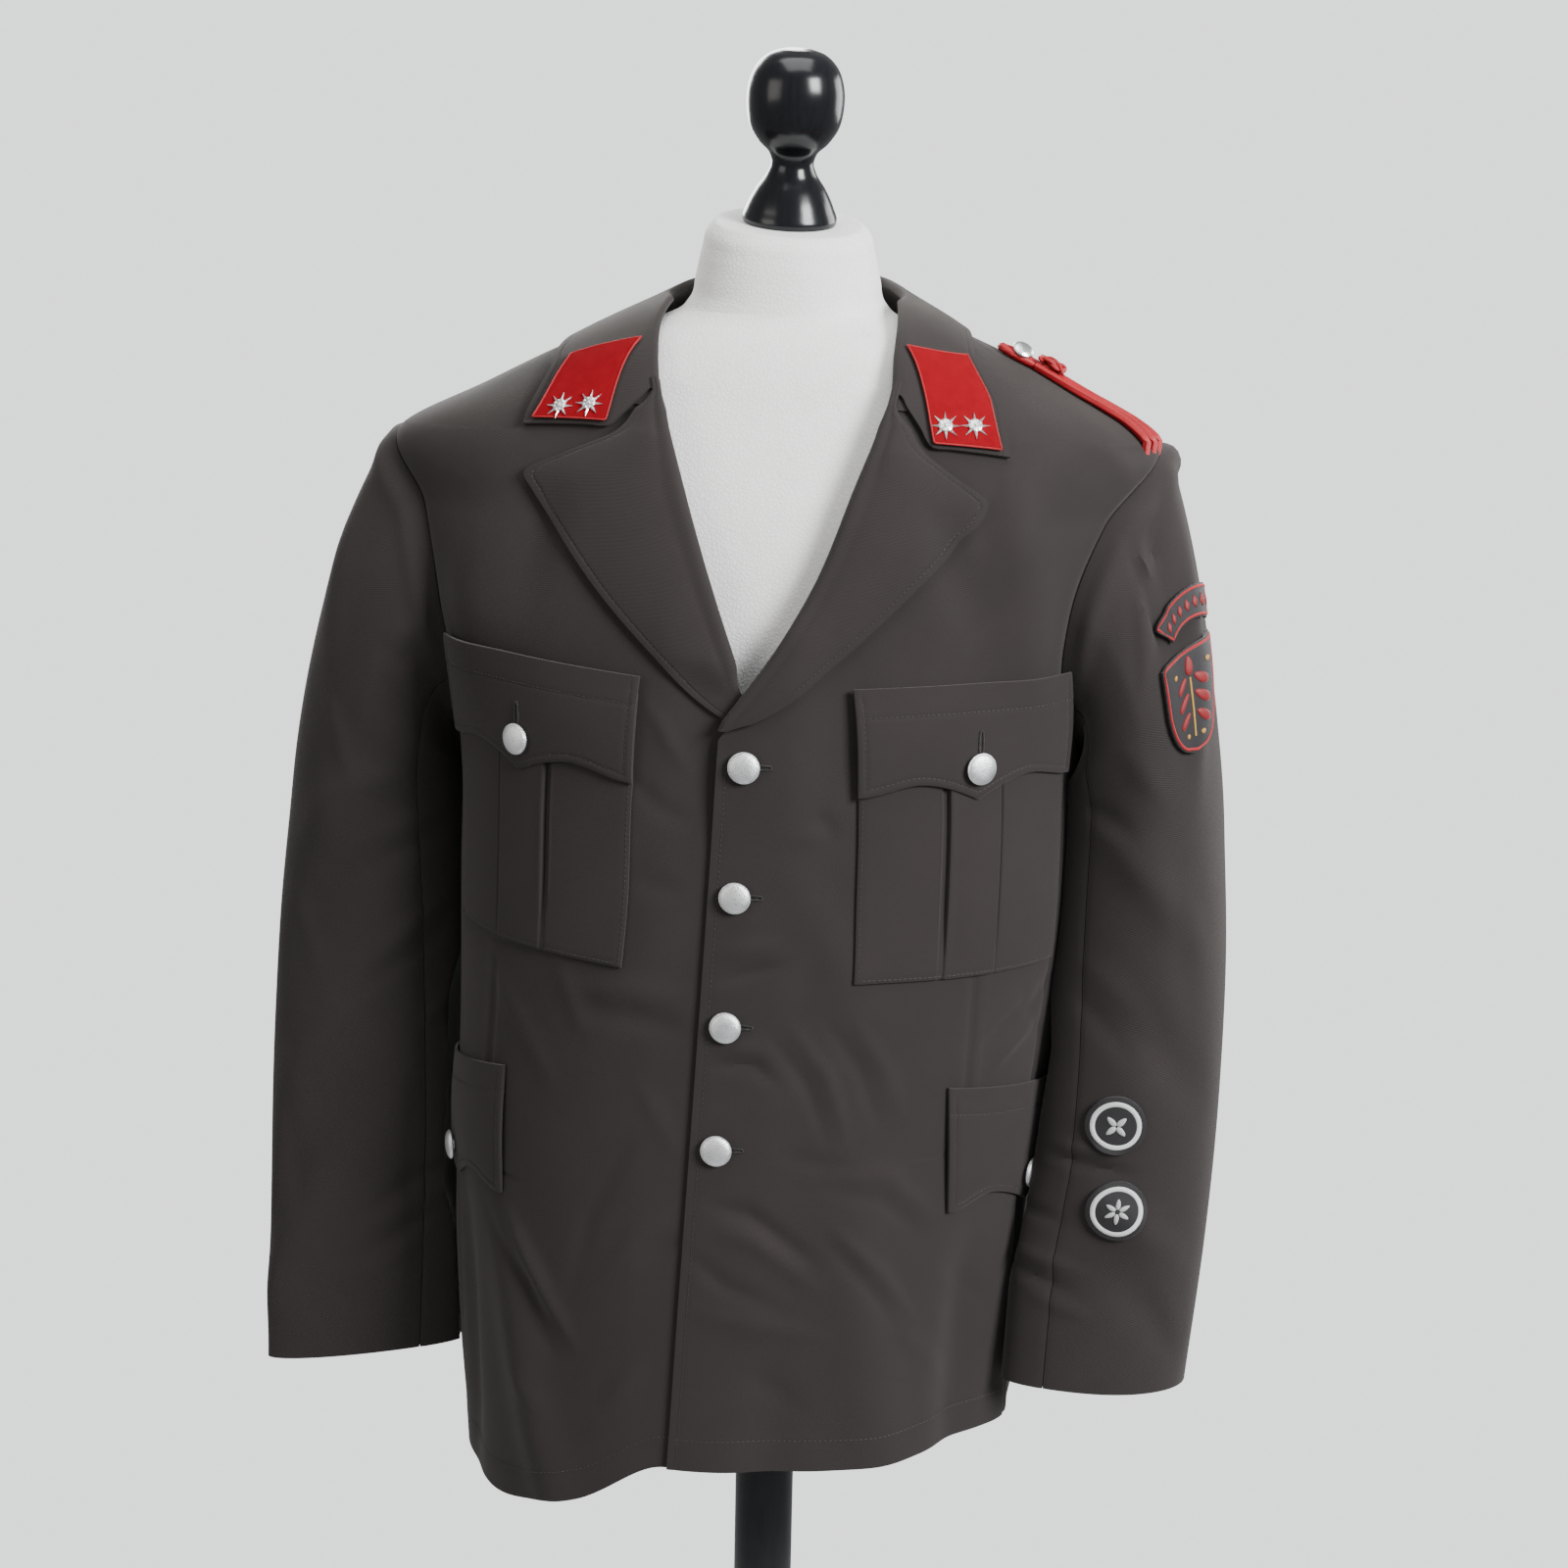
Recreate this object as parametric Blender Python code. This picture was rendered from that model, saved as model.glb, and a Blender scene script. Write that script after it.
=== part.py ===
"""Dress uniform jacket, worn by a limbless dress form on a round stand.

Metres, +Z up. The jacket faces -Y, so the wearer's left is +X. The origin is the middle of the stand's underside.
The jacket's body is one surface, given by level rings, and each panel is a piece of it with its own thickness.
What is sewn on a panel is made from the same surface, moved out.
"""

import math

import bpy
import numpy as np

# Cloth
CLOTH = 0.0016  # one layer of the twill with its interlining
FACED = 0.0022  # two layers sewn together: lapels, collar and flaps
SEAM_GAP = 0.0003
LAY_GAP = 0.0013  # air between a panel and what is sewn on it
FELT = 0.0014

# Heights
HEM_FRONT = 0.655
HEM_DROP_RIGHT = 0.040  # the right front hangs this much lower, and the right side still more
HEM_DROP_SIDE = 0.020
BREAK = 1.166  # where the lapels start to roll
GORGE = 1.382  # where the roll line meets the collar
NECK = 1.432  # the neckline at the sides and back
SHOULDER = 1.354  # the shoulder points, at the top of the armholes

# The jacket's body: level rings, each two half ellipses of a given squareness
BODY_COLUMNS = ("height", "half_width", "front", "back", "middle", "squareness")
BODY_ROWS = (
    (0.590, 0.206, 0.186, 0.166, -0.020, 2.15),
    (0.700, 0.208, 0.183, 0.162, -0.022, 2.15),
    (0.780, 0.2115, 0.180, 0.156, -0.0205, 2.15),
    (0.860, 0.216, 0.176, 0.150, -0.0165, 2.15),
    (0.940, 0.220, 0.172, 0.146, -0.0100, 2.15),
    (1.040, 0.224, 0.168, 0.142, -0.0045, 2.20),
    (1.120, 0.2235, 0.166, 0.142, -0.004, 2.20),
    (1.180, 0.230, 0.164, 0.142, -0.004, 2.20),
    (1.240, 0.248, 0.158, 0.138, -0.005, 2.20),
    (1.300, 0.264, 0.144, 0.130, -0.006, 2.15),
    (1.354, 0.266, 0.124, 0.120, -0.006, 2.10),
    (1.382, 0.210, 0.112, 0.112, -0.004, 2.05),
    (1.408, 0.158, 0.096, 0.104, -0.002, 2.00),
    (1.424, 0.120, 0.080, 0.098, -0.001, 2.00),
    (1.436, 0.088, 0.060, 0.092, 0.000, 2.00),
    (1.446, 0.060, 0.042, 0.086, 0.000, 2.00),
)
BODY_TURN = math.radians(5)  # the chest and skirt are turned a little
ARC_RADIUS = 0.19  # turns a fold's angle into a distance

# The body's largest folds: ridges and troughs, from one end to the other. Angles run from centre front to the left
FOLD_COLUMNS = ("angle", "height", "end_angle", "end_height", "width", "rise")
BODY_FOLDS = (
    (57, 1.345, 62, 1.170, 0.018, 0.0060),
    (44, 1.330, 51, 1.230, 0.016, -0.0040),
    (-55, 1.340, -60, 1.180, 0.020, 0.0050),
    (-45, 1.330, -48, 1.220, 0.018, -0.0045),
    (-49, 0.830, -28, 0.560, 0.020, 0.0075),
    (-66, 0.840, -62, 0.560, 0.019, -0.0080),
    (-82, 0.860, -84, 0.560, 0.022, 0.0060),
    (30, 0.900, 44, 0.560, 0.024, 0.0060),
    (60, 0.840, 58, 0.560, 0.018, -0.0060),
    (76, 0.860, 72, 0.560, 0.020, 0.0080),
    (14, 0.780, 18, 0.560, 0.026, -0.0040),
    (12, 1.090, 34, 0.960, 0.018, 0.0025),
    (-10, 1.080, -30, 0.940, 0.020, 0.0022),
    (128, 1.020, 122, 0.560, 0.026, 0.0090),
    (152, 0.920, 156, 0.560, 0.028, -0.0070),
    (-128, 1.020, -124, 0.560, 0.026, 0.0080),
    (-155, 0.940, -150, 0.560, 0.028, -0.0060),
    (180, 0.960, 180, 0.560, 0.030, 0.0080),
    (108, 1.300, 128, 1.060, 0.020, 0.0070),
    (-108, 1.300, -128, 1.060, 0.020, 0.0070),
)

# Panels
SIDE_SEAM_FRONT = math.radians(74)
SIDE_SEAM_BACK = math.radians(108)
ARMHOLE_MIDDLE = 1.243
ARMHOLE_HALF_HEIGHT = SHOULDER - ARMHOLE_MIDDLE
ARMHOLE_FRONT = 0.085
ARMHOLE_BACK = 0.086
SLEEVE_INSET = 0.0009
SLEEVE_OUT = {"right": 0.62, "left": 0.28}  # how far outwards the sleeve heads start
SLEEVE_CLEAR = 0.0035  # how far a sleeve stays from the body, and how much more beside the lower pockets
FLAP_CLEAR = 0.0085

# Front edge, button line and roll line
BUTTON_LINE_TOP = (1.146, 0.004)  # height and x of the highest button
BUTTON_LINE_LEAN = 0.050
EDGE_BEYOND_BUTTONS = 0.018
ROLL_COLUMNS = ("height", "half", "middle")
ROLL_ROWS = (
    (1.150, -0.024, 0.000),
    (1.168, -0.013, 0.001),
    (1.190, 0.001, 0.003),
    (1.225, 0.020, 0.008),
    (1.260, 0.036, 0.011),
    (1.320, 0.058, 0.011),
    (1.382, 0.078, 0.009),
    (1.410, 0.082, 0.005),
    (1.432, 0.089, 0.002),
)
LAPEL_EDGE_COLUMNS = ("height", "half", "middle")
LAPEL_EDGE_ROWS = (
    (1.168, -0.008, 0.000),
    (1.180, 0.014, 0.000),
    (1.215, 0.055, 0.000),
    (1.250, 0.091, -0.001),
    (1.285, 0.122, -0.001),
    (1.310, 0.143, -0.001),
    (1.322, 0.148, -0.001),
    (1.336, 0.124, 0.003),
    (1.350, 0.098, 0.008),
    (1.366, 0.085, 0.009),
    (1.380, 0.077, 0.009),
)
LAPEL_START = 1.169
COLLAR_LEAN = 0.040  # lapels and collar sit this much lower, for each metre to the left
LAPEL_BULGE = 0.0035

# Sleeves: rings from the upper arm to the cuff, with x counted outwards
SLEEVE_COLUMNS = ("share", "x", "y", "z", "half_width", "half_depth", "turn", "rise_out", "rise_front")
SLEEVE_TOP = 0.38  # share of the length that the sleeve head takes
SLEEVE_ROWS = {
    "right": (
        (0.38, 0.295, -0.002, 1.085, 0.067, 0.072, 0, 0.06, 0.05),
        (0.50, 0.300, -0.008, 1.000, 0.072, 0.058, -3, 0.03, 0.06),
        (0.64, 0.303, -0.016, 0.900, 0.075, 0.045, -5, -0.03, 0.08),
        (0.82, 0.304, -0.028, 0.775, 0.076, 0.033, -6, -0.10, 0.12),
        (1.00, 0.305, -0.040, 0.652, 0.076, 0.026, -7, -0.15, 0.16),
    ),
    "left": (
        (0.38, 0.268, -0.002, 1.085, 0.050, 0.084, 0, 0.06, 0.05),
        (0.50, 0.266, -0.010, 1.000, 0.058, 0.072, 3, 0.04, 0.06),
        (0.64, 0.264, -0.024, 0.905, 0.061, 0.062, 5, 0.02, 0.08),
        (0.82, 0.259, -0.040, 0.800, 0.062, 0.052, 7, 0.00, 0.10),
        (1.00, 0.252, -0.056, 0.692, 0.060, 0.046, 9, 0.00, 0.12),
    ),
}
# A sleeve's folds: phi runs from the front (0) over the outside (90) to the back, and share from armhole to cuff
SLEEVE_LENGTH = 0.70
SLEEVE_RADIUS = 0.07
SLEEVE_FOLDS = {
    "right": (
        (330, 0.30, 400, 0.44, 0.016, 0.0055),
        (335, 0.40, 420, 0.58, 0.017, -0.0050),
        (325, 0.50, 420, 0.72, 0.018, 0.0055),
        (345, 0.66, 430, 0.86, 0.018, -0.0045),
        (370, 0.78, 450, 0.97, 0.020, 0.0040),
        (60, 0.10, 30, 0.26, 0.016, 0.0040),
        (150, 0.35, 210, 0.55, 0.018, 0.0045),
        (150, 0.58, 215, 0.78, 0.020, -0.0045),
    ),
    "left": (
        (60, 0.06, 38, 0.34, 0.012, 0.0065),
        (85, 0.08, 66, 0.22, 0.014, -0.0060),
        (330, 0.34, 400, 0.50, 0.016, 0.0045),
        (340, 0.52, 410, 0.66, 0.018, -0.0045),
        (330, 0.74, 405, 0.86, 0.017, 0.0050),
        (345, 0.84, 420, 0.97, 0.016, -0.0035),
        (150, 0.35, 210, 0.55, 0.018, 0.0045),
        (150, 0.58, 215, 0.78, 0.020, -0.0045),
    ),
}
UPPER_SLEEVE_FROM = math.radians(-35)  # the two sleeve seams, front and back
UPPER_SLEEVE_TO = math.radians(215)
UPPER_SLEEVE_COLS = 16

# Pockets, in distances round the body from centre front and in heights
POCKET_INNER = 0.079  # from the middle, as are the lower flaps
# Each pocket's way to the left, its lean, and how much lower it sits for each metre to the left
POCKET_SHIFT = {1: (0.005, 0.0, 0.025), -1: (0.0135, 0.01, 0.025)}
LOWER_FLAP_SHIFT = {1: (-0.022, -0.07, -0.013), -1: (-0.0257, -0.117, -0.013)}
POCKET_WIDTH = 0.161
POCKET_TOP = 1.200
POCKET_BOTTOM = 1.004
POCKET_SLANT = 0.065  # rise outwards for each metre of width
FLAP_CORNER = 0.071  # height at the corners, at the arcs between and at the middle point
FLAP_ARC = 0.0645
FLAP_POINT = 0.078
LOWER_FLAP_INNER = 0.158
LOWER_FLAP_WIDTH = 0.165
LOWER_FLAP_TOP = 0.922
LOWER_FLAP_CORNER = 0.092
LOWER_FLAP_ARC = 0.080
LOWER_FLAP_POINT = 0.092
LOWER_FLAP_SLANT = -0.17
PLEAT_HALF = 0.12  # the box pleat's half width, as a share of the pocket
PLEAT_DEPTH = 0.0010

# Buttons
BUTTON_RADIUS = 0.0106
BUTTON_HEIGHT = 0.0062
BUTTON_OVER_POINT = 0.022
FRONT_BUTTONS = (1.146, 1.059, 0.971, 0.886)

# Collar
COLLAR_NOTCH = (0.106, 1.354)  # x and height

# Patches and stars on the collar, by turn round the neck and share of the fall's width
PATCH_CORNERS = {
    "left": ((0.862, 0.04), (0.755, 0.80), (0.984, 0.93), (0.978, 0.43)),
    "right": ((-0.855, 0.07), (-0.80, 0.775), (-0.985, 0.93), (-0.975, 0.43)),
}
STAR_PLACES = {
    "left": {"inner": (0.940, 0.475), "outer": (0.932, 0.715)},
    "right": {"inner": (-0.940, 0.517), "outer": (-0.948, 0.740)},
}
PATCH_GAP = 0.0009
STAR_RADIUS = 0.0102
STAR_WAIST = 0.0052
STAR_THICKNESS = 0.0014
STAR_GAP = 0.0007

# Dress form
FORM_COLUMNS = ("height", "half_width", "front", "back")
FORM_ROWS = (
    (0.800, 0.150, 0.112, 0.108),
    (0.812, 0.160, 0.120, 0.115),
    (0.900, 0.162, 0.122, 0.114),
    (1.000, 0.150, 0.114, 0.104),
    (1.100, 0.164, 0.126, 0.108),
    (1.180, 0.186, 0.140, 0.118),
    (1.240, 0.203, 0.138, 0.120),
    (1.300, 0.212, 0.126, 0.116),
    (1.346, 0.211, 0.108, 0.108),
    (1.372, 0.204, 0.097, 0.103),
    (1.389, 0.186, 0.090, 0.098),
    (1.4047, 0.1575, 0.082, 0.092),
    (1.4137, 0.1375, 0.076, 0.087),
    (1.4205, 0.1205, 0.070, 0.082),
    (1.4275, 0.0960, 0.064, 0.075),
    (1.4340, 0.0770, 0.061, 0.069),
    (1.4420, 0.0680, 0.060, 0.064),
    (1.4580, 0.0635, 0.059, 0.061),
    (1.4780, 0.0590, 0.057, 0.058),
    (1.4900, 0.0550, 0.054, 0.055),
    (1.4935, 0.0515, 0.051, 0.051),
)
FORM_BOTTOM = 0.800
FORM_CLEAR = 0.0031  # from the jacket's outer face, where it rests on the form
BORE_RADIUS = 0.0229
BORE_TOP = 0.900
NECK_TILT = math.radians(13)  # the neck's top leans forward
NECK_LEAN = math.radians(4)

# Finial: radius and height above the neck's top
FINIAL_PROFILE = (
    (0.0315, 0.000),
    (0.0325, 0.003),
    (0.0300, 0.011),
    (0.0235, 0.024),
    (0.0168, 0.034),
    (0.0145, 0.041),
    (0.0162, 0.047),
    (0.0235, 0.0545),
    (0.0300, 0.0645),
    (0.0329, 0.079),
    (0.0320, 0.092),
    (0.0275, 0.1035),
    (0.0190, 0.1115),
    (0.0105, 0.1145),
)

# Stand
POLE_RADIUS = 0.0222
BASE_RADIUS = 0.200
BASE_HEIGHT = 0.026
BASE_EDGE = 0.006

# Shoulder cord: three strands from a knot near the collar to the left sleeve's head, and a loop round a button
STRAND_RADIUS = 0.0027
STRAND_SPACING = 0.0048
CORD_ROWS = ((0.172, -0.009), (0.190, -0.010), (0.215, -0.013), (0.236, -0.019), (0.2535, -0.030))  # x and y
KNOT_SIZE = (0.0105, 0.0092, 0.0056)
LOOP_SIZE = (0.0125, 0.0064)  # half length and half width of its middle line
SHOULDER_BUTTON = (0.1605, -0.008)
SHOULDER_BUTTON_PROFILE = ((0.0024, 0.0), (0.0024, 0.0066), (0.0070, 0.0068), (0.0076, 0.0082), (0.0052, 0.0102))

# Badges on the left sleeve: phi in degrees, share and turn in degrees, then sizes
ARC_BADGE = {"spot": (46, 0.140, -4), "radius": 0.048, "depth": 0.019, "reach": 0.62}
SHIELD_BADGE = {"spot": (38, 0.238, -6), "width": 0.050, "height": 0.067}
ROUND_BADGES = {"upper": (-11.7, 0.670, 0), "lower": (-6.6, 0.774, 0)}
ROUND_BADGE_RADIUS = 0.0206
BADGE_THICKNESS = 0.0016
BADGE_GAP = 0.0011
HEAD_BADGE_GAP = 0.0024  # where the sleeve head's facets twist

COLOURS = {
    # name: base colour, roughness, metallic
    "cloth": ((0.045, 0.038, 0.033), 0.9, 0.0),
    "felt": ((0.55, 0.012, 0.014), 0.95, 0.0),
    "silver": ((0.72, 0.73, 0.75), 0.4, 1.0),
    "cord": ((0.60, 0.012, 0.016), 0.6, 0.0),
    "badge": ((0.012, 0.011, 0.013), 0.9, 0.0),
    "foam": ((0.80, 0.79, 0.76), 0.8, 0.0),
    "black_wood": ((0.010, 0.011, 0.014), 0.35, 0.0),
}


def column(columns, rows, name):
    """A smooth function through one column of a table, by the table's first column."""
    at = np.array([row[0] for row in rows], float)
    values = np.array([row[columns.index(name)] for row in rows], float)
    slopes = np.gradient(values, at)

    def smooth(t):
        t = np.clip(t, at[0], at[-1])
        i = np.clip(np.searchsorted(at, t) - 1, 0, len(at) - 2)
        gap = at[i + 1] - at[i]
        u = (t - at[i]) / gap
        rise = values[i + 1] - values[i]
        bend_in = slopes[i] * gap - rise
        bend_out = rise - slopes[i + 1] * gap
        return values[i] + rise * u + u * (1 - u) * (bend_in * (1 - u) + bend_out * u)

    return smooth


def columns_of(columns, rows):
    return {name: column(columns, rows, name) for name in columns[1:]}


BODY = columns_of(BODY_COLUMNS, BODY_ROWS)
FORM = columns_of(FORM_COLUMNS, FORM_ROWS)
ROLL = columns_of(ROLL_COLUMNS, ROLL_ROWS)
LAPEL_EDGE = columns_of(LAPEL_EDGE_COLUMNS, LAPEL_EDGE_ROWS)
SLEEVES = {side: columns_of(SLEEVE_COLUMNS, rows) for side, rows in SLEEVE_ROWS.items()}


def unit(vectors):
    return vectors / np.linalg.norm(vectors, axis=-1, keepdims=True)


def stack(x, y, z):
    return np.stack(np.broadcast_arrays(x, y, z), axis=-1)


def ease(t):
    """0 below 0, 1 above 1, smooth between."""
    t = np.clip(t, 0.0, 1.0)
    return t * t * (3 - 2 * t)


def relief(across, up, folds, radius, length):
    """The rise of a surface at (across, up) from its folds, whose angles are in degrees."""
    total = np.zeros(np.broadcast(across, up).shape)
    for angle, height, end_angle, end_height, width, rise in folds:
        run = np.array([math.radians(end_angle - angle) * radius, (end_height - height) * length])
        away = (across - math.radians(angle)) * radius
        above = (up - height) * length
        along = (away * run[0] + above * run[1]) / (run @ run)
        aside = (away * run[1] - above * run[0]) / math.hypot(*run)
        fade = np.exp(-2.2 * np.abs(2 * along - 1) ** 3)
        total += rise * fade * np.exp(-((aside / width) ** 2))
    return total


def turned(angle):
    """The same direction, from minus half a turn to half a turn."""
    return (angle + math.pi) % (2 * math.pi) - math.pi


# The body's surface


def body_fold(angle, z):
    near = turned(angle)
    folds = relief(near, z, BODY_FOLDS, ARC_RADIUS, 1.0)
    wrapped = np.where(near < 0, near + 2 * math.pi, near - 2 * math.pi)
    return folds + relief(wrapped, z, BODY_FOLDS, ARC_RADIUS, 1.0)


def body_point(angle, z):
    """The point of the body's outer surface at that angle from centre front, at that height."""
    faced = angle - BODY_TURN * (1 - ease((z - 1.20) / 0.12))
    depth = np.where(np.cos(faced) > 0, BODY["front"](z), BODY["back"](z))
    power = BODY["squareness"](z)
    across = np.abs(np.sin(faced)) / BODY["half_width"](z)
    along = np.abs(np.cos(faced)) / depth
    radius = (across**power + along**power) ** (-1 / power) + body_fold(angle, z)
    return stack(BODY["middle"](z) + radius * np.sin(angle), -radius * np.cos(angle), z)


def body_normal(angle, z):
    step_angle, step_z = 0.006, 0.0012
    along = body_point(angle + step_angle, z) - body_point(angle - step_angle, z)
    up = body_point(angle, z + step_z) - body_point(angle, z - step_z)
    return unit(np.cross(along, up))


def on_body(angle, z, lift):
    lift = np.asarray(lift)[..., None]
    return body_point(angle, z) + body_normal(angle, z) * lift


def pushed_off(points, lift, way=1):
    """The points, moved out where they lie less than lift above the body, or with way -1 moved in where more."""
    points = points.copy()
    for _ in range(5):
        z = np.minimum(points[..., 2], 1.440)
        angle = np.arctan2(points[..., 0] - BODY["middle"](z), -points[..., 1])
        normal = body_normal(angle, z)
        height = np.sum((points - body_point(angle, z)) * normal, axis=-1)
        points += normal * way * np.maximum(way * (lift - height), 0)[..., None]
    return points


def over_body(x, y, lift):
    """The point over the shoulders at that x and y, and the normal there."""
    low, high = 1.26, 1.4455
    for _ in range(40):
        z = (low + high) / 2
        middle = float(BODY["middle"](z))
        angle = math.atan2(x - middle, -y)
        point = body_point(angle, z)
        inside = math.hypot(x - middle, y) < math.hypot(point[0] - middle, point[1])
        low, high = (z, high) if inside else (low, z)
    normal = body_normal(angle, z)
    return point + normal * lift, normal


def front_angle(x, z):
    """The angle of the front's point at that x."""
    half, power = BODY["half_width"](z), BODY["squareness"](z)
    share = np.minimum(np.abs(x - BODY["middle"](z)) / half, 0.9999)
    y = BODY["front"](z) * (1 - share**power) ** (1 / power)
    angle = np.arctan2(x - BODY["middle"](z), y)
    for _ in range(4):
        point = body_point(angle, z)
        step = (x - point[..., 0]) / np.maximum(-point[..., 1], 0.03)
        angle = angle + np.clip(step, -0.04, 0.04)
    return angle


def arc_table(z):
    """Distances round the ring at that height from centre front, and their angles."""
    angles = np.linspace(0, math.pi, 400)
    points = body_point(angles, np.full_like(angles, z))
    steps = np.linalg.norm(np.diff(points, axis=0), axis=1)
    return np.concatenate([[0], np.cumsum(steps)]), angles


ARC_HEIGHT = 1.04
ARC_DISTANCES, ARC_ANGLES = arc_table(ARC_HEIGHT)


def round_angle(distance, z):
    """The angle at a distance round the body from centre front, either way."""
    size = BODY["half_width"](ARC_HEIGHT) / BODY["half_width"](z)
    return np.sign(distance) * np.interp(np.abs(distance) * size, ARC_DISTANCES, ARC_ANGLES)


def button_line(z):
    height, x = BUTTON_LINE_TOP
    return x - BUTTON_LINE_LEAN * (height - np.minimum(z, height + 0.02))


def hem(angle):
    """The hem's height: level at the left, and lower round the right side."""
    lower = ease((-np.sin(angle) - 0.10) / 0.42)
    side = ease((-np.sin(angle) - 0.45) / 0.35)
    return HEM_FRONT - HEM_DROP_RIGHT * lower - HEM_DROP_SIDE * side


# Armholes


def armhole(phi, side, inset=0.0):
    """Angle and height on the body of the armhole's edge. phi runs from the front (0) over the top (90 degrees)."""
    reach = np.where(np.cos(phi) > 0, ARMHOLE_FRONT, ARMHOLE_BACK) - inset
    y = -reach * np.cos(phi)
    z = ARMHOLE_MIDDLE + (ARMHOLE_HALF_HEIGHT - inset) * np.sin(phi)
    depth = np.where(y < 0, BODY["front"](z), BODY["back"](z))
    power = BODY["squareness"](z)
    x = BODY["half_width"](z) * (1 - (np.abs(y) / depth) ** power) ** (1 / power)
    return side * np.arctan2(x, -y), z


def armhole_front_angle(z):
    """The front panel's edge beside the armhole and along the shoulder seam, for the left side."""
    phi = np.radians(np.linspace(-89, 90, 180))
    angles, heights = armhole(phi, 1)
    return np.interp(z, heights, angles)


def armhole_back_angle(z):
    phi = np.radians(np.linspace(269, 90, 180))
    angles, heights = armhole(phi, 1)
    return np.interp(z, heights, angles)


def armhole_floor(angle):
    """The height of the armhole's lower edge at an angle of the side panel."""
    phi = np.radians(np.linspace(-5, -175, 180))
    angles, heights = armhole(phi, 1)
    return np.interp(angle, angles, heights)


# Meshes


def material(name):
    found = bpy.data.materials.get(name)
    if found:
        return found
    colour, roughness, metallic = COLOURS[name]
    made = bpy.data.materials.new(name)
    made.use_nodes = True
    shader = made.node_tree.nodes["Principled BSDF"]
    shader.inputs["Base Color"].default_value = (*colour, 1.0)
    shader.inputs["Roughness"].default_value = roughness
    shader.inputs["Metallic"].default_value = metallic
    return made


def add_object(name, points, faces, finish):
    """A closed mesh, turned so that its faces point outwards."""
    points = np.asarray(points, float)
    local = points - points.mean(axis=0)
    volume = 0.0
    for face in faces:
        for b, c in zip(face[1:-1], face[2:]):
            volume += local[face[0]] @ np.cross(local[b], local[c])
    if volume < 0:
        faces = [tuple(reversed(face)) for face in faces]
    mesh = bpy.data.meshes.new(name)
    mesh.from_pydata(points.tolist(), [], faces)
    mesh.materials.append(material(finish))
    mesh.shade_smooth()
    mesh.set_sharp_from_angle(angle=math.radians(50))
    made = bpy.data.objects.new(name, mesh)
    bpy.context.scene.collection.objects.link(made)
    return made


def sheet(name, outer, inner, finish):
    """A wall between two grids of points, closed round its four edges."""
    rows, cols = outer.shape[:2]
    points = np.concatenate([outer.reshape(-1, 3), inner.reshape(-1, 3)])
    under = rows * cols
    faces = []
    for r in range(rows - 1):
        for c in range(cols - 1):
            a = r * cols + c
            quad = (a, a + 1, a + cols + 1, a + cols)
            faces.append(quad)
            faces.append(tuple(under + i for i in reversed(quad)))
    ring = [c for c in range(cols)]
    ring += [r * cols + cols - 1 for r in range(1, rows)]
    ring += [(rows - 1) * cols + c for c in range(cols - 2, -1, -1)]
    ring += [r * cols for r in range(rows - 2, 0, -1)]
    for a, b in zip(ring, ring[1:] + ring[:1]):
        faces.append((b, a, under + a, under + b))
    return add_object(name, points, faces, finish)


def body_sheet(name, angle, z, lift, thickness, finish="cloth"):
    """A wall that follows the body, its outer face at that lift."""
    outer = on_body(angle, z, lift)
    inner = on_body(angle, z, np.asarray(lift) - thickness)
    return sheet(name, outer, inner, finish)


def turned_solid(name, profile, segments, place, finish):
    """A lathe-turned solid from (radius, height) points, closed at both ends. place moves its points."""
    points, faces = [], []
    for radius, height in profile:
        for k in range(segments):
            angle = 2 * math.pi * k / segments
            points.append((radius * math.cos(angle), radius * math.sin(angle), height))
    for r in range(len(profile) - 1):
        for k in range(segments):
            a, b = r * segments + k, r * segments + (k + 1) % segments
            faces.append((a, b, b + segments, a + segments))
    faces.append(tuple(reversed(range(segments))))
    last = (len(profile) - 1) * segments
    faces.append(tuple(range(last, last + segments)))
    return add_object(name, place(np.array(points)), faces, finish)


def frame_at(point, normal, up):
    """A function that places local points with +Z along the normal and +Y near up."""
    normal = unit(np.asarray(normal, float))
    side = unit(np.cross(up, normal))
    above = np.cross(normal, side)

    def place(points):
        return point + points @ np.array([side, above, normal])

    return place


# Panels of the body


def layer(x, z, side):
    """How far the fronts part where they overlap: the left front lies over the right one and its lapel."""
    near = 1 - ease((np.abs(x - button_line(z)) - 0.026) / 0.032)
    high = ease((z - 1.085) / 0.060) * (1 - ease((z - 1.225) / 0.060))
    over = 0.0015 + 0.0022 * high if side > 0 else -0.0014 - 0.0013 * high
    return near * over * (1 - ease((z - 1.225) / 0.060))


def roll_x(z, side):
    return ROLL["middle"](z) + side * ROLL["half"](z)


def front_edge(z, side):
    """x of a front's free edge: straight below the break, and along the roll line above it."""
    closed = side * button_line(z) - EDGE_BEYOND_BUTTONS
    rolled = side * roll_x(z, side) + 0.0022
    return side * np.where(z < BREAK - 0.010, closed, np.maximum(closed, rolled))


def side_edge(z, front):
    """The left side seam's angle below, and the armhole's edge above it."""
    if front:
        edge = armhole_front_angle(z)
        return np.where(z < ARMHOLE_MIDDLE, np.minimum(edge, SIDE_SEAM_FRONT), edge)
    edge = armhole_back_angle(z)
    return np.where(z < ARMHOLE_MIDDLE, np.maximum(edge, SIDE_SEAM_BACK), edge)


def seam_top(front):
    """The height at which a side seam meets the armhole."""
    heights = np.linspace(ARMHOLE_MIDDLE - ARMHOLE_HALF_HEIGHT + 0.001, ARMHOLE_MIDDLE, 300)
    edge = armhole_front_angle(heights) if front else armhole_back_angle(heights)
    apart = edge - SIDE_SEAM_FRONT if front else SIDE_SEAM_BACK - edge
    return float(heights[np.argmax(apart < 0)])


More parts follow.
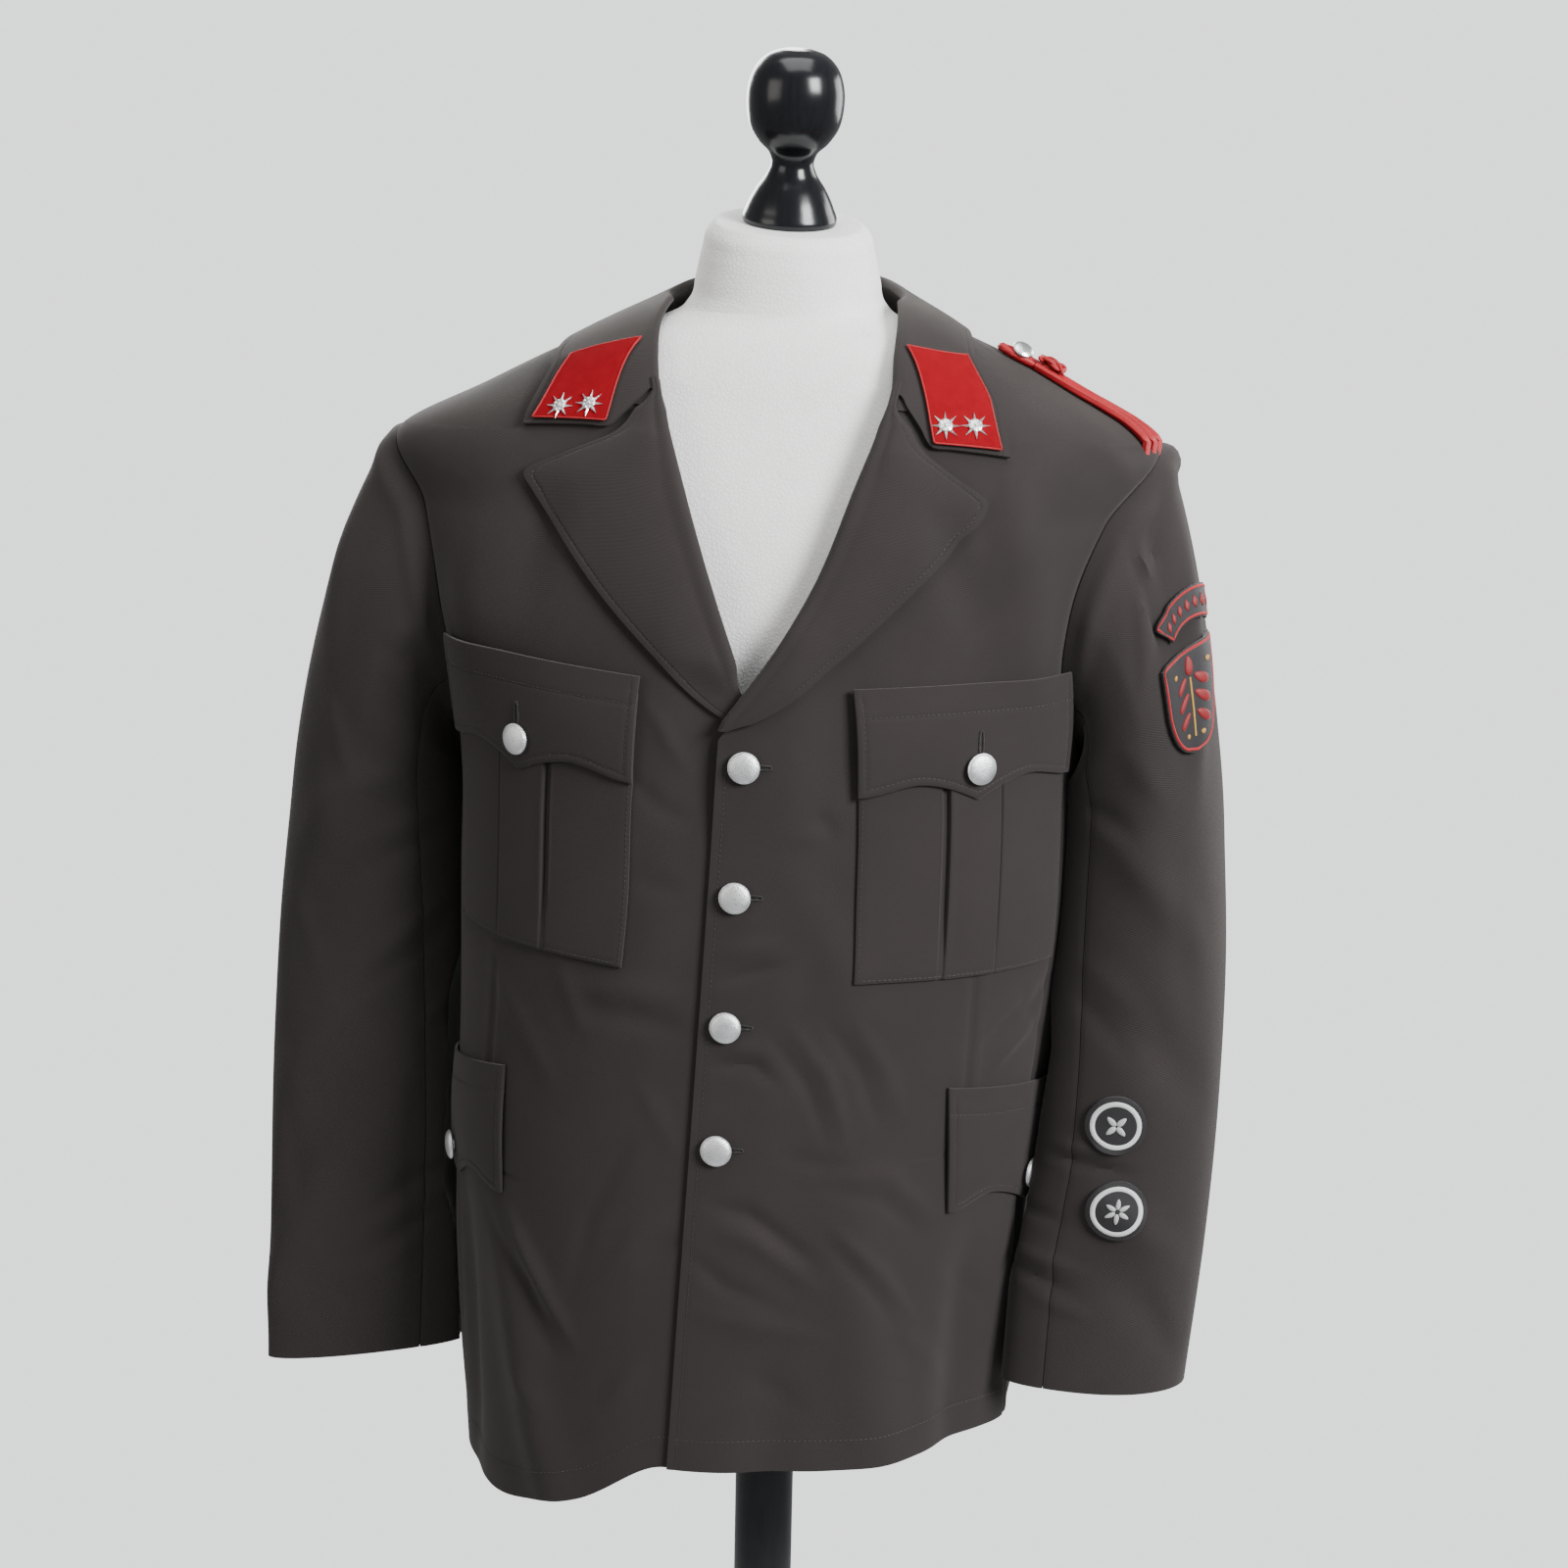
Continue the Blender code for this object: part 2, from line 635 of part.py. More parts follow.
def panel_heights(front, arm_rows):
    """Shares of the way up to the seam's top, then heights along the armhole and over the shoulder."""
    low = np.linspace(0.0, 1.0, LOW_ROWS)
    first = math.asin((seam_top(front) - ARMHOLE_MIDDLE) / ARMHOLE_HALF_HEIGHT)
    arm = ARMHOLE_MIDDLE + ARMHOLE_HALF_HEIGHT * np.sin(np.linspace(first, math.pi / 2, arm_rows))[1:]
    shoulder = np.linspace(SHOULDER, NECK, 6)[1:]
    return low, np.concatenate([arm, shoulder])


LOW_ROWS = 12


def panel(side, front, cols, arm_rows):
    top = seam_top(front)
    low, high = panel_heights(front, arm_rows)
    across = np.linspace(0, 1, cols)
    half = SEAM_GAP / 2 / ARC_RADIUS
    grid_angle, grid_z = [], []
    for share, z in [(s, HEM_FRONT + s * (top - HEM_FRONT)) for s in low] + [(1.0, z) for z in high]:
        away = -half if front else half
        edge = float(side_edge(z, front)) + away
        if z >= SHOULDER - 1e-6:
            edge = math.pi / 2 + math.copysign(SEAM_GAP / 2 / float(BODY["half_width"](z)), away)
        if front:
            free = float(front_angle(front_edge(z, side), z))
        else:
            free = side * (math.pi - SEAM_GAP / 2 / float(BODY["back"](z)))
        angle = free + across * (side * edge - free)
        grid_angle.append(angle)
        grid_z.append(z + (1 - share) * (hem(angle) - HEM_FRONT))
    angle, z = np.array(grid_angle), np.array(grid_z)
    lift = layer(body_point(angle, z)[..., 0], z, side) if front else 0.0
    name = ("front_" if front else "back_") + ("left" if side > 0 else "right")
    return body_sheet(name, angle, z, lift, CLOTH)


def side_panel(side, cols=6):
    half = SEAM_GAP / 2 / ARC_RADIUS
    across = np.linspace(SIDE_SEAM_FRONT + half, SIDE_SEAM_BACK - half, cols)
    angle = side * np.tile(across, (LOW_ROWS, 1))
    up = np.linspace(0, 1, LOW_ROWS)[:, None]
    top = armhole_floor(np.abs(angle)) - SEAM_GAP
    z = hem(angle) + up * (top - hem(angle))
    name = "side_left" if side > 0 else "side_right"
    return body_sheet(name, angle, z, 0.0, CLOTH)


# Lapels and collar


def lapel(side, rows=12):
    """The front folded back along the roll line: a curl round the front's edge, then a leaf that lies on the front."""
    start = LAPEL_START if side > 0 else LAPEL_START + 0.003
    z = np.concatenate([np.linspace(start, 1.310, rows - 5), [1.322, 1.336, 1.350, 1.363, 1.376]])
    # Distance past the roll line and lift of the leaf's middle, for the curl and for the leaf's flat start
    curl = np.array([(0.0012, -0.0012), (-0.0016, -0.0008), (-0.0030, 0.0012), (-0.0016, 0.0034)])
    tucked = np.array([(0.0000, 0.0018), (0.0012, 0.0018), (0.0024, 0.0018), (0.0036, 0.0018)])
    leaf = (0.08, 0.20, 0.34, 0.50, 0.66, 0.82, 1.0)
    top, under = [], []
    for height in z:
        edge = LAPEL_EDGE["middle"](height) + side * LAPEL_EDGE["half"](height)
        roll = roll_x(height - COLLAR_LEAN * roll_x(height, side), side)
        width = max(float(side * (edge - roll)), 0.004)
        flat = 0.0 if side > 0 else 1 - float(ease((height - 1.190) / 0.025))
        size = min(1.0, width / 0.012)
        path = [tuple(point) for point in curl * (1 - flat) + tucked * flat]
        for share in leaf:
            bulge = LAPEL_BULGE * math.sin(math.pi * share**0.6) * min(1.0, width / 0.03) * (1 - flat)
            rest = (LAY_GAP + 0.0006 + FACED / 2) * (1 - flat) + 0.0018 * flat
            path.append((0.0040 + share * width, rest + bulge))
        path = np.array(path) * [size if flat == 0 else 1, 1]
        run = np.gradient(path, axis=0)
        out = unit(np.stack([-run[:, 1], run[:, 0]], axis=1)) * FACED / 2
        for way, store in ((1, top), (-1, under)):
            across, lift = (path + way * out).T
            x = roll + side * across
            low = height - COLLAR_LEAN * x
            store.append(on_body(front_angle(x, low), low, lift + layer(x, low, side)))
    name = "lapel_left" if side > 0 else "lapel_right"
    return sheet(name, np.array(top), np.array(under), "cloth")


def neck_table(side):
    """The panels' neck edge, from centre back to the gorge: distances along it, then angles and heights on the body."""
    back = np.linspace(math.pi, math.pi / 2, 40)
    heights = np.linspace(NECK, GORGE, 40)
    first = float(np.abs(front_angle(front_edge(NECK, side), NECK)))
    angle = np.concatenate([back, np.linspace(math.pi / 2, first, 8)[1:-1], np.abs(front_angle(front_edge(heights, side), heights))])
    z = np.concatenate([np.full(len(back) + 6, NECK), heights])
    points = body_point(side * angle, z)
    along = np.concatenate([[0], np.cumsum(np.linalg.norm(np.diff(points, axis=0), axis=1))])
    return along / along[-1], angle, z


NECK_EDGES = {side: neck_table(side) for side in (1, -1)}
COLLAR_COLUMNS = ("turn", "stand", "inward", "half", "middle", "edge_y", "edge_z", "front")
COLLAR_ROWS = (
    # Height of the fold over the seam, its way inwards, the outer edge on the body, then 1 at the front end
    (0.00, 0.030, 0.014, 0.000, 0.000, 0.106, 1.408, 0.0),
    (0.16, 0.029, 0.016, 0.042, -0.003, 0.103, 1.404, 0.0),
    (0.32, 0.026, 0.021, 0.082, -0.005, 0.084, 1.400, 0.0),
    (0.46, 0.021, 0.022, 0.114, -0.008, 0.048, 1.403, 0.0),
    (0.58, 0.013, 0.015, 0.133, -0.010, 0.000, 1.410, 0.0),
    (0.72, 0.008, 0.008, 0.142, -0.008, -0.055, 1.398, 0.15),
    (0.86, 0.003, 0.002, 0.146, -0.004, -0.080, 1.376, 0.6),
    (1.00, 0.000, 0.000, 0.156, 0.000, -0.100, 1.3505, 1.0),
)
COLLAR = columns_of(COLLAR_COLUMNS, COLLAR_ROWS)
COLLAR_REST = LAY_GAP + FACED / 2 + 0.0006


def neck_edge(turn):
    """A point of the neck edge, the body's normal there and the way off the panel, for turns from -1 (right) to 1."""
    side = 1 if turn >= 0 else -1
    share, angles, heights = NECK_EDGES[side]

    def at(t):
        angle, z = np.interp(abs(t), share, angles), np.interp(abs(t), share, heights)
        return side * angle, z

    angle, z = at(turn)
    point, normal = body_point(angle, z), body_normal(angle, z)
    low, high = at(max(abs(turn) - 0.07, 0)), at(min(abs(turn) + 0.07, 1))
    along = unit(body_point(*high) - body_point(*low))
    return point, normal, unit(np.cross(normal, along)) * -side


def collar_section(turn):
    """The middle of the collar's cloth at a turn: seam, stand, fold, then the start and end of its fall."""
    side = 1.0 if turn >= 0 else -1.0
    t = abs(turn)
    point, normal, off = neck_edge(turn)
    front = float(COLLAR["front"](t))
    inward = unit(np.array([-point[0], -0.7 * point[1], 0.0]))
    up = np.array([0.0, 0.0, 1.0])
    stand, lean = float(COLLAR["stand"](t)), float(COLLAR["inward"](t))
    seam = point + off * 0.0022 - normal * (0.0010 + 0.0022 * front)
    fold = seam + up * stand + inward * lean + (off * 0.0012 + normal * 0.0030) * front
    rise = unit(fold - seam)
    x = side * float(COLLAR["half"](t)) + float(COLLAR["middle"](t)) * min(1.0, t / 0.1)
    z = float(COLLAR["edge_z"](t)) - COLLAR_LEAN * x * min(1.0, t / 0.6)
    y = float(COLLAR["edge_y"](t))
    angle = math.atan2(x - float(BODY["middle"](z)), -y)
    ends = float(ease((t - 0.72) / 0.14))
    edge = on_body(angle, z, COLLAR_REST) * ends + over_body(x, y, COLLAR_REST)[0] * (1 - ends)
    out = unit(np.array([edge[0] - fold[0], edge[1] - fold[1], 0.0]))
    over = out * (0.0046 - 0.0010 * front) + rise * 0.0002 + normal * 0.0016 * front
    return seam, fold, fold + over, edge, rise, out, front


def collar_path(turn, shares):
    seam, fold, start, edge, rise, out, front = collar_section(turn)
    top = (fold + start) / 2 + rise * 0.0014 * (1 - 0.4 * front)
    path = [seam, seam + (fold - seam) * 0.5, fold, top, start]
    side = 1.0 if turn >= 0 else -1.0
    x, z = side * COLLAR_NOTCH[0] + 0.008, COLLAR_NOTCH[1] - COLLAR_LEAN * (side * COLLAR_NOTCH[0])
    notch = on_body(front_angle(x, z), z, COLLAR_REST)
    for share in shares:
        straight = start + (edge - start) * share
        arch = 4 * share * (1 - share) * (1 - front)
        straight = straight + (out * 0.001 + np.array([0, 0, 0.001])) * arch
        if share < 0.42:
            bent = start + (notch - start) * share / 0.42
        else:
            bent = notch + (edge - notch) * (share - 0.42) / 0.58
        end = float(ease((abs(turn) - 0.86) / 0.14))
        path.append(straight * (1 - end) + bent * end)
    return np.array(path)


def collar_surface(turns, shares):
    """The middle of the collar's cloth. The first five points of each row are its seam, stand and fold."""
    path = np.array([collar_path(turn, shares) for turn in turns])
    path[:, 5:] = pushed_off(path[:, 5:], COLLAR_REST)
    return path


def collar_grid(turns, shares):
    """The middle of the collar's cloth and its normals, by turn and then by place across it."""
    centre = collar_surface(turns, shares)
    return centre, unit(np.cross(np.gradient(centre, axis=0), np.gradient(centre, axis=1)))


COLLAR_TURNS = np.linspace(-1, 1, 25)
FALL_SHARES = (0.12, 0.27, 0.42, 0.70, 1.0)


def collar():
    """Stand and fall in one folded wall, from one front end round the neck to the other."""
    centre, normal = collar_grid(COLLAR_TURNS, FALL_SHARES)
    return sheet("collar", centre + normal * FACED / 2, centre - normal * FACED / 2, "cloth")


def between(grid, rows, cols, row, col):
    """The grid's values at a row and a column that may fall between its own."""
    i = np.clip(np.searchsorted(rows, row) - 1, 0, len(rows) - 2)
    j = np.clip(np.searchsorted(cols, col) - 1, 0, len(cols) - 2)
    u = ((row - rows[i]) / (rows[i + 1] - rows[i]))[..., None]
    v = ((col - cols[j]) / (cols[j + 1] - cols[j]))[..., None]
    near = grid[i, j] * (1 - v) + grid[i, j + 1] * v
    far = grid[i + 1, j] * (1 - v) + grid[i + 1, j + 1] * v
    return near * (1 - u) + far * u


def on_collar(turn, share, lift):
    """Points over the outer face of the collar's fall."""
    turn, share = np.broadcast_arrays(np.asarray(turn, float), np.asarray(share, float))
    centre, normal = collar_grid(COLLAR_TURNS, FALL_SHARES)
    out = normal * np.sign(np.sum(normal[12, 7] * np.array([0, 1, 0])))
    shares = np.array((0.0,) + FALL_SHARES)
    points = between((centre + out * FACED / 2)[:, 4:], COLLAR_TURNS, shares, turn, share)
    normals = unit(between(out[:, 4:], COLLAR_TURNS, shares, turn, share))
    return points + normals * np.asarray(lift)[..., None], normals


def corner_grid(corners, rows, cols):
    """A grid between four corners, each a pair of numbers."""
    u = np.linspace(0, 1, rows)[:, None, None]
    v = np.linspace(0, 1, cols)[None, :, None]
    a, b, c, d = (np.array(corner, float) for corner in corners)
    grid = (a * (1 - v) + b * v) * (1 - u) + (d * (1 - v) + c * v) * u
    return grid[..., 0], grid[..., 1]


def star_outline(rays=8, out=STAR_RADIUS, inside=STAR_WAIST):
    turn = np.linspace(0, 2 * math.pi, 2 * rays, endpoint=False)
    radius = np.where(np.arange(2 * rays) % 2 == 0, out, inside)
    return np.stack([radius * np.sin(turn), radius * np.cos(turn)], axis=-1)


def prism(name, outline, low, high, place, finish):
    """A flat solid with that outline, between two heights of its own frame."""
    count = len(outline)
    points = np.array([(x, y, z) for z in (low, high) for x, y in outline])
    faces = [tuple(reversed(range(count))), tuple(range(count, 2 * count))]
    faces += [(k, (k + 1) % count, count + (k + 1) % count, count + k) for k in range(count)]
    return add_object(name, place(points), faces, finish)


def patches():
    """The felt patches on the collar's front ends, with two stars each."""
    for side, word in ((1, "left"), (-1, "right")):
        turn, share = corner_grid(PATCH_CORNERS[word], 7, 7)
        outer, _ = on_collar(turn, share, PATCH_GAP + FELT)
        inner, _ = on_collar(turn, share, PATCH_GAP)
        sheet(f"collar_patch_{word}", outer, inner, "felt")
        for place_word, (turn, share) in STAR_PLACES[word].items():
            point, normal = on_collar(turn, share, PATCH_GAP + FELT + STAR_GAP)
            place = frame_at(point, normal, (0, 0, 1))
            prism(f"star_{word}_{place_word}", star_outline(), 0.0, STAR_THICKNESS, place, "silver")


# Sleeves


def sleeve_ring(side, phi, share):
    """A point of the sleeve below its head."""
    table = SLEEVES[side]
    way = 1.0 if side == "left" else -1.0
    turn = np.radians(table["turn"](share))
    out = stack(way * np.cos(turn), np.sin(turn), table["rise_out"](share))
    forward = stack(way * np.sin(turn), -np.cos(turn), table["rise_front"](share))
    middle = stack(way * table["x"](share), table["y"](share), table["z"](share))
    wide = table["half_width"](share) * np.sin(phi)
    deep = table["half_depth"](share) * np.cos(phi)
    return middle + out * wide[..., None] + forward * deep[..., None]


def sleeve_base(side, phi, share):
    """A point of the sleeve without its folds. The head is a set of smooth lines from the armhole to the upper arm."""
    way = 1.0 if side == "left" else -1.0
    phi, share = np.broadcast_arrays(np.asarray(phi, float), np.asarray(share, float))
    angle, height = armhole(phi, way, inset=SLEEVE_INSET)
    start = body_point(angle, height) + np.array([way * 0.0008, 0, 0])
    over, under, beside = np.maximum(np.sin(phi), 0), np.maximum(-np.sin(phi), 0), np.abs(np.cos(phi))
    outwards = SLEEVE_OUT[side] * over + 0.80 * beside + 0.90 * under
    leave = unit(stack(way * outwards, -0.35 * np.cos(phi), -0.75 * over - 0.45 * beside - 0.30 * under))
    below = np.maximum(share, SLEEVE_TOP)
    end = sleeve_ring(side, phi, np.full_like(share, SLEEVE_TOP))
    arrive = unit(sleeve_ring(side, phi, np.full_like(share, SLEEVE_TOP + 0.02)) - end)
    reach = np.linalg.norm(end - start, axis=-1)
    t = np.clip(share / SLEEVE_TOP, 0, 1)[..., None]
    first = leave * (reach * (0.30 - 0.15 * over))[..., None]
    last = arrive * (reach * 0.36)[..., None]
    points = (start, start + first, end - last, end)
    weights = ((1 - t) ** 3, 3 * t * (1 - t) ** 2, 3 * t**2 * (1 - t), t**3)
    head = sum(point * weight for point, weight in zip(points, weights))
    return np.where((share < SLEEVE_TOP)[..., None], head, sleeve_ring(side, phi, below))


def sleeve_fold(side, phi, share):
    total = 0.0
    for whole in (-2 * math.pi, 0.0, 2 * math.pi):
        total = total + relief(phi + whole, share, SLEEVE_FOLDS[side], SLEEVE_RADIUS, SLEEVE_LENGTH)
    return total * ease(share / 0.08)


def sleeve_normal(side, phi, share, point=sleeve_base):
    step = 0.01
    low, high = np.maximum(share - step, 0.0005), np.minimum(share + step, 0.9995)
    around = point(side, phi + step, share) - point(side, phi - step, share)
    along = point(side, phi, high) - point(side, phi, low)
    way = 1.0 if side == "left" else -1.0
    return unit(np.cross(along, around)) * way


def sleeve_point(side, phi, share):
    """A point of the sleeve's outer face. Its inner side rests against the body."""
    phi, share = np.broadcast_arrays(np.asarray(phi, float), np.asarray(share, float))
    rise = sleeve_fold(side, phi, share)[..., None]
    points = sleeve_base(side, phi, share) + sleeve_normal(side, phi, share) * rise
    z = points[..., 2]
    flaps = (1 - ease((z - 0.93) / 0.05)) * ease((z - 0.75) / 0.05)
    clear = (SLEEVE_CLEAR + FLAP_CLEAR * flaps) * ease(share / 0.018)
    return pushed_off(points, clear)


def on_sleeve(side, phi, share, lift):
    normal = sleeve_normal(side, phi, share, sleeve_point)
    return sleeve_point(side, phi, share) + normal * np.asarray(lift)[..., None]


def sleeve_rows():
    head = np.array([0.0, 0.015, 0.04, 0.08, 0.13, 0.19, 0.25, 0.32])
    return np.concatenate([head, np.linspace(0.38, 1.0, 9)])


def sleeve(side, name, start, end, cols):
    phi = sleeve_panel_phi(start, end, cols)[None, :]
    phi, share = np.broadcast_arrays(phi, sleeve_rows()[:, None])
    outer, inner = on_sleeve(side, phi, share, 0.0), on_sleeve(side, phi, share, -CLOTH)
    return sheet(f"sleeve_{side}_{name}", outer, inner, "cloth")


def sleeve_panel_phi(start, end, cols):
    half = SEAM_GAP / 2 / 0.045
    return np.linspace(start + half, end - half, cols)


def sleeve_spot(spot, across, along, lift):
    """Points over the left upper sleeve, at distances across and down it from a spot."""
    phi0, share0, turn = math.radians(spot[0]), spot[1], math.radians(spot[2])
    across, along = across * math.cos(turn) + along * math.sin(turn), along * math.cos(turn) - across * math.sin(turn)
    step = 0.01
    wide = np.linalg.norm(sleeve_base("left", phi0 + step, share0) - sleeve_base("left", phi0 - step, share0))
    long = np.linalg.norm(sleeve_base("left", phi0, share0 + step) - sleeve_base("left", phi0, share0 - step))
    phi, share = phi0 + across * 2 * step / wide, share0 + along * 2 * step / long
    rows, cols = sleeve_rows(), sleeve_panel_phi(UPPER_SLEEVE_FROM, UPPER_SLEEVE_TO, UPPER_SLEEVE_COLS)
    grid_phi, grid_share = np.broadcast_arrays(cols[None, :], rows[:, None])
    points = between(sleeve_point("left", grid_phi, grid_share), rows, cols, share, phi)
    normals = unit(between(sleeve_normal("left", grid_phi, grid_share, sleeve_point), rows, cols, share, phi))
    return points + normals * lift


def badge(name, spot, across, along, gap):
    outer = sleeve_spot(spot, across, along, gap + BADGE_THICKNESS)
    return sheet(name, outer, sleeve_spot(spot, across, along, gap), "badge")


def badges():
    """Four sewn-on badges: an arc over a shield near the shoulder, and two round ones above the cuff."""
    size = ARC_BADGE
    turn = np.linspace(-size["reach"], size["reach"], 9)[None, :]
    radius = size["radius"] - size["depth"] * np.linspace(0, 1, 3)[:, None]
    along = size["radius"] - radius * np.cos(turn)
    badge("badge_arc", size["spot"], radius * np.sin(turn), along, HEAD_BADGE_GAP)
    size = SHIELD_BADGE
    down = np.linspace(0, 1, 8)[:, None]
    half = size["width"] / 2 * np.sqrt(1 - 0.995 * np.clip((down - 0.40) / 0.60, 0, 1) ** 2.2)
    across = np.linspace(-1, 1, 6)[None, :]
    along = size["height"] * (down - 0.5) + 0 * across
    badge("badge_shield", size["spot"], half * across, along, HEAD_BADGE_GAP)
    for word, spot in ROUND_BADGES.items():
        x, y = np.linspace(-1, 1, 6)[None, :], np.linspace(-1, 1, 6)[:, None]
        across = ROUND_BADGE_RADIUS * x * np.sqrt(1 - y * y / 2)
        along = ROUND_BADGE_RADIUS * y * np.sqrt(1 - x * x / 2)
        badge(f"badge_round_{word}", spot, across, along, BADGE_GAP)


# Shoulder cord


def tube(name, centres, radius, segments, finish, closed=False):
    """A round tube along a line of points, capped or joined end to end."""
    centres = np.asarray(centres, float)
    if closed:
        run = unit(np.roll(centres, -1, axis=0) - np.roll(centres, 1, axis=0))
    else:
        run = unit(np.gradient(centres, axis=0))
    across = unit(np.cross(run, np.broadcast_to([0.35, 0.1, 1.0], run.shape)))
    over = np.cross(across, run)
    turn = np.linspace(0, 2 * math.pi, segments, endpoint=False)
    ring = across[:, None] * np.cos(turn)[None, :, None] + over[:, None] * np.sin(turn)[None, :, None]
    points = (centres[:, None] + radius * ring).reshape(-1, 3)
    count = len(centres)
    faces = []
    for r in range(count if closed else count - 1):
        below = (r + 1) % count
        for k in range(segments):
            a, b = r * segments + k, r * segments + (k + 1) % segments
            faces.append((a, b, below * segments + (k + 1) % segments, below * segments + k))
    if not closed:
        faces.append(tuple(reversed(range(segments))))
        faces.append(tuple(range((count - 1) * segments, count * segments)))
    return add_object(name, points, faces, finish)


def joined(name, pieces):
    """One body from pieces that overlap."""
    first = pieces[0]
    first.name = name
    for other in pieces[1:]:
        union = first.modifiers.new("join", "BOOLEAN")
        union.operation = "UNION"
        union.solver = "EXACT"
        union.object = other
    bpy.context.view_layer.update()
    graph = bpy.context.evaluated_depsgraph_get()
    first.data = bpy.data.meshes.new_from_object(first.evaluated_get(graph))
    first.modifiers.clear()
    for other in pieces[1:]:
        bpy.data.objects.remove(other)
    return first


def cord_line(aside, count=9):
    """The middle line of a strand that far aside from the cord's own middle."""
    rows = np.array(CORD_ROWS)
    x = np.linspace(rows[0, 0], rows[-1, 0], count)
    y = np.interp(x, rows[:, 0], rows[:, 1])
    run = unit(np.stack([np.gradient(x), np.gradient(y)], axis=-1))
    lift = STRAND_RADIUS + 0.0008
    return [over_body(a - aside * d[1], b + aside * d[0], lift)[0] for a, b, d in zip(x, y, run)]


def shoulder_cord():
    pieces = [tube("strand", cord_line(k * STRAND_SPACING), STRAND_RADIUS, 8, "cord") for k in (-1, 0, 1)]
    point, normal = over_body(CORD_ROWS[0][0] + 0.008, CORD_ROWS[0][1], KNOT_SIZE[2] + 0.0008)
    place = frame_at(point, normal, (0, 1, 0))
    profile = [(math.cos(a), math.sin(a)) for a in np.radians([-80, -50, -18, 18, 50, 80])]
    pieces.append(turned_solid("knot", profile, 10, lambda points: place(points * KNOT_SIZE), "cord"))
    turn = np.linspace(0, 2 * math.pi, 14, endpoint=False)
    long, wide = LOOP_SIZE
    x, y = SHOULDER_BUTTON[0] + long * np.cos(turn), SHOULDER_BUTTON[1] + wide * np.sin(turn)
    ring = [over_body(a, b, STRAND_RADIUS + 0.0008)[0] for a, b in zip(x, y)]
    pieces.append(tube("loop", ring, STRAND_RADIUS, 7, "cord", closed=True))
    joined("shoulder_cord", pieces)
    point, normal = over_body(*SHOULDER_BUTTON, SEAM_GAP)
    place = frame_at(point, normal, (0, 1, 0))
    turned_solid("button_shoulder", SHOULDER_BUTTON_PROFILE, 14, place, "silver")


# Pockets and flaps


def laid(name, side, distance, z, lift, thickness, shift, finish="cloth"):
    """A wall laid on the body, from distances round it and heights."""
    angle, z = placed(side, distance, z, shift)
    return body_sheet(name, angle, z, lift, thickness, finish)


def placed(side, distance, z, shift):
    """Angles and heights on the body of distances from the middle, with what sits on that side's panel leaning."""
    way, lean, drop = shift[side]
    z = z - drop * side * distance
    return round_angle(side * distance + way - lean * (POCKET_TOP - z), z), z


def pocket(side, rows=7):
    inner, outer = 0.5 - PLEAT_HALF, 0.5 + PLEAT_HALF
    across = np.array([0.0, 0.12, 0.25, inner - 0.01, inner, inner + 0.01, 0.5, outer, 0.75, 0.88, 1.0])
    up = np.linspace(0, 1, rows)[:, None]
    distance = (POCKET_INNER + POCKET_WIDTH * across)[None, :] + 0 * up
    slant = POCKET_SLANT * POCKET_WIDTH * across
    z = POCKET_BOTTOM + slant * 0.4 + up * (POCKET_TOP - 0.012 + slant * 0.6 - POCKET_BOTTOM)
    groove = PLEAT_DEPTH * np.exp(-(((across - inner) / 0.008) ** 2))
    lift = LAY_GAP + CLOTH - groove + 0 * up
    word = "left" if side > 0 else "right"
    return laid(f"chest_pocket_{word}", side, distance, z, lift, CLOTH * 0.8, POCKET_SHIFT)


def flap_height(share, corner, arc, point):
    """The drop of a three-pointed flap's lower edge across its width."""
    from_middle = np.abs(2 * share - 1)
    tip = arc + (point - arc) * (1 - np.minimum(from_middle / 0.5, 1)) ** 1.7
    end = arc + (corner - arc) * ease((from_middle - 0.5) / 0.5)
    return np.where(from_middle < 0.5, tip, end)


def flap(name, side, inner, width, top, sizes, lift, slant, shift, rows=5, cols=13):
    across = np.linspace(0, 1, cols)[None, :]
    down = np.linspace(0, 1, rows)[:, None]
    distance = inner + width * across + 0 * down
    z = top + slant * width * across - down * flap_height(across, *sizes)
    outer = lift + FACED + 0.0012 * np.sin(math.pi * down) * np.ones_like(across)
    return laid(name, side, distance, z, outer, FACED, shift)


CHEST_FLAP_LIFT = LAY_GAP + CLOTH + LAY_GAP


def flaps():
    for side, word in ((1, "left"), (-1, "right")):
        sizes = (FLAP_CORNER, FLAP_ARC, FLAP_POINT)
        flap(f"chest_flap_{word}", side, POCKET_INNER - 0.001, POCKET_WIDTH + 0.002, POCKET_TOP,
             sizes, CHEST_FLAP_LIFT, POCKET_SLANT, POCKET_SHIFT)
        low = (LOWER_FLAP_CORNER, LOWER_FLAP_ARC, LOWER_FLAP_POINT)
        flap(f"lower_flap_{word}", side, LOWER_FLAP_INNER, LOWER_FLAP_WIDTH, LOWER_FLAP_TOP,
             low, LAY_GAP, LOWER_FLAP_SLANT, LOWER_FLAP_SHIFT)


# Buttons


def button_profile():
    """A domed button on a short shank."""
    radius, height = BUTTON_RADIUS, BUTTON_HEIGHT
    dome = [(radius * math.cos(a), 0.0028 + (height - 0.0028) * math.sin(a)) for a in np.radians([0, 28, 55, 76])]
    return [(0.0035, 0.0), (0.0035, 0.0014), (radius * 0.94, 0.0018), *dome]


def button(name, point, normal, segments=14):
    place = frame_at(point, normal, (0, 0, 1))
    return turned_solid(name, button_profile(), segments, place, "silver")


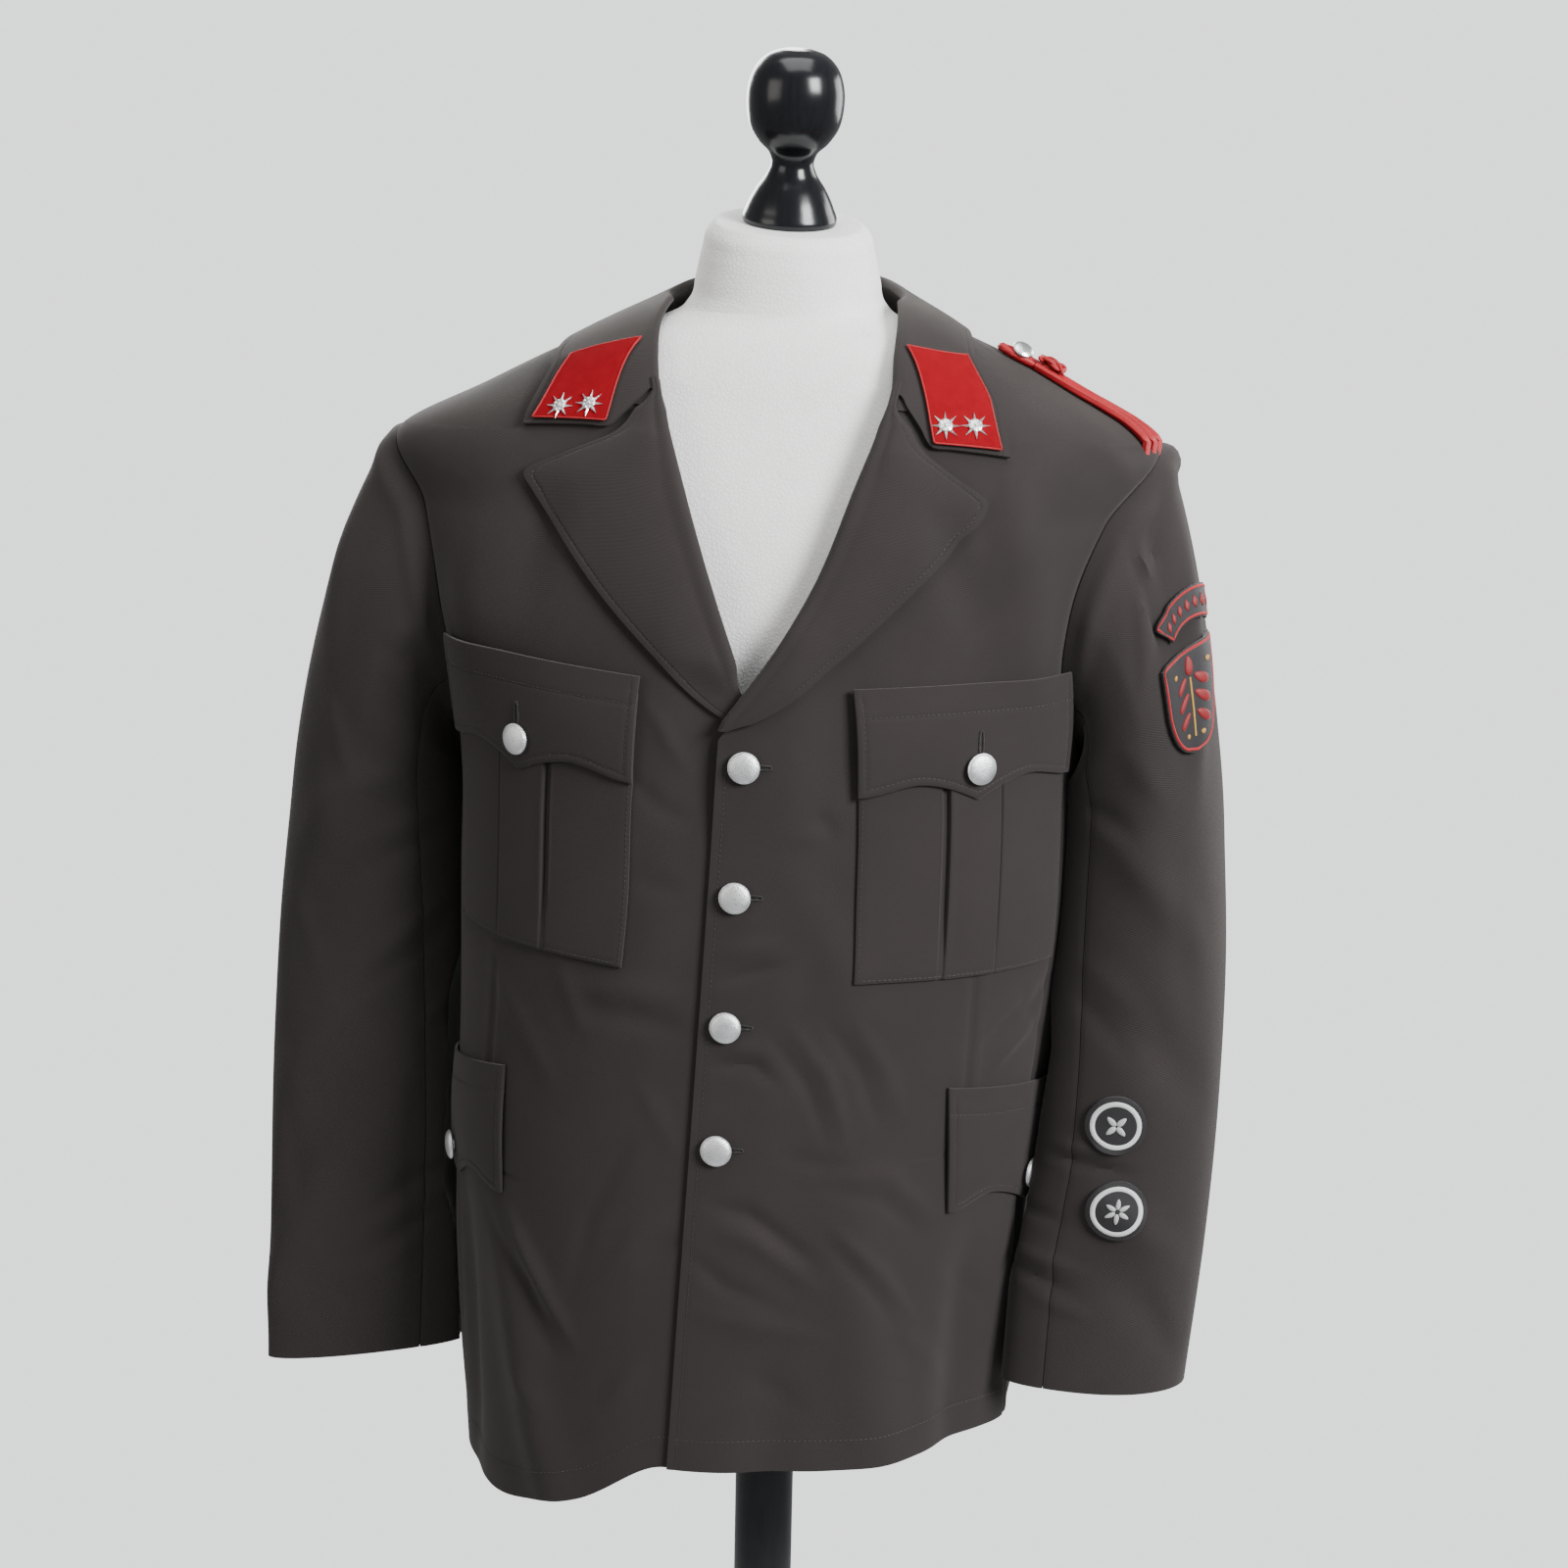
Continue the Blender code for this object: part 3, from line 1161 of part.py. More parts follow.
def buttons():
    for number, z in enumerate(FRONT_BUTTONS, 1):
        angle = front_angle(button_line(z), z)
        lift = layer(button_line(z), z, 1) + SEAM_GAP
        button(f"button_front_{number}", on_body(angle, z, lift), body_normal(angle, z))
    for side, word in ((1, "left"), (-1, "right")):
        z = POCKET_TOP + POCKET_SLANT * POCKET_WIDTH / 2 - FLAP_POINT + BUTTON_OVER_POINT
        angle, z = placed(side, POCKET_INNER + POCKET_WIDTH / 2, z, POCKET_SHIFT)
        lift = CHEST_FLAP_LIFT + FACED + 0.0014
        button(f"button_chest_{word}", on_body(angle, z, lift), body_normal(angle, z))
        z = LOWER_FLAP_TOP + LOWER_FLAP_SLANT * LOWER_FLAP_WIDTH / 2 - LOWER_FLAP_POINT + BUTTON_OVER_POINT
        angle, z = placed(side, LOWER_FLAP_INNER + LOWER_FLAP_WIDTH / 2, z, LOWER_FLAP_SHIFT)
        button(f"button_lower_{word}", on_body(angle, z, LAY_GAP + FACED + 0.0014), body_normal(angle, z))


# Dress form and stand


def form():
    """A solid foam torso with a bore for the pole. Its neck's flat top leans forward and a little to the left."""
    segments = 24
    turn = np.linspace(0, 2 * math.pi, segments, endpoint=False)
    bore = [stack(BORE_RADIUS * np.sin(turn), -BORE_RADIUS * np.cos(turn), z) for z in (BORE_TOP, FORM_BOTTOM)]
    heights = [row[0] for row in FORM_ROWS]
    rings = []
    for z in heights:
        depth = np.where(np.cos(turn) > 0, FORM["front"](z), FORM["back"](z))
        x, y = FORM["half_width"](z) * np.sin(turn), -depth * np.cos(turn)
        square = (np.abs(np.sin(turn)) ** 2.2 + np.abs(np.cos(turn)) ** 2.2) ** (-1 / 2.2)
        x, y = x * square, y * square
        lean = float(ease((z - 1.405) / (heights[-1] - 1.405)))
        ring = stack(x, y, z + lean * (y * math.tan(NECK_TILT) - x * math.tan(NECK_LEAN)))
        rings.append(pushed_off(ring, -FORM_CLEAR, -1) if 1.2 < z < 1.437 else ring)
    points = np.concatenate(bore + rings)
    count = len(bore) + len(rings)
    faces = []
    for r in range(count - 1):
        for k in range(segments):
            a, b = r * segments + k, r * segments + (k + 1) % segments
            faces.append((a, b, b + segments, a + segments))
    faces.append(tuple(reversed(range(segments))))
    faces.append(tuple(range((count - 1) * segments, count * segments)))
    return add_object("dress_form", points, faces, "foam")


def finial():
    normal = np.array([math.tan(NECK_LEAN), -math.tan(NECK_TILT), 1.0])
    place = frame_at(np.array([0.0, 0.0, FORM_ROWS[-1][0]]) + unit(normal) * SEAM_GAP, normal, (0, 1, 0))
    turned_solid("finial", FINIAL_PROFILE, 20, place, "black_wood")


def stand():
    upright = frame_at(np.zeros(3), (0, 0, 1), (0, 1, 0))
    low = BASE_HEIGHT + SEAM_GAP
    high = BORE_TOP - SEAM_GAP
    turned_solid("pole", [(POLE_RADIUS, low), (POLE_RADIUS, high)], 24, upright, "black_wood")
    radius, height, edge = BASE_RADIUS, BASE_HEIGHT, BASE_EDGE
    rim = [(radius - edge * (1 - math.cos(a)), height - edge * (1 - math.sin(a))) for a in np.radians([0, 30, 60, 90])]
    turned_solid("base", [(radius, 0.0), *rim], 48, upright, "black_wood")


def main():
    for old in list(bpy.data.objects):
        bpy.data.objects.remove(old)
    for side in (1, -1):
        panel(side, True, 11, 10)
        panel(side, False, 10, 9)
        side_panel(side)
        lapel(side)
        pocket(side)
    collar()
    patches()
    for side in ("left", "right"):
        sleeve(side, "upper", UPPER_SLEEVE_FROM, UPPER_SLEEVE_TO, UPPER_SLEEVE_COLS)
        sleeve(side, "under", UPPER_SLEEVE_TO, UPPER_SLEEVE_FROM + 2 * math.pi, 8)
    badges()
    shoulder_cord()
    flaps()
    buttons()
    form()
    finial()
    stand()


main()
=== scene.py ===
"""The looks of a dress uniform jacket on its dress form and stand.

Metres, +Z up. The jacket faces -Y, so the wearer's left is +X. Each panel's surface is given by the same
sizes as the solids, with the cloth's creases, seams and stitching added.
"""

import math

import bpy
import numpy as np
from mathutils import Matrix, Vector


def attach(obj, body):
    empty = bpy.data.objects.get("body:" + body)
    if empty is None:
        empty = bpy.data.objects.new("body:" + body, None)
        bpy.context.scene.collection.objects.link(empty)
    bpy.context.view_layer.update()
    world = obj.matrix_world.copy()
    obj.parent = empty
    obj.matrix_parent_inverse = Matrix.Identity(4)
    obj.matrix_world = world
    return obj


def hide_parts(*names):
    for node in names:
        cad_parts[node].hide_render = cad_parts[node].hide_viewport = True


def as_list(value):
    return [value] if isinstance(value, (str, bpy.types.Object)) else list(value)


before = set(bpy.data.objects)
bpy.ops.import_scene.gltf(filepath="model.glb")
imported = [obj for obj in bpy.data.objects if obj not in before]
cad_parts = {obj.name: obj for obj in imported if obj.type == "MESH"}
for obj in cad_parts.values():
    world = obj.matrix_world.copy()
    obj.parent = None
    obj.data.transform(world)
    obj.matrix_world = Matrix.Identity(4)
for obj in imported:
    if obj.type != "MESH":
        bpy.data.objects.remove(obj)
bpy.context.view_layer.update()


# Cloth
CLOTH = 0.0016  # one layer of the twill with its interlining
FACED = 0.0022  # two layers sewn together: lapels, collar and flaps
SEAM_GAP = 0.0003
LAY_GAP = 0.0013  # air between a panel and what is sewn on it
FELT = 0.0014

# Heights
HEM_FRONT = 0.655
HEM_DROP_RIGHT = 0.040  # the right front hangs this much lower, and the right side still more
HEM_DROP_SIDE = 0.020
BREAK = 1.166  # where the lapels start to roll
GORGE = 1.382  # where the roll line meets the collar
NECK = 1.432  # the neckline at the sides and back
SHOULDER = 1.354  # the shoulder points, at the top of the armholes

# The jacket's body: level rings, each two half ellipses of a given squareness
BODY_COLUMNS = ("height", "half_width", "front", "back", "middle", "squareness")
BODY_ROWS = (
    (0.590, 0.206, 0.186, 0.166, -0.020, 2.15),
    (0.700, 0.208, 0.183, 0.162, -0.022, 2.15),
    (0.780, 0.2115, 0.180, 0.156, -0.0205, 2.15),
    (0.860, 0.216, 0.176, 0.150, -0.0165, 2.15),
    (0.940, 0.220, 0.172, 0.146, -0.0100, 2.15),
    (1.040, 0.224, 0.168, 0.142, -0.0045, 2.20),
    (1.120, 0.2235, 0.166, 0.142, -0.004, 2.20),
    (1.180, 0.230, 0.164, 0.142, -0.004, 2.20),
    (1.240, 0.248, 0.158, 0.138, -0.005, 2.20),
    (1.300, 0.264, 0.144, 0.130, -0.006, 2.15),
    (1.354, 0.266, 0.124, 0.120, -0.006, 2.10),
    (1.382, 0.210, 0.112, 0.112, -0.004, 2.05),
    (1.408, 0.158, 0.096, 0.104, -0.002, 2.00),
    (1.424, 0.120, 0.080, 0.098, -0.001, 2.00),
    (1.436, 0.088, 0.060, 0.092, 0.000, 2.00),
    (1.446, 0.060, 0.042, 0.086, 0.000, 2.00),
)
BODY_TURN = math.radians(5)  # the chest and skirt are turned a little
ARC_RADIUS = 0.19  # turns a fold's angle into a distance

# The body's largest folds: ridges and troughs. Angles run from centre front to the left
# These rows are an angle and a height, an end angle and an end height, then the width and the rise
BODY_FOLDS = (
    (57, 1.345, 62, 1.170, 0.018, 0.0060),
    (44, 1.330, 51, 1.230, 0.016, -0.0040),
    (-55, 1.340, -60, 1.180, 0.020, 0.0050),
    (-45, 1.330, -48, 1.220, 0.018, -0.0045),
    (-49, 0.830, -28, 0.560, 0.020, 0.0075),
    (-66, 0.840, -62, 0.560, 0.019, -0.0080),
    (-82, 0.860, -84, 0.560, 0.022, 0.0060),
    (30, 0.900, 44, 0.560, 0.024, 0.0060),
    (60, 0.840, 58, 0.560, 0.018, -0.0060),
    (76, 0.860, 72, 0.560, 0.020, 0.0080),
    (14, 0.780, 18, 0.560, 0.026, -0.0040),
    (12, 1.090, 34, 0.960, 0.018, 0.0025),
    (-10, 1.080, -30, 0.940, 0.020, 0.0022),
    (128, 1.020, 122, 0.560, 0.026, 0.0090),
    (152, 0.920, 156, 0.560, 0.028, -0.0070),
    (-128, 1.020, -124, 0.560, 0.026, 0.0080),
    (-155, 0.940, -150, 0.560, 0.028, -0.0060),
    (180, 0.960, 180, 0.560, 0.030, 0.0080),
    (108, 1.300, 128, 1.060, 0.020, 0.0070),
    (-108, 1.300, -128, 1.060, 0.020, 0.0070),
)

# The cloth's creases: a start, a bend and an end, in angles and heights, then the width and the rise
BODY_CREASES = (
    (-2, 1.001, 6, 1.009, 14, 1.015, 0.006, -0.0016),
    (-2, 1.019, 6, 1.025, 12, 1.030, 0.007, 0.0010),
    (-2, 0.945, 8, 0.945, 14, 0.932, 0.006, -0.0018),
    (-1, 0.958, 6, 0.956, 12, 0.954, 0.007, 0.0010),
    (14, 0.977, 24, 0.939, 30, 0.890, 0.007, 0.0013),
    (10, 0.970, 20, 0.931, 26, 0.888, 0.006, -0.0011),
    (28, 0.980, 36, 0.942, 42, 0.899, 0.008, 0.0012),
    (22, 0.980, 31, 0.941, 37, 0.896, 0.006, -0.0010),
    (26, 0.871, 40, 0.862, 52, 0.825, 0.007, 0.0012),
    (26, 0.859, 38, 0.849, 50, 0.813, 0.006, -0.0010),
    (1, 0.847, 10, 0.841, 25, 0.806, 0.008, -0.0022),
    (2, 0.830, 12, 0.824, 26, 0.787, 0.009, 0.0016),
    (-3, 0.813, 6, 0.790, 18, 0.775, 0.007, -0.0014),
    (-1, 0.771, 13, 0.762, 28, 0.753, 0.009, 0.0014),
    (28, 0.833, 39, 0.795, 48, 0.753, 0.006, 0.0016),
    (26, 0.826, 36, 0.788, 44, 0.749, 0.006, -0.0013),
    (34, 0.874, 39, 0.869, 44, 0.863, 0.006, 0.0008),
    (16, 0.882, 24, 0.877, 32, 0.871, 0.007, -0.0009),
    (72, 0.959, 65, 0.945, 60, 0.930, 0.006, 0.0016),
    (68, 0.974, 62, 0.960, 57, 0.944, 0.006, -0.0010),
    (65, 0.984, 70, 0.963, 76, 0.939, 0.006, -0.0008),
    (-32, 0.971, -21, 0.973, -8, 0.966, 0.012, -0.0020),
    (-34, 0.988, -21, 0.990, -8, 0.988, 0.012, 0.0012),
    (-46, 0.821, -36, 0.775, -26, 0.731, 0.007, 0.0026),
    (-52, 0.808, -39, 0.767, -31, 0.721, 0.008, -0.0020),
    (-56, 0.992, -46, 0.955, -36, 0.913, 0.009, 0.0011),
    (-38, 1.008, -34, 0.981, -30, 0.955, 0.009, 0.0009),
    (-6, 0.840, -14, 0.819, -22, 0.785, 0.008, 0.0010),
    (-4, 0.823, -9, 0.812, -14, 0.800, 0.008, -0.0009),
    (-10, 0.732, -15, 0.714, -20, 0.695, 0.008, 0.0010),
    (-17, 0.889, -25, 0.829, -28, 0.770, 0.010, -0.0009),
    (-24, 1.137, -16, 1.115, -8, 1.106, 0.008, -0.0009),
    (-20, 1.188, -15, 1.164, -10, 1.139, 0.008, 0.0008),
    (-21, 1.065, -16, 1.063, -10, 1.060, 0.009, -0.0008),
    (-18, 0.930, -12, 0.905, -7, 0.879, 0.009, 0.0008),
    (56, 1.334, 54, 1.313, 52, 1.284, 0.008, -0.0020),
    (60, 1.326, 57, 1.298, 56, 1.269, 0.010, 0.0012),
    (81, 1.379, 73, 1.352, 75, 1.324, 0.012, 0.0020),
    (18, 1.117, 21, 1.108, 24, 1.100, 0.007, -0.0008),
    (12, 1.097, 18, 1.102, 22, 1.106, 0.007, 0.0008),
    (76, 0.988, 72, 0.978, 69, 0.966, 0.007, -0.0009),
    (39, 0.775, 46, 0.744, 56, 0.708, 0.009, 0.0009),
    (11, 0.728, 18, 0.713, 24, 0.699, 0.010, -0.0008),
    (53, 0.793, 62, 0.769, 68, 0.748, 0.008, -0.0010),
    (-42, 0.700, -36, 0.688, -32, 0.673, 0.010, 0.0009),
    (150, 1.300, 140, 1.240, 128, 1.190, 0.014, -0.0030),
    (152, 1.270, 142, 1.200, 132, 1.150, 0.013, 0.0026),
    (-150, 1.296, -138, 1.244, -126, 1.200, 0.014, -0.0030),
    (-154, 1.262, -144, 1.205, -130, 1.160, 0.013, 0.0024),
    (174, 1.060, 158, 1.052, 138, 1.064, 0.010, -0.0020),
    (168, 1.036, 150, 1.022, 134, 1.030, 0.010, 0.0018),
    (-172, 1.052, -156, 1.046, -140, 1.058, 0.010, -0.0018),
    (-166, 1.024, -150, 1.012, -134, 1.020, 0.010, 0.0016),
    (172, 0.960, 160, 0.900, 156, 0.800, 0.014, 0.0022),
    (-170, 0.950, -160, 0.880, -158, 0.790, 0.014, -0.0020),
    (120, 1.010, 112, 0.960, 100, 0.930, 0.009, -0.0016),
    (-118, 1.020, -108, 0.975, -98, 0.940, 0.009, -0.0016),
    (140, 0.760, 150, 0.700, 156, 0.665, 0.012, 0.0018),
    (-140, 0.770, -148, 0.710, -152, 0.660, 0.012, 0.0018),
    (96, 1.060, 90, 1.010, 82, 0.980, 0.008, 0.0014),
    (-96, 1.050, -90, 1.004, -80, 0.970, 0.008, -0.0014),
)

# Panels
SIDE_SEAM_FRONT = math.radians(74)
SIDE_SEAM_BACK = math.radians(108)
ARMHOLE_MIDDLE = 1.243
ARMHOLE_HALF_HEIGHT = SHOULDER - ARMHOLE_MIDDLE
ARMHOLE_FRONT = 0.085
ARMHOLE_BACK = 0.086
SLEEVE_INSET = 0.0009
SLEEVE_OUT = {"right": 0.62, "left": 0.28}  # how far outwards the sleeve heads start
SLEEVE_CLEAR = 0.0014  # how far a sleeve stays from the body, and how much more beside the lower pockets
FLAP_CLEAR = 0.0085
# How far a sleeve's inner front leans onto the body: shares of its length, and distances
SLEEVE_LEAN_SHARES = (0.06, 0.22, 0.42, 0.60, 0.74, 0.84, 1.0)
SLEEVE_LEAN = {
    "right": (0.0, 0.008, 0.008, 0.008, 0.008, 0.006, 0.003),
    "left": (0.0, 0.022, 0.019, 0.012, 0.011, 0.019, 0.018),
}
SLEEVE_LEAN_PHI = math.radians(-58)
SLEEVE_LEAN_WIDTH = 0.62
HEAD_ROLL = 0.0030  # the sleeve head stands this proud of the armhole's seam

# Front edge, button line and roll line
BUTTON_LINE_TOP = (1.146, 0.004)  # height and x of the highest button
BUTTON_LINE_LEAN = 0.050
EDGE_BEYOND_BUTTONS = 0.018
ROLL_COLUMNS = ("height", "half", "middle")
ROLL_ROWS = (
    (1.150, -0.024, 0.000),
    (1.168, -0.013, 0.001),
    (1.190, 0.001, 0.003),
    (1.225, 0.020, 0.008),
    (1.260, 0.036, 0.011),
    (1.320, 0.058, 0.011),
    (1.382, 0.078, 0.009),
    (1.410, 0.082, 0.005),
    (1.432, 0.089, 0.002),
)
LAPEL_EDGE_COLUMNS = ("height", "half", "middle")
LAPEL_EDGE_ROWS = (
    (1.168, -0.008, 0.000),
    (1.180, 0.014, 0.000),
    (1.215, 0.055, 0.000),
    (1.250, 0.091, -0.001),
    (1.285, 0.122, -0.001),
    (1.310, 0.143, -0.001),
    (1.322, 0.148, -0.001),
    (1.336, 0.124, 0.003),
    (1.350, 0.098, 0.008),
    (1.366, 0.085, 0.009),
    (1.380, 0.077, 0.009),
)
LAPEL_START = 1.169
COLLAR_LEAN = 0.040  # lapels and collar sit this much lower, for each metre to the left
LAPEL_BULGE = 0.0035

# Sleeves: rings from the upper arm to the cuff, with x counted outwards
SLEEVE_COLUMNS = ("share", "x", "y", "z", "half_width", "half_depth", "turn", "rise_out", "rise_front")
SLEEVE_TOP = 0.38  # share of the length that the sleeve head takes
SLEEVE_ROWS = {
    "right": (
        (0.38, 0.295, -0.002, 1.085, 0.067, 0.072, 0, 0.06, 0.05),
        (0.50, 0.300, -0.008, 1.000, 0.072, 0.058, -3, 0.03, 0.06),
        (0.64, 0.303, -0.016, 0.900, 0.075, 0.045, -5, -0.03, 0.08),
        (0.82, 0.304, -0.028, 0.775, 0.076, 0.033, -6, -0.10, 0.12),
        (1.00, 0.305, -0.040, 0.652, 0.076, 0.026, -7, -0.15, 0.16),
    ),
    "left": (
        (0.38, 0.268, -0.002, 1.085, 0.050, 0.084, 0, 0.06, 0.05),
        (0.50, 0.266, -0.010, 1.000, 0.058, 0.072, 3, 0.04, 0.06),
        (0.64, 0.264, -0.024, 0.905, 0.061, 0.062, 5, 0.02, 0.08),
        (0.82, 0.259, -0.040, 0.800, 0.062, 0.052, 7, 0.00, 0.10),
        (1.00, 0.252, -0.056, 0.692, 0.060, 0.046, 9, 0.00, 0.12),
    ),
}
# A sleeve's folds: phi from the front (0) over the outside (90) to the back, and share from armhole to cuff
SLEEVE_LENGTH = 0.70
SLEEVE_RADIUS = 0.07
SLEEVE_BACK_FOLDS = (
    (150, 0.35, 210, 0.55, 0.018, 0.0045),
    (150, 0.58, 215, 0.78, 0.020, -0.0045),
)
SLEEVE_FOLDS = {
    "right": (
        (330, 0.30, 400, 0.44, 0.016, 0.0055),
        (335, 0.40, 420, 0.58, 0.017, -0.0050),
        (325, 0.50, 420, 0.72, 0.018, 0.0055),
        (345, 0.66, 430, 0.86, 0.018, -0.0045),
        (370, 0.78, 450, 0.97, 0.020, 0.0040),
        (60, 0.10, 30, 0.26, 0.016, 0.0040),
        *SLEEVE_BACK_FOLDS,
    ),
    "left": (
        (60, 0.06, 38, 0.34, 0.012, 0.0065),
        (85, 0.08, 66, 0.22, 0.014, -0.0060),
        (330, 0.34, 400, 0.50, 0.016, 0.0045),
        (340, 0.52, 410, 0.66, 0.018, -0.0045),
        (330, 0.74, 405, 0.86, 0.017, 0.0050),
        (345, 0.84, 420, 0.97, 0.016, -0.0035),
        *SLEEVE_BACK_FOLDS,
    ),
}
SLEEVE_BACK_CREASES = (
    (100, 0.300, 140, 0.330, 190, 0.310, 0.013, -0.0020),
    (96, 0.420, 140, 0.470, 200, 0.450, 0.011, -0.0018),
    (110, 0.450, 150, 0.500, 205, 0.490, 0.011, 0.0018),
    (120, 0.560, 160, 0.600, 210, 0.570, 0.012, -0.0016),
    (100, 0.780, 140, 0.800, 190, 0.770, 0.010, -0.0014),
    (110, 0.860, 150, 0.890, 200, 0.860, 0.010, 0.0014),
)
SLEEVE_CREASES = {
    "right": (
        (-15, 0.027, -14, 0.083, -10, 0.143, 0.006, -0.0018),
        (-7, 0.030, -6, 0.080, -2, 0.130, 0.007, 0.0014),
        (-57, 0.383, -30, 0.400, 2, 0.433, 0.008, 0.0015),
        (-53, 0.410, -28, 0.427, 2, 0.463, 0.007, -0.0014),
        (-53, 0.480, -27, 0.513, 4, 0.567, 0.009, 0.0017),
        (-49, 0.517, -20, 0.553, 7, 0.597, 0.008, -0.0015),
        (-52, 0.587, -41, 0.607, -31, 0.630, 0.007, 0.0010),
        (-76, 0.777, -30, 0.797, -4, 0.833, 0.008, -0.0018),
        (-77, 0.807, -24, 0.830, 8, 0.863, 0.008, 0.0018),
        (-49, 0.827, -21, 0.860, 10, 0.893, 0.007, -0.0016),
        (-41, 0.863, -19, 0.887, 0, 0.910, 0.007, 0.0014),
        (47, 0.480, 35, 0.530, 20, 0.577, 0.012, 0.0009),
        (22, 0.913, 7, 0.933, -8, 0.953, 0.009, -0.0008),
        (51, 0.687, 45, 0.767, 34, 0.847, 0.014, -0.0009),
        (27, 0.257, 11, 0.297, 0, 0.353, 0.012, 0.0011),
        *SLEEVE_BACK_CREASES,
    ),
    "left": (
        (58, 0.015, 50, 0.045, 40, 0.090, 0.011, -0.0028),
        (40, 0.010, 37, 0.060, 33, 0.165, 0.006, 0.0022),
        (34, 0.030, 31, 0.085, 28, 0.175, 0.005, -0.0020),
        (45, 0.000, 48, 0.010, 55, 0.047, 0.006, -0.0020),
        (39, 0.023, 41, 0.090, 25, 0.193, 0.008, -0.0022),
        (37, 0.063, 24, 0.120, 12, 0.180, 0.009, 0.0018),
        (-51, 0.717, -24, 0.723, 4, 0.730, 0.005, -0.0018),
        (-52, 0.700, -23, 0.703, 1, 0.710, 0.006, 0.0013),
        (-73, 0.790, -47, 0.793, -30, 0.800, 0.006, -0.0013),
        (-66, 0.860, -41, 0.870, -21, 0.883, 0.006, -0.0018),
        (-63, 0.840, -36, 0.847, -15, 0.860, 0.006, 0.0014),
        (-47, 0.890, -29, 0.900, -12, 0.910, 0.006, 0.0012),
        (-38, 0.283, -12, 0.373, 7, 0.413, 0.012, -0.0012),
        (-12, 0.210, -2, 0.273, 12, 0.327, 0.012, 0.0012),
        (-35, 0.497, -13, 0.533, 9, 0.577, 0.012, 0.0012),
        (-40, 0.530, -21, 0.567, -4, 0.603, 0.009, -0.0010),
        (17, 0.413, 23, 0.483, 31, 0.557, 0.014, -0.0010),
        (22, 0.853, 35, 0.900, 51, 0.947, 0.012, 0.0009),
        *SLEEVE_BACK_CREASES,
    ),
}
UPPER_SLEEVE_FROM = math.radians(-35)  # the two sleeve seams, front and back
UPPER_SLEEVE_TO = math.radians(215)

# Pockets, in distances round the body from centre front and in heights
POCKET_INNER = 0.079  # from the middle, as are the lower flaps
# Each pocket's way to the left, its lean, and how much lower it sits for each metre to the left
POCKET_SHIFT = {1: (0.005, 0.0, 0.025), -1: (0.0135, 0.01, 0.025)}
LOWER_FLAP_SHIFT = {1: (-0.022, -0.07, -0.013), -1: (-0.0257, -0.117, -0.013)}
POCKET_WIDTH = 0.161
POCKET_TOP = 1.200
POCKET_BOTTOM = 1.004
POCKET_SLANT = 0.065  # rise outwards for each metre of width
FLAP_CORNER = 0.071  # height at the corners, at the arcs between and at the middle point
FLAP_ARC = 0.0645
FLAP_POINT = 0.078
LOWER_FLAP_INNER = 0.158
LOWER_FLAP_WIDTH = 0.165
LOWER_FLAP_TOP = 0.922
LOWER_FLAP_CORNER = 0.092
LOWER_FLAP_ARC = 0.080
LOWER_FLAP_POINT = 0.092
LOWER_FLAP_SLANT = -0.17
PLEAT_HALF = 0.12  # the box pleat's half width, as a share of the pocket

# Buttons
BUTTON_RADIUS = 0.0106
BUTTON_HEIGHT = 0.0062
BUTTON_OVER_POINT = 0.022
FRONT_BUTTONS = (1.146, 1.059, 0.971, 0.886)
BUTTONHOLE_HALF = 0.0105
BUTTONHOLE_ASIDE = 0.0065
BUTTONHOLE_ABOVE = 0.0165

# Collar
COLLAR_NOTCH = (0.106, 1.354)  # x and height

# Patches and stars on the collar, by turn round the neck and share of the fall's width
PATCH_CORNERS = {
    "left": ((0.862, 0.04), (0.755, 0.80), (0.984, 0.93), (0.978, 0.43)),
    "right": ((-0.855, 0.07), (-0.80, 0.775), (-0.985, 0.93), (-0.975, 0.43)),
}
STAR_PLACES = {
    "left": {"inner": (0.940, 0.475), "outer": (0.932, 0.715)},
    "right": {"inner": (-0.940, 0.517), "outer": (-0.948, 0.740)},
}
PATCH_GAP = 0.0009
PATCH_RIM = 0.00065
STAR_RADIUS = 0.0102
STAR_WAIST = 0.0032

# Dress form
FORM_COLUMNS = ("height", "half_width", "front", "back")
FORM_ROWS = (
    (0.800, 0.150, 0.112, 0.108),
    (0.812, 0.160, 0.120, 0.115),
    (0.900, 0.162, 0.122, 0.114),
    (1.000, 0.150, 0.114, 0.104),
    (1.100, 0.164, 0.126, 0.108),
    (1.180, 0.186, 0.140, 0.118),
    (1.240, 0.203, 0.138, 0.120),
    (1.300, 0.212, 0.126, 0.116),
    (1.346, 0.211, 0.108, 0.108),
    (1.372, 0.204, 0.097, 0.103),
    (1.389, 0.186, 0.090, 0.098),
    (1.4047, 0.1575, 0.082, 0.092),
    (1.4137, 0.1375, 0.076, 0.087),
    (1.4205, 0.1205, 0.070, 0.082),
    (1.4275, 0.0960, 0.064, 0.075),
    (1.4340, 0.0770, 0.061, 0.069),
    (1.4420, 0.0680, 0.060, 0.064),
    (1.4580, 0.0635, 0.059, 0.061),
    (1.4780, 0.0590, 0.057, 0.058),
    (1.4900, 0.0550, 0.054, 0.055),
    (1.4935, 0.0515, 0.051, 0.051),
)
FORM_BOTTOM = 0.800
FORM_CLEAR = 0.0031  # from the jacket's outer face, where it rests on the form
BORE_RADIUS = 0.0229
BORE_TOP = 0.900
FORM_CLOTHED = (1.2, 1.437)  # heights between which it is held inside the jacket
NECK_LEAN_FROM = 1.405
NECK_TILT = math.radians(13)  # the neck's top leans forward
NECK_LEAN = math.radians(4)

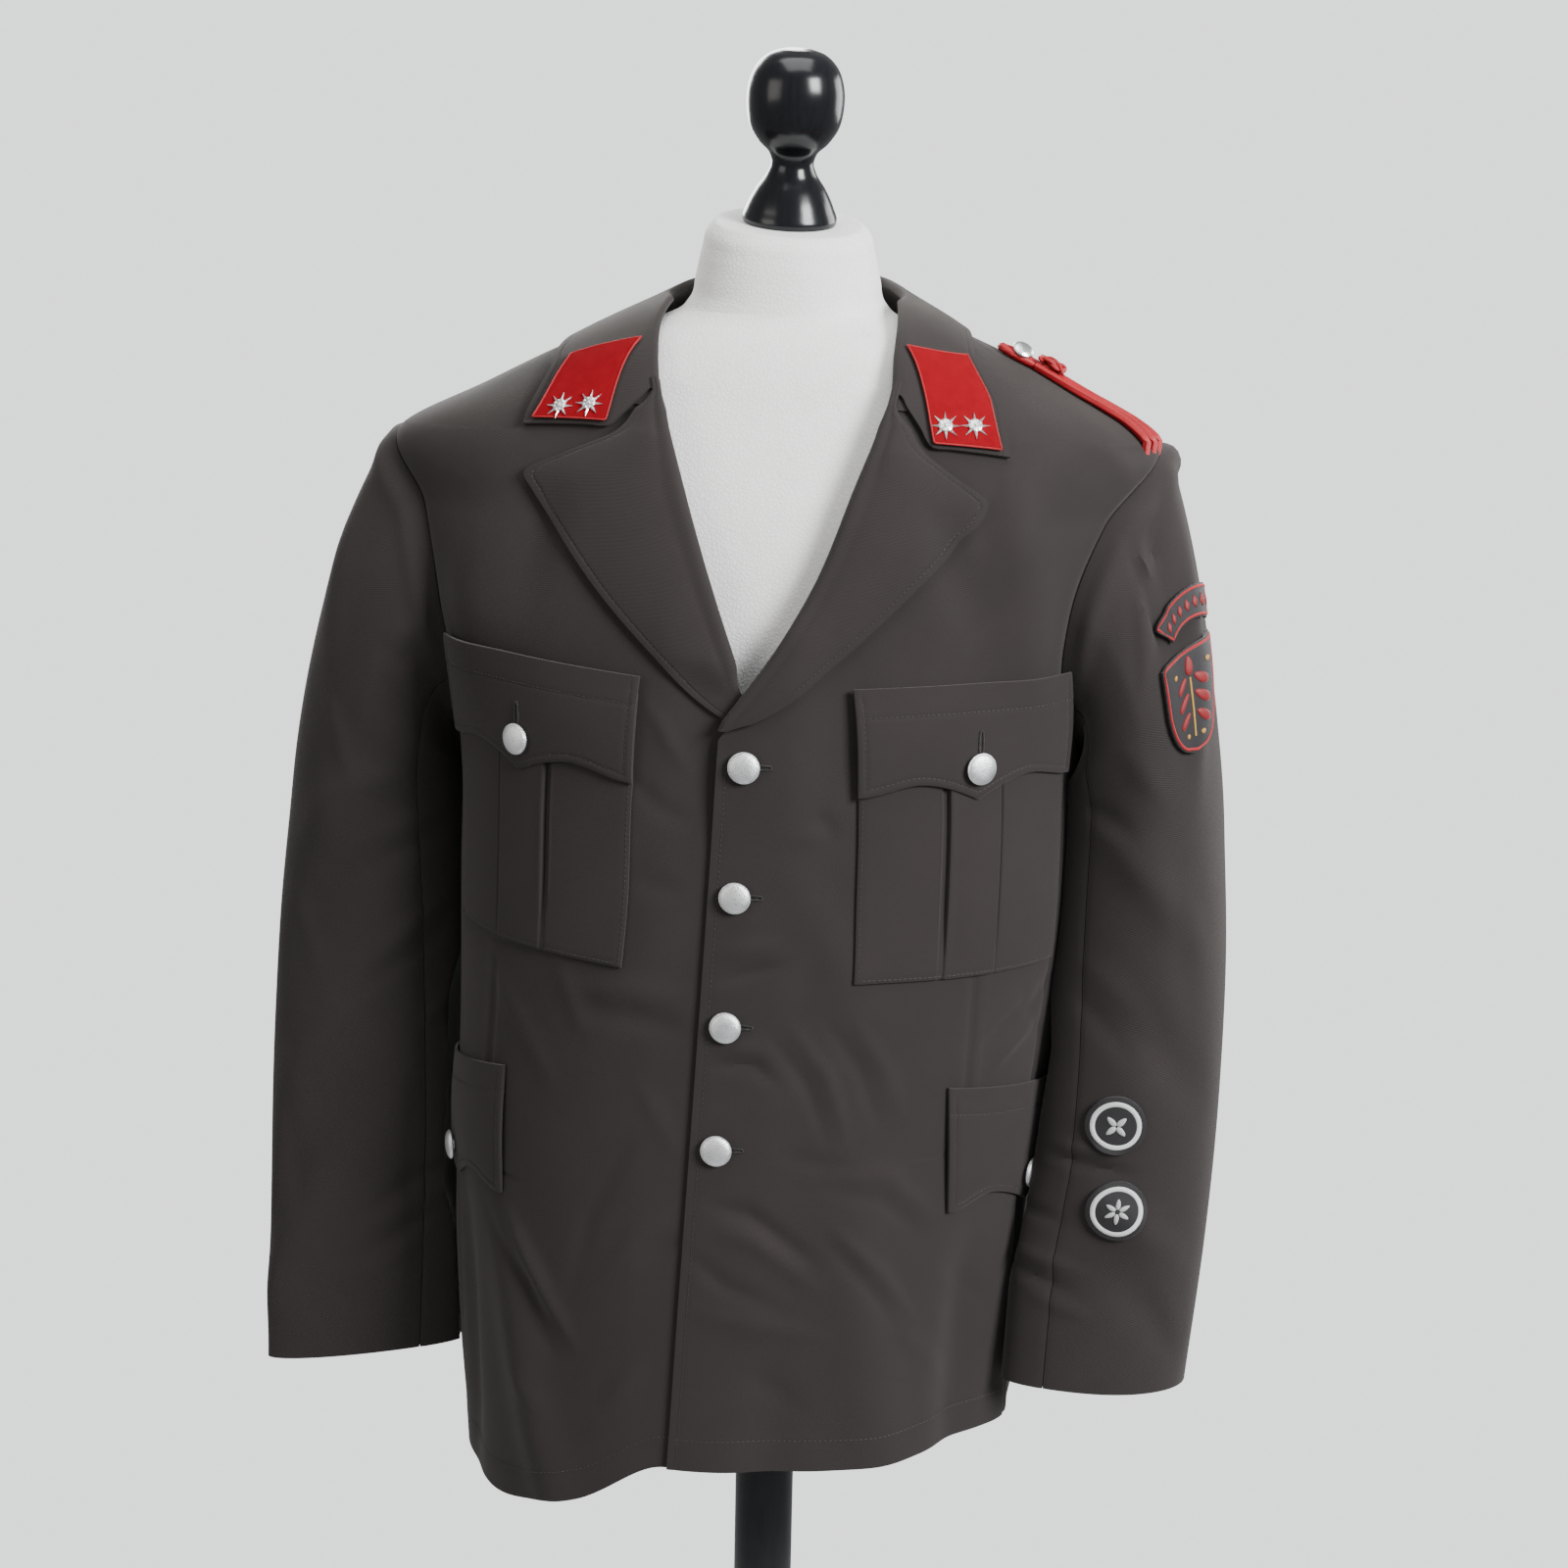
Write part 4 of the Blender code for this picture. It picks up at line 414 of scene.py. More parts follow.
# Finial: radius and height above the neck's top
FINIAL_PROFILE = (
    (0.0315, 0.000),
    (0.0325, 0.003),
    (0.0300, 0.011),
    (0.0235, 0.024),
    (0.0168, 0.034),
    (0.0145, 0.041),
    (0.0162, 0.047),
    (0.0235, 0.0545),
    (0.0300, 0.0645),
    (0.0329, 0.079),
    (0.0320, 0.092),
    (0.0275, 0.1035),
    (0.0190, 0.1115),
    (0.0105, 0.1145),
)

# Stand
POLE_RADIUS = 0.0222
BASE_RADIUS = 0.200
BASE_HEIGHT = 0.026
BASE_EDGE = 0.006

# Shoulder cord: strands from a knot near the collar to the left sleeve's head, and a loop round a button
STRAND_RADIUS = 0.0027
STRAND_SPACING = 0.0056
STRAND_FAN = 1.45
CORD_GAP = 0.0008
CORD_ROWS = ((0.172, -0.013), (0.190, -0.015), (0.215, -0.019), (0.236, -0.026), (0.2535, -0.037))  # x and y
KNOT_SIZE = (0.0105, 0.0092, 0.0056)
KNOT_CORD = 0.00125
LOOP_SIZE = (0.0125, 0.0064)  # half length and half width of its middle line
SHOULDER_BUTTON = (0.1605, -0.013)
SHOULDER_BUTTON_PROFILE = (
    (0.0024, 0.0),
    (0.0024, 0.0066),
    (0.0070, 0.0068),
    (0.0076, 0.0082),
    (0.0052, 0.0102),
)

# Badges on the left sleeve: phi in degrees, share and turn in degrees, then sizes
ARC_BADGE = {"spot": (46, 0.140, -4), "radius": 0.048, "depth": 0.019, "reach": 0.62}
SHIELD_BADGE = {"spot": (38, 0.238, -6), "width": 0.050, "height": 0.067}
ROUND_BADGES = {"upper": (-11.7, 0.670, 0), "lower": (-6.6, 0.774, 0)}
ROUND_BADGE_RADIUS = 0.0206
BADGE_THICKNESS = 0.0016
BADGE_GAP = 0.0011
HEAD_BADGE_GAP = 0.0024  # the head's cloth is more curved under its two badges


def column(columns, rows, name):
    """A smooth function through one column of a table, by the table's first column."""
    at = np.array([row[0] for row in rows], float)
    values = np.array([row[columns.index(name)] for row in rows], float)
    slopes = np.gradient(values, at)

    def smooth(t):
        t = np.clip(t, at[0], at[-1])
        i = np.clip(np.searchsorted(at, t) - 1, 0, len(at) - 2)
        gap = at[i + 1] - at[i]
        u = (t - at[i]) / gap
        rise = values[i + 1] - values[i]
        bend_in = slopes[i] * gap - rise
        bend_out = rise - slopes[i + 1] * gap
        return values[i] + rise * u + u * (1 - u) * (bend_in * (1 - u) + bend_out * u)

    return smooth


def columns_of(columns, rows):
    return {name: column(columns, rows, name) for name in columns[1:]}


WORD = {1: "left", -1: "right"}  # the wearer's sides, by the sign of x
WAY = {"left": 1.0, "right": -1.0}
BODY = columns_of(BODY_COLUMNS, BODY_ROWS)
FORM = columns_of(FORM_COLUMNS, FORM_ROWS)
ROLL = columns_of(ROLL_COLUMNS, ROLL_ROWS)
LAPEL_EDGE = columns_of(LAPEL_EDGE_COLUMNS, LAPEL_EDGE_ROWS)
SLEEVES = {side: columns_of(SLEEVE_COLUMNS, rows) for side, rows in SLEEVE_ROWS.items()}


def unit(vectors):
    return vectors / np.maximum(np.linalg.norm(vectors, axis=-1, keepdims=True), 1e-12)


def stack(x, y, z):
    return np.stack(np.broadcast_arrays(x, y, z), axis=-1)


def ease(t):
    """0 below 0, 1 above 1, smooth between."""
    t = np.clip(t, 0.0, 1.0)
    return t * t * (3 - 2 * t)


def full_turn(count):
    """Angles all the way round, without the last one, which is the first again."""
    return np.linspace(0, 2 * math.pi, count, endpoint=False)


def bell(distance, width):
    """1 at no distance, and less the further away."""
    return np.exp(-((distance / width) ** 2))


def path_lengths(points):
    """Distances along a line of points from its start."""
    return np.concatenate([[0], np.cumsum(np.linalg.norm(np.diff(points, axis=0), axis=1))])


def row_lengths(grid):
    """Distances along each row of a grid of points from its first one."""
    steps = np.linalg.norm(np.diff(grid, axis=1), axis=-1)
    return np.concatenate([np.zeros((len(grid), 1)), np.cumsum(steps, axis=1)], axis=1)


def resampled(points, lengths, spots):
    """The points of a line at other distances along it."""
    return np.stack([np.interp(spots, lengths, values) for values in points.T], axis=-1)


def relief(across, up, folds, radius, length):
    """The rise of a surface at (across, up) from its folds, whose angles are in degrees."""
    total = np.zeros(np.broadcast(across, up).shape)
    for angle, height, end_angle, end_height, width, rise in folds:
        run = np.array([math.radians(end_angle - angle) * radius, (end_height - height) * length])
        away = (across - math.radians(angle)) * radius
        above = (up - height) * length
        along = (away * run[0] + above * run[1]) / (run @ run)
        aside = (away * run[1] - above * run[0]) / math.hypot(*run)
        fade = np.exp(-2.2 * np.abs(2 * along - 1) ** 3)
        total += rise * fade * bell(aside, width)
    return total


def turned(angle):
    """The same direction, from minus half a turn to half a turn."""
    return (angle + math.pi) % (2 * math.pi) - math.pi


class ReliefMap:
    """How far a surface rises from its folds and creases, on a grid of angles and heights."""

    COLUMNS, ROWS = 900, 720
    CREASE_GAIN, CREASE_WIDTH = 1.6, 0.8

    def __init__(self, folds, creases, radius, length, low, high):
        self.low, self.high = low, high
        self.angles = np.linspace(-math.pi, math.pi, self.COLUMNS + 1)
        self.heights = np.linspace(low, high, self.ROWS + 1)
        across, up = np.meshgrid(self.angles, self.heights)
        whole_turns = (-2 * math.pi, 0.0, 2 * math.pi)
        self.rises = sum(relief(across + whole, up, folds, radius, length) for whole in whole_turns)
        for crease in creases:
            for whole in whole_turns:
                self.add(crease, radius, length, whole)

    def add(self, crease, radius, length, whole):
        """One crease, rounded at its ends and thinner there."""
        *places, width, rise = crease
        line = np.array(places).reshape(3, 2) * [math.radians(1) * radius, length]
        reach = 3 * width
        x, y = (self.angles + whole) * radius, self.heights * length
        cols = np.flatnonzero((x > line[:, 0].min() - reach) & (x < line[:, 0].max() + reach))
        rows = np.flatnonzero((y > line[:, 1].min() - reach) & (y < line[:, 1].max() + reach))
        if len(cols) == 0 or len(rows) == 0:
            return
        x, y = np.meshgrid(x[cols], y[rows])
        nearest, share, done = np.full(x.shape, 9.0), np.zeros(x.shape), 0.0
        for start, end in zip(line, line[1:]):
            run = end - start
            size = max(math.hypot(*run), 1e-6)
            t = np.clip(((x - start[0]) * run[0] + (y - start[1]) * run[1]) / size**2, 0, 1)
            away = np.hypot(x - start[0] - t * run[0], y - start[1] - t * run[1])
            share = np.where(away < nearest, done + t * size, share)
            nearest = np.minimum(nearest, away)
            done += size
        middle = np.sin(math.pi * np.clip(share / done, 0, 1))
        soft = width * self.CREASE_WIDTH * (0.65 + 0.35 * middle)
        deep = self.CREASE_GAIN * rise * (0.12 + 0.88 * middle)
        self.rises[np.ix_(rows, cols)] += deep * bell(nearest, soft)

    def __call__(self, across, up):
        across, up = np.broadcast_arrays(across, up)
        col = (turned(across) + math.pi) / (2 * math.pi) * self.COLUMNS
        row = np.clip((up - self.low) / (self.high - self.low), 0, 1) * self.ROWS
        i = np.minimum(row.astype(int), self.ROWS - 1)
        j = np.minimum(col.astype(int), self.COLUMNS - 1)
        u, v = row - i, col - j
        rises = self.rises
        low = rises[i, j] * (1 - v) + rises[i, j + 1] * v
        high = rises[i + 1, j] * (1 - v) + rises[i + 1, j + 1] * v
        return low * (1 - u) + high * u


# The body's surface


BODY_RELIEF = ReliefMap(BODY_FOLDS, BODY_CREASES, ARC_RADIUS, 1.0, 0.54, 1.46)
SLEEVE_RELIEF = {
    side: ReliefMap(SLEEVE_FOLDS[side], SLEEVE_CREASES[side], SLEEVE_RADIUS, SLEEVE_LENGTH, 0.0, 1.0)
    for side in SLEEVE_FOLDS
}


def body_point(angle, z):
    """The point of the body's outer surface at that angle from centre front, at that height."""
    faced = angle - BODY_TURN * (1 - ease((z - 1.20) / 0.12))
    depth = np.where(np.cos(faced) > 0, BODY["front"](z), BODY["back"](z))
    power = BODY["squareness"](z)
    across = np.abs(np.sin(faced)) / BODY["half_width"](z)
    along = np.abs(np.cos(faced)) / depth
    radius = (across**power + along**power) ** (-1 / power) + BODY_RELIEF(angle, z)
    return stack(BODY["middle"](z) + radius * np.sin(angle), -radius * np.cos(angle), z)


def body_normal(angle, z):
    step_angle, step_z = 0.006, 0.0012
    along = body_point(angle + step_angle, z) - body_point(angle - step_angle, z)
    up = body_point(angle, z + step_z) - body_point(angle, z - step_z)
    return unit(np.cross(along, up))


def on_body(angle, z, lift):
    lift = np.asarray(lift)[..., None]
    return body_point(angle, z) + body_normal(angle, z) * lift


def pushed_off(points, lift, way=1):
    """The points, moved out to lie at least lift above the body, or with way -1 in, to lie at most that."""
    points = points.copy()
    for _ in range(5):
        z = np.minimum(points[..., 2], 1.440)
        angle = np.arctan2(points[..., 0] - BODY["middle"](z), -points[..., 1])
        normal = body_normal(angle, z)
        height = np.sum((points - body_point(angle, z)) * normal, axis=-1)
        points += normal * way * np.maximum(way * (lift - height), 0)[..., None]
    return points


def over_body(x, y, lift):
    """The point over the shoulders at that x and y, and the normal there."""
    low, high = 1.26, 1.4455
    for _ in range(40):
        z = (low + high) / 2
        middle = float(BODY["middle"](z))
        angle = math.atan2(x - middle, -y)
        point = body_point(angle, z)
        inside = math.hypot(x - middle, y) < math.hypot(point[0] - middle, point[1])
        low, high = (z, high) if inside else (low, z)
    normal = body_normal(angle, z)
    return point + normal * lift, normal


def front_angle(x, z):
    """The angle of the front's point at that x."""
    half, power = BODY["half_width"](z), BODY["squareness"](z)
    share = np.minimum(np.abs(x - BODY["middle"](z)) / half, 0.9999)
    y = BODY["front"](z) * (1 - share**power) ** (1 / power)
    angle = np.arctan2(x - BODY["middle"](z), y)
    for _ in range(4):
        point = body_point(angle, z)
        step = (x - point[..., 0]) / np.maximum(-point[..., 1], 0.03)
        angle = angle + np.clip(step, -0.04, 0.04)
    return angle


def arc_table(z):
    """Distances round the ring at that height from centre front, and their angles."""
    angles = np.linspace(0, math.pi, 400)
    return path_lengths(body_point(angles, np.full_like(angles, z))), angles


ARC_HEIGHT = 1.04
ARC_DISTANCES, ARC_ANGLES = arc_table(ARC_HEIGHT)


def round_angle(distance, z):
    """The angle at a distance round the body from centre front, either way."""
    size = BODY["half_width"](ARC_HEIGHT) / BODY["half_width"](z)
    return np.sign(distance) * np.interp(np.abs(distance) * size, ARC_DISTANCES, ARC_ANGLES)


def button_line(z):
    height, x = BUTTON_LINE_TOP
    return x - BUTTON_LINE_LEAN * (height - np.minimum(z, height + 0.02))


def hem(angle):
    """The hem's height: level at the left, and lower round the right side."""
    lower = ease((-np.sin(angle) - 0.10) / 0.42)
    side = ease((-np.sin(angle) - 0.45) / 0.35)
    return HEM_FRONT - HEM_DROP_RIGHT * lower - HEM_DROP_SIDE * side


# Armholes


def armhole(phi, side, inset=0.0):
    """Angle and height on the body of the armhole's edge. phi is 0 in front and 90 degrees at the top."""
    reach = np.where(np.cos(phi) > 0, ARMHOLE_FRONT, ARMHOLE_BACK) - inset
    y = -reach * np.cos(phi)
    z = ARMHOLE_MIDDLE + (ARMHOLE_HALF_HEIGHT - inset) * np.sin(phi)
    depth = np.where(y < 0, BODY["front"](z), BODY["back"](z))
    power = BODY["squareness"](z)
    x = BODY["half_width"](z) * (1 - (np.abs(y) / depth) ** power) ** (1 / power)
    return side * np.arctan2(x, -y), z


def armhole_angle(z, front):
    """The front's or back's edge beside the left armhole."""
    phi = np.radians(np.linspace(-89 if front else 269, 90, 180))
    angles, heights = armhole(phi, 1)
    return np.interp(z, heights, angles)


def armhole_floor(angle):
    """The height of the armhole's lower edge at an angle of the side panel."""
    phi = np.radians(np.linspace(-5, -175, 180))
    angles, heights = armhole(phi, 1)
    return np.interp(angle, angles, heights)


# Meshes


def spaced(count, width, near=(0.0006, 0.0014, 0.0026, 0.0042)):
    """Shares from 0 to 1 over a width, with more of them near both ends."""
    ends = np.array(near) / width
    inside = np.linspace(ends[-1], 1 - ends[-1], count)
    return np.concatenate([[0.0], ends[:-1], inside, 1 - ends[-2::-1], [1.0]])


def volume(points, faces):
    """Six times the volume inside closed faces, below 0 where they face inwards."""
    fans = [(face[0], b, c) for face in faces for b, c in zip(face[1:-1], face[2:])]
    a, b, c = points[np.array(fans)].transpose(1, 0, 2)
    return np.sum(a * np.cross(b, c))


def add_piece(name, points, faces, finish, stands_for=(), uv=None, sharp=40.0, bevel=0.0):
    """A closed mesh that rides on the part. faces are lists of corners, and uv is by point."""
    points = np.asarray(points, float)
    if volume(points - points.mean(axis=0), faces) < 0:
        faces = [face[::-1] for face in faces]
    mesh = bpy.data.meshes.new(name)
    mesh.from_pydata(points.tolist(), [], faces)
    mesh.materials.append(finish)
    if uv is not None:
        layer_uv = mesh.uv_layers.new(name="cloth")
        corners = np.empty(len(mesh.loops), np.int32)
        mesh.loops.foreach_get("vertex_index", corners)
        layer_uv.data.foreach_set("uv", np.asarray(uv, np.float32)[corners].ravel())
    mesh.shade_smooth()
    mesh.set_sharp_from_angle(angle=math.radians(sharp))
    made = bpy.data.objects.new(name, mesh)
    bpy.context.scene.collection.objects.link(made)
    if bevel:
        modifier = made.modifiers.new("edges", "BEVEL")
        modifier.width = bevel
        modifier.segments = 2
        modifier.limit_method = "ANGLE"
        modifier.angle_limit = math.radians(50)
    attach(made, "root")
    if stands_for:
        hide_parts(*stands_for)
    return made


def cloth_uv(grid):
    """Distances along and up a grid of points, so that the weave keeps its scale."""
    u = row_lengths(grid)
    v = row_lengths(grid.transpose(1, 0, 2)).T
    u -= u[:, u.shape[1] // 2][:, None]
    middle = v[:, v.shape[1] // 2][:, None]
    return np.stack([u, 0.5 * v + 0.5 * middle], axis=-1)


def ring_faces(rings, count, first=0, closed=False):
    """Quads between rings of points, and with closed from the last ring back to the first."""
    r, k = np.meshgrid(np.arange(rings if closed else rings - 1), np.arange(count), indexing="ij")
    above, after = (r + 1) % rings, (k + 1) % count
    corners = (r * count + k, r * count + after, above * count + after, above * count + k)
    return (first + np.stack(corners, axis=-1)).reshape(-1, 4).tolist()


def end_faces(rings, count):
    """The two faces that close rings of points at their ends."""
    last = (rings - 1) * count
    return [list(range(count))[::-1], list(range(last, last + count))]


def fan_faces(first, count, tip):
    """Triangles from a ring of points to a tip."""
    return [(first + k, first + (k + 1) % count, tip) for k in range(count)]


def sheet_faces(rows, cols):
    """Quads of a wall between two grids, closed round its four edges."""
    place = np.arange(rows * cols).reshape(rows, cols)
    top = np.stack([place[:-1, :-1], place[:-1, 1:], place[1:, 1:], place[1:, :-1]], axis=-1).reshape(-1, 4)
    under = rows * cols + top[:, ::-1]
    ring = np.concatenate([place[0], place[1:, -1], place[-1, -2::-1], place[-2:0:-1, 0]])
    after = np.roll(ring, -1)
    edge = np.stack([after, ring, rows * cols + ring, rows * cols + after], axis=1)
    return np.concatenate([top, under, edge]).tolist()


def sheet(name, outer, inner, finish, stands_for=(), uv=None, bevel=0.0004):
    """A wall of cloth between two grids of points."""
    rows, cols = outer.shape[:2]
    points = np.concatenate([outer.reshape(-1, 3), inner.reshape(-1, 3)])
    uv = cloth_uv(outer) if uv is None else uv
    uv = np.concatenate([uv.reshape(-1, 2), uv.reshape(-1, 2)])
    return add_piece(name, points, sheet_faces(rows, cols), finish, stands_for, uv, bevel=bevel)


def body_sheet(name, angle, z, lift, thickness, finish, stands_for=(), bevel=0.0004):
    points, normals = body_point(angle, z), body_normal(angle, z)
    outer = points + normals * np.asarray(lift)[..., None]
    inner = points + normals * (np.asarray(lift) - thickness)[..., None]
    sheet(name, outer, inner, finish, stands_for, bevel=bevel)
    return outer


def turned_solid(name, profile, segments, place, finish, stands_for=(), sharp=40.0):
    """A lathe-turned solid from (radius, height) points, closed at both ends. place moves its points."""
    turn = 2 * math.pi * np.arange(segments) / segments
    radius, height = np.array(profile, float).T
    x, y = radius[:, None] * np.cos(turn), radius[:, None] * np.sin(turn)
    points = stack(x, y, height[:, None] + 0 * x).reshape(-1, 3)
    faces = ring_faces(len(profile), segments) + end_faces(len(profile), segments)
    return add_piece(name, place(points), faces, finish, stands_for, sharp=sharp)


def frame_at(point, normal, up):
    """A function that places local points with +Z along the normal and +Y near up."""
    normal = unit(np.asarray(normal, float))
    side = unit(np.cross(up, normal))
    above = np.cross(normal, side)

    def place(points):
        return point + points @ np.array([side, above, normal])

    return place


def smooth_line(points, count):
    """More points on a smooth curve through these."""
    points = np.asarray(points, float)
    gaps = np.linalg.norm(np.diff(points, axis=0), axis=1)
    at = np.concatenate([[0], np.cumsum(np.maximum(gaps, 1e-6))])
    slopes = np.gradient(points, at, axis=0)
    t = np.linspace(0, at[-1], count)
    i = np.clip(np.searchsorted(at, t) - 1, 0, len(at) - 2)
    gap = (at[i + 1] - at[i])[:, None]
    u = ((t - at[i]) / gap[:, 0])[:, None]
    rise = points[i + 1] - points[i]
    bend_in, bend_out = slopes[i] * gap - rise, rise - slopes[i + 1] * gap
    return points[i] + rise * u + u * (1 - u) * (bend_in * (1 - u) + bend_out * u)


STITCH_LENGTH = 0.0027
STITCH_GAP = 0.0008
STITCH_RADIUS = 0.00026
STITCH_SHAPE = ((-0.38, 0.8), (-0.1, 1.0), (0.1, 1.0), (0.38, 0.8))  # place along it, and its thickness
STITCH_SIDES = 5


def inset_line(grid, distance, from_end=False):
    """Points at a distance from one edge of a grid, row by row, and the way out of the cloth there."""
    normals = unit(np.cross(np.gradient(grid, axis=1), np.gradient(grid, axis=0)))
    points, ways = [], []
    for row, normal, at in zip(grid, normals, row_lengths(grid)):
        place = at[-1] - distance if from_end else distance
        points.append(resampled(row, at, place))
        ways.append(resampled(normal, at, place))
    points, ways = np.array(points), np.array(ways)
    outwards = points * [1, 1, 0]
    return points, unit(ways * np.sign(np.sum(ways * outwards, axis=-1, keepdims=True)))


def stitches(name, lines):
    """Rows of thread stitches along lines of (points, normals), half sunk in the cloth."""
    sides, rings = STITCH_SIDES, len(STITCH_SHAPE)
    turn = np.radians(np.arange(sides) * 360 / sides)
    all_points, all_faces, first = [], [], 0
    for points, normals in lines:
        along = path_lengths(points)
        count = max(int(along[-1] / (STITCH_LENGTH + STITCH_GAP)), 1)
        middles = (np.arange(count) + 0.5) * along[-1] / count
        ends = [resampled(points, along, middles + step) for step in (-STITCH_LENGTH / 2, STITCH_LENGTH / 2)]
        ways = unit(resampled(normals, along, middles))
        for low, high, normal in zip(*ends, ways):
            middle, run = (low + high) / 2, high - low
            side = unit(np.cross(normal, run))
            for place, thick in STITCH_SHAPE:
                for angle in turn:
                    wide = side * math.cos(angle) * 1.25 + normal * (0.35 + 0.8 * math.sin(angle))
                    all_points.append(middle + run * place + wide * thick * STITCH_RADIUS)
            all_points += [low + normal * STITCH_RADIUS * 0.3, high + normal * STITCH_RADIUS * 0.3]
            tip, last = first + rings * sides, first + (rings - 1) * sides
            all_faces += ring_faces(rings, sides, first)
            all_faces += [face[::-1] for face in fan_faces(first, sides, tip)]
            all_faces += fan_faces(last, sides, tip + 1)
            first = tip + 2
    return add_piece(name, np.array(all_points), all_faces, THREAD, sharp=80)


def buttonhole(name, place, half, across=0.0015, radius=0.0006):
    """A worked buttonhole: thread all round a slit, along local x. The thread's near-black colour carries
    painted shade of the slit.
    """
    turn = full_turn(44)
    x = np.clip(half * 1.3 * np.cos(turn), -half, half) + 0.0007 * np.cos(turn)
    line = place(np.stack([x, across * np.sin(turn), 0 * turn], axis=1))
    up = place(np.array([[0.0, 0.0, 1.0]]))[0] - place(np.zeros((1, 3)))[0]
    return tube(name, line, radius, 8, HOLE_THREAD_AND_SLIT_SHADE, closed=True, lobes=4, twist=2600, up=tuple(up))


LOBE_DEPTH = 0.10  # of a cord's strands, as a share of its radius


def tube(name, centres, radius, segments, finish, closed=False, twist=0.0, lobes=0,
         up=(0.35, 0.1, 1.0)):
    """A round tube along a line of points, with twisted lobes where it is a cord."""
    centres = np.asarray(centres, float)
    if closed:
        run = unit(np.roll(centres, -1, axis=0) - np.roll(centres, 1, axis=0))
    else:
        run = unit(np.gradient(centres, axis=0))
    across = unit(np.cross(run, np.broadcast_to(up, run.shape)))
    over = np.cross(across, run)
    along = path_lengths(centres)[:, None]
    turn = full_turn(segments)
    lobed = 1 + (LOBE_DEPTH * np.cos(lobes * turn - twist * along) if lobes else 0 * turn * along)
    ring = across[:, None] * np.cos(turn)[None, :, None] + over[:, None] * np.sin(turn)[None, :, None]
    points = (centres[:, None] + (radius * lobed)[..., None] * ring).reshape(-1, 3)
    count = len(centres)
    faces = ring_faces(count, segments, closed=closed) + ([] if closed else end_faces(count, segments))
    uv = np.stack(np.broadcast_arrays(turn[None, :] / (2 * math.pi), along), axis=-1).reshape(-1, 2)
    return add_piece(name, points, faces, finish, uv=uv, sharp=80)


# Panels of the body


def layer(x, z, side):
    """How far the fronts part where they overlap: the left front lies over the right one and its lapel."""
    near = 1 - ease((np.abs(x - button_line(z)) - 0.026) / 0.032)
    high = ease((z - 1.085) / 0.060) * (1 - ease((z - 1.225) / 0.060))
    over = 0.0015 + 0.0022 * high if side > 0 else -0.0014 - 0.0013 * high
    return near * over * (1 - ease((z - 1.225) / 0.060))


def roll_x(z, side):
    return ROLL["middle"](z) + side * ROLL["half"](z)


def front_edge(z, side):
    """x of a front's free edge: straight below the break, and along the roll line above it."""
    closed = side * button_line(z) - EDGE_BEYOND_BUTTONS
    rolled = side * roll_x(z, side) + 0.0022
    return side * np.where(z < BREAK - 0.010, closed, np.maximum(closed, rolled))


def side_edge(z, front):
    """The left side seam's angle below, and the armhole's edge above it."""
    edge = armhole_angle(z, front)
    seam = np.minimum(edge, SIDE_SEAM_FRONT) if front else np.maximum(edge, SIDE_SEAM_BACK)
    return np.where(z < ARMHOLE_MIDDLE, seam, edge)


def seam_top(front):
    """The height at which a side seam meets the armhole."""
    heights = np.linspace(ARMHOLE_MIDDLE - ARMHOLE_HALF_HEIGHT + 0.001, ARMHOLE_MIDDLE, 300)
    edge = armhole_angle(heights, front)
    apart = edge - SIDE_SEAM_FRONT if front else SIDE_SEAM_BACK - edge
    return float(heights[np.argmax(apart < 0)])


LOW_SHARES = np.linspace(0.0, 1.0, 128)
HEM_TURN_UP = 0.0225
SEAM_DIP = 0.0007
SEAM_SOFT = 0.0019
SLEEVE_SEAM_DIP = 0.0004
SEAM_ANGLE = SEAM_GAP / 2 / ARC_RADIUS  # half a seam's gap on the body, as an angle
SLEEVE_SEAM_ANGLE = SEAM_GAP / 2 / 0.045
ARMHOLE_DIP = 0.0011
ARMHOLE_SOFT = 0.0045
EDGE_STITCH = 0.0062
EDGE_STITCH_DEPTH = 0.0004
DART_ANGLE = 55.2
DART_DEPTH = 0.0016
DART_FROM = 0.895
DART_TO = 1.005


def rows_of(front):
    """Shares of the way up to the seam's top, then heights along the armhole and over the shoulder."""
    hem_rows = np.array([0.0006, 0.0016, HEM_TURN_UP - 0.0012, HEM_TURN_UP, HEM_TURN_UP + 0.0012]) / 0.45
    low = np.unique(np.concatenate([LOW_SHARES, hem_rows]))
    first = math.asin((seam_top(front) - ARMHOLE_MIDDLE) / ARMHOLE_HALF_HEIGHT)
    arm = ARMHOLE_MIDDLE + ARMHOLE_HALF_HEIGHT * np.sin(np.linspace(first, math.pi / 2, 60))[1:]
    shoulder = np.linspace(SHOULDER, NECK, 34)[1:]
    return low, np.concatenate([arm, shoulder])


def dip(distance, depth=SEAM_DIP, soft=SEAM_SOFT):
    """How far cloth sinks towards a seam that distance away."""
    return -depth * bell(distance, soft)


def hem_relief(above):
    """The hem's turned-up layer, and the line where it is caught down."""
    past = above - HEM_TURN_UP
    return 0.0004 * (1 - ease(past / 0.004)) - 0.0005 * bell(past, 0.0013)


def dart_share(z, side):
    """How far across a front its dart runs at a height, as an angle, and how deep it is there."""
    depth = ease((z - DART_FROM) / 0.01) * (1 - ease((z - DART_TO) / 0.01))
    return side * math.radians(DART_ANGLE - 12 * (z - DART_FROM)), float(depth)


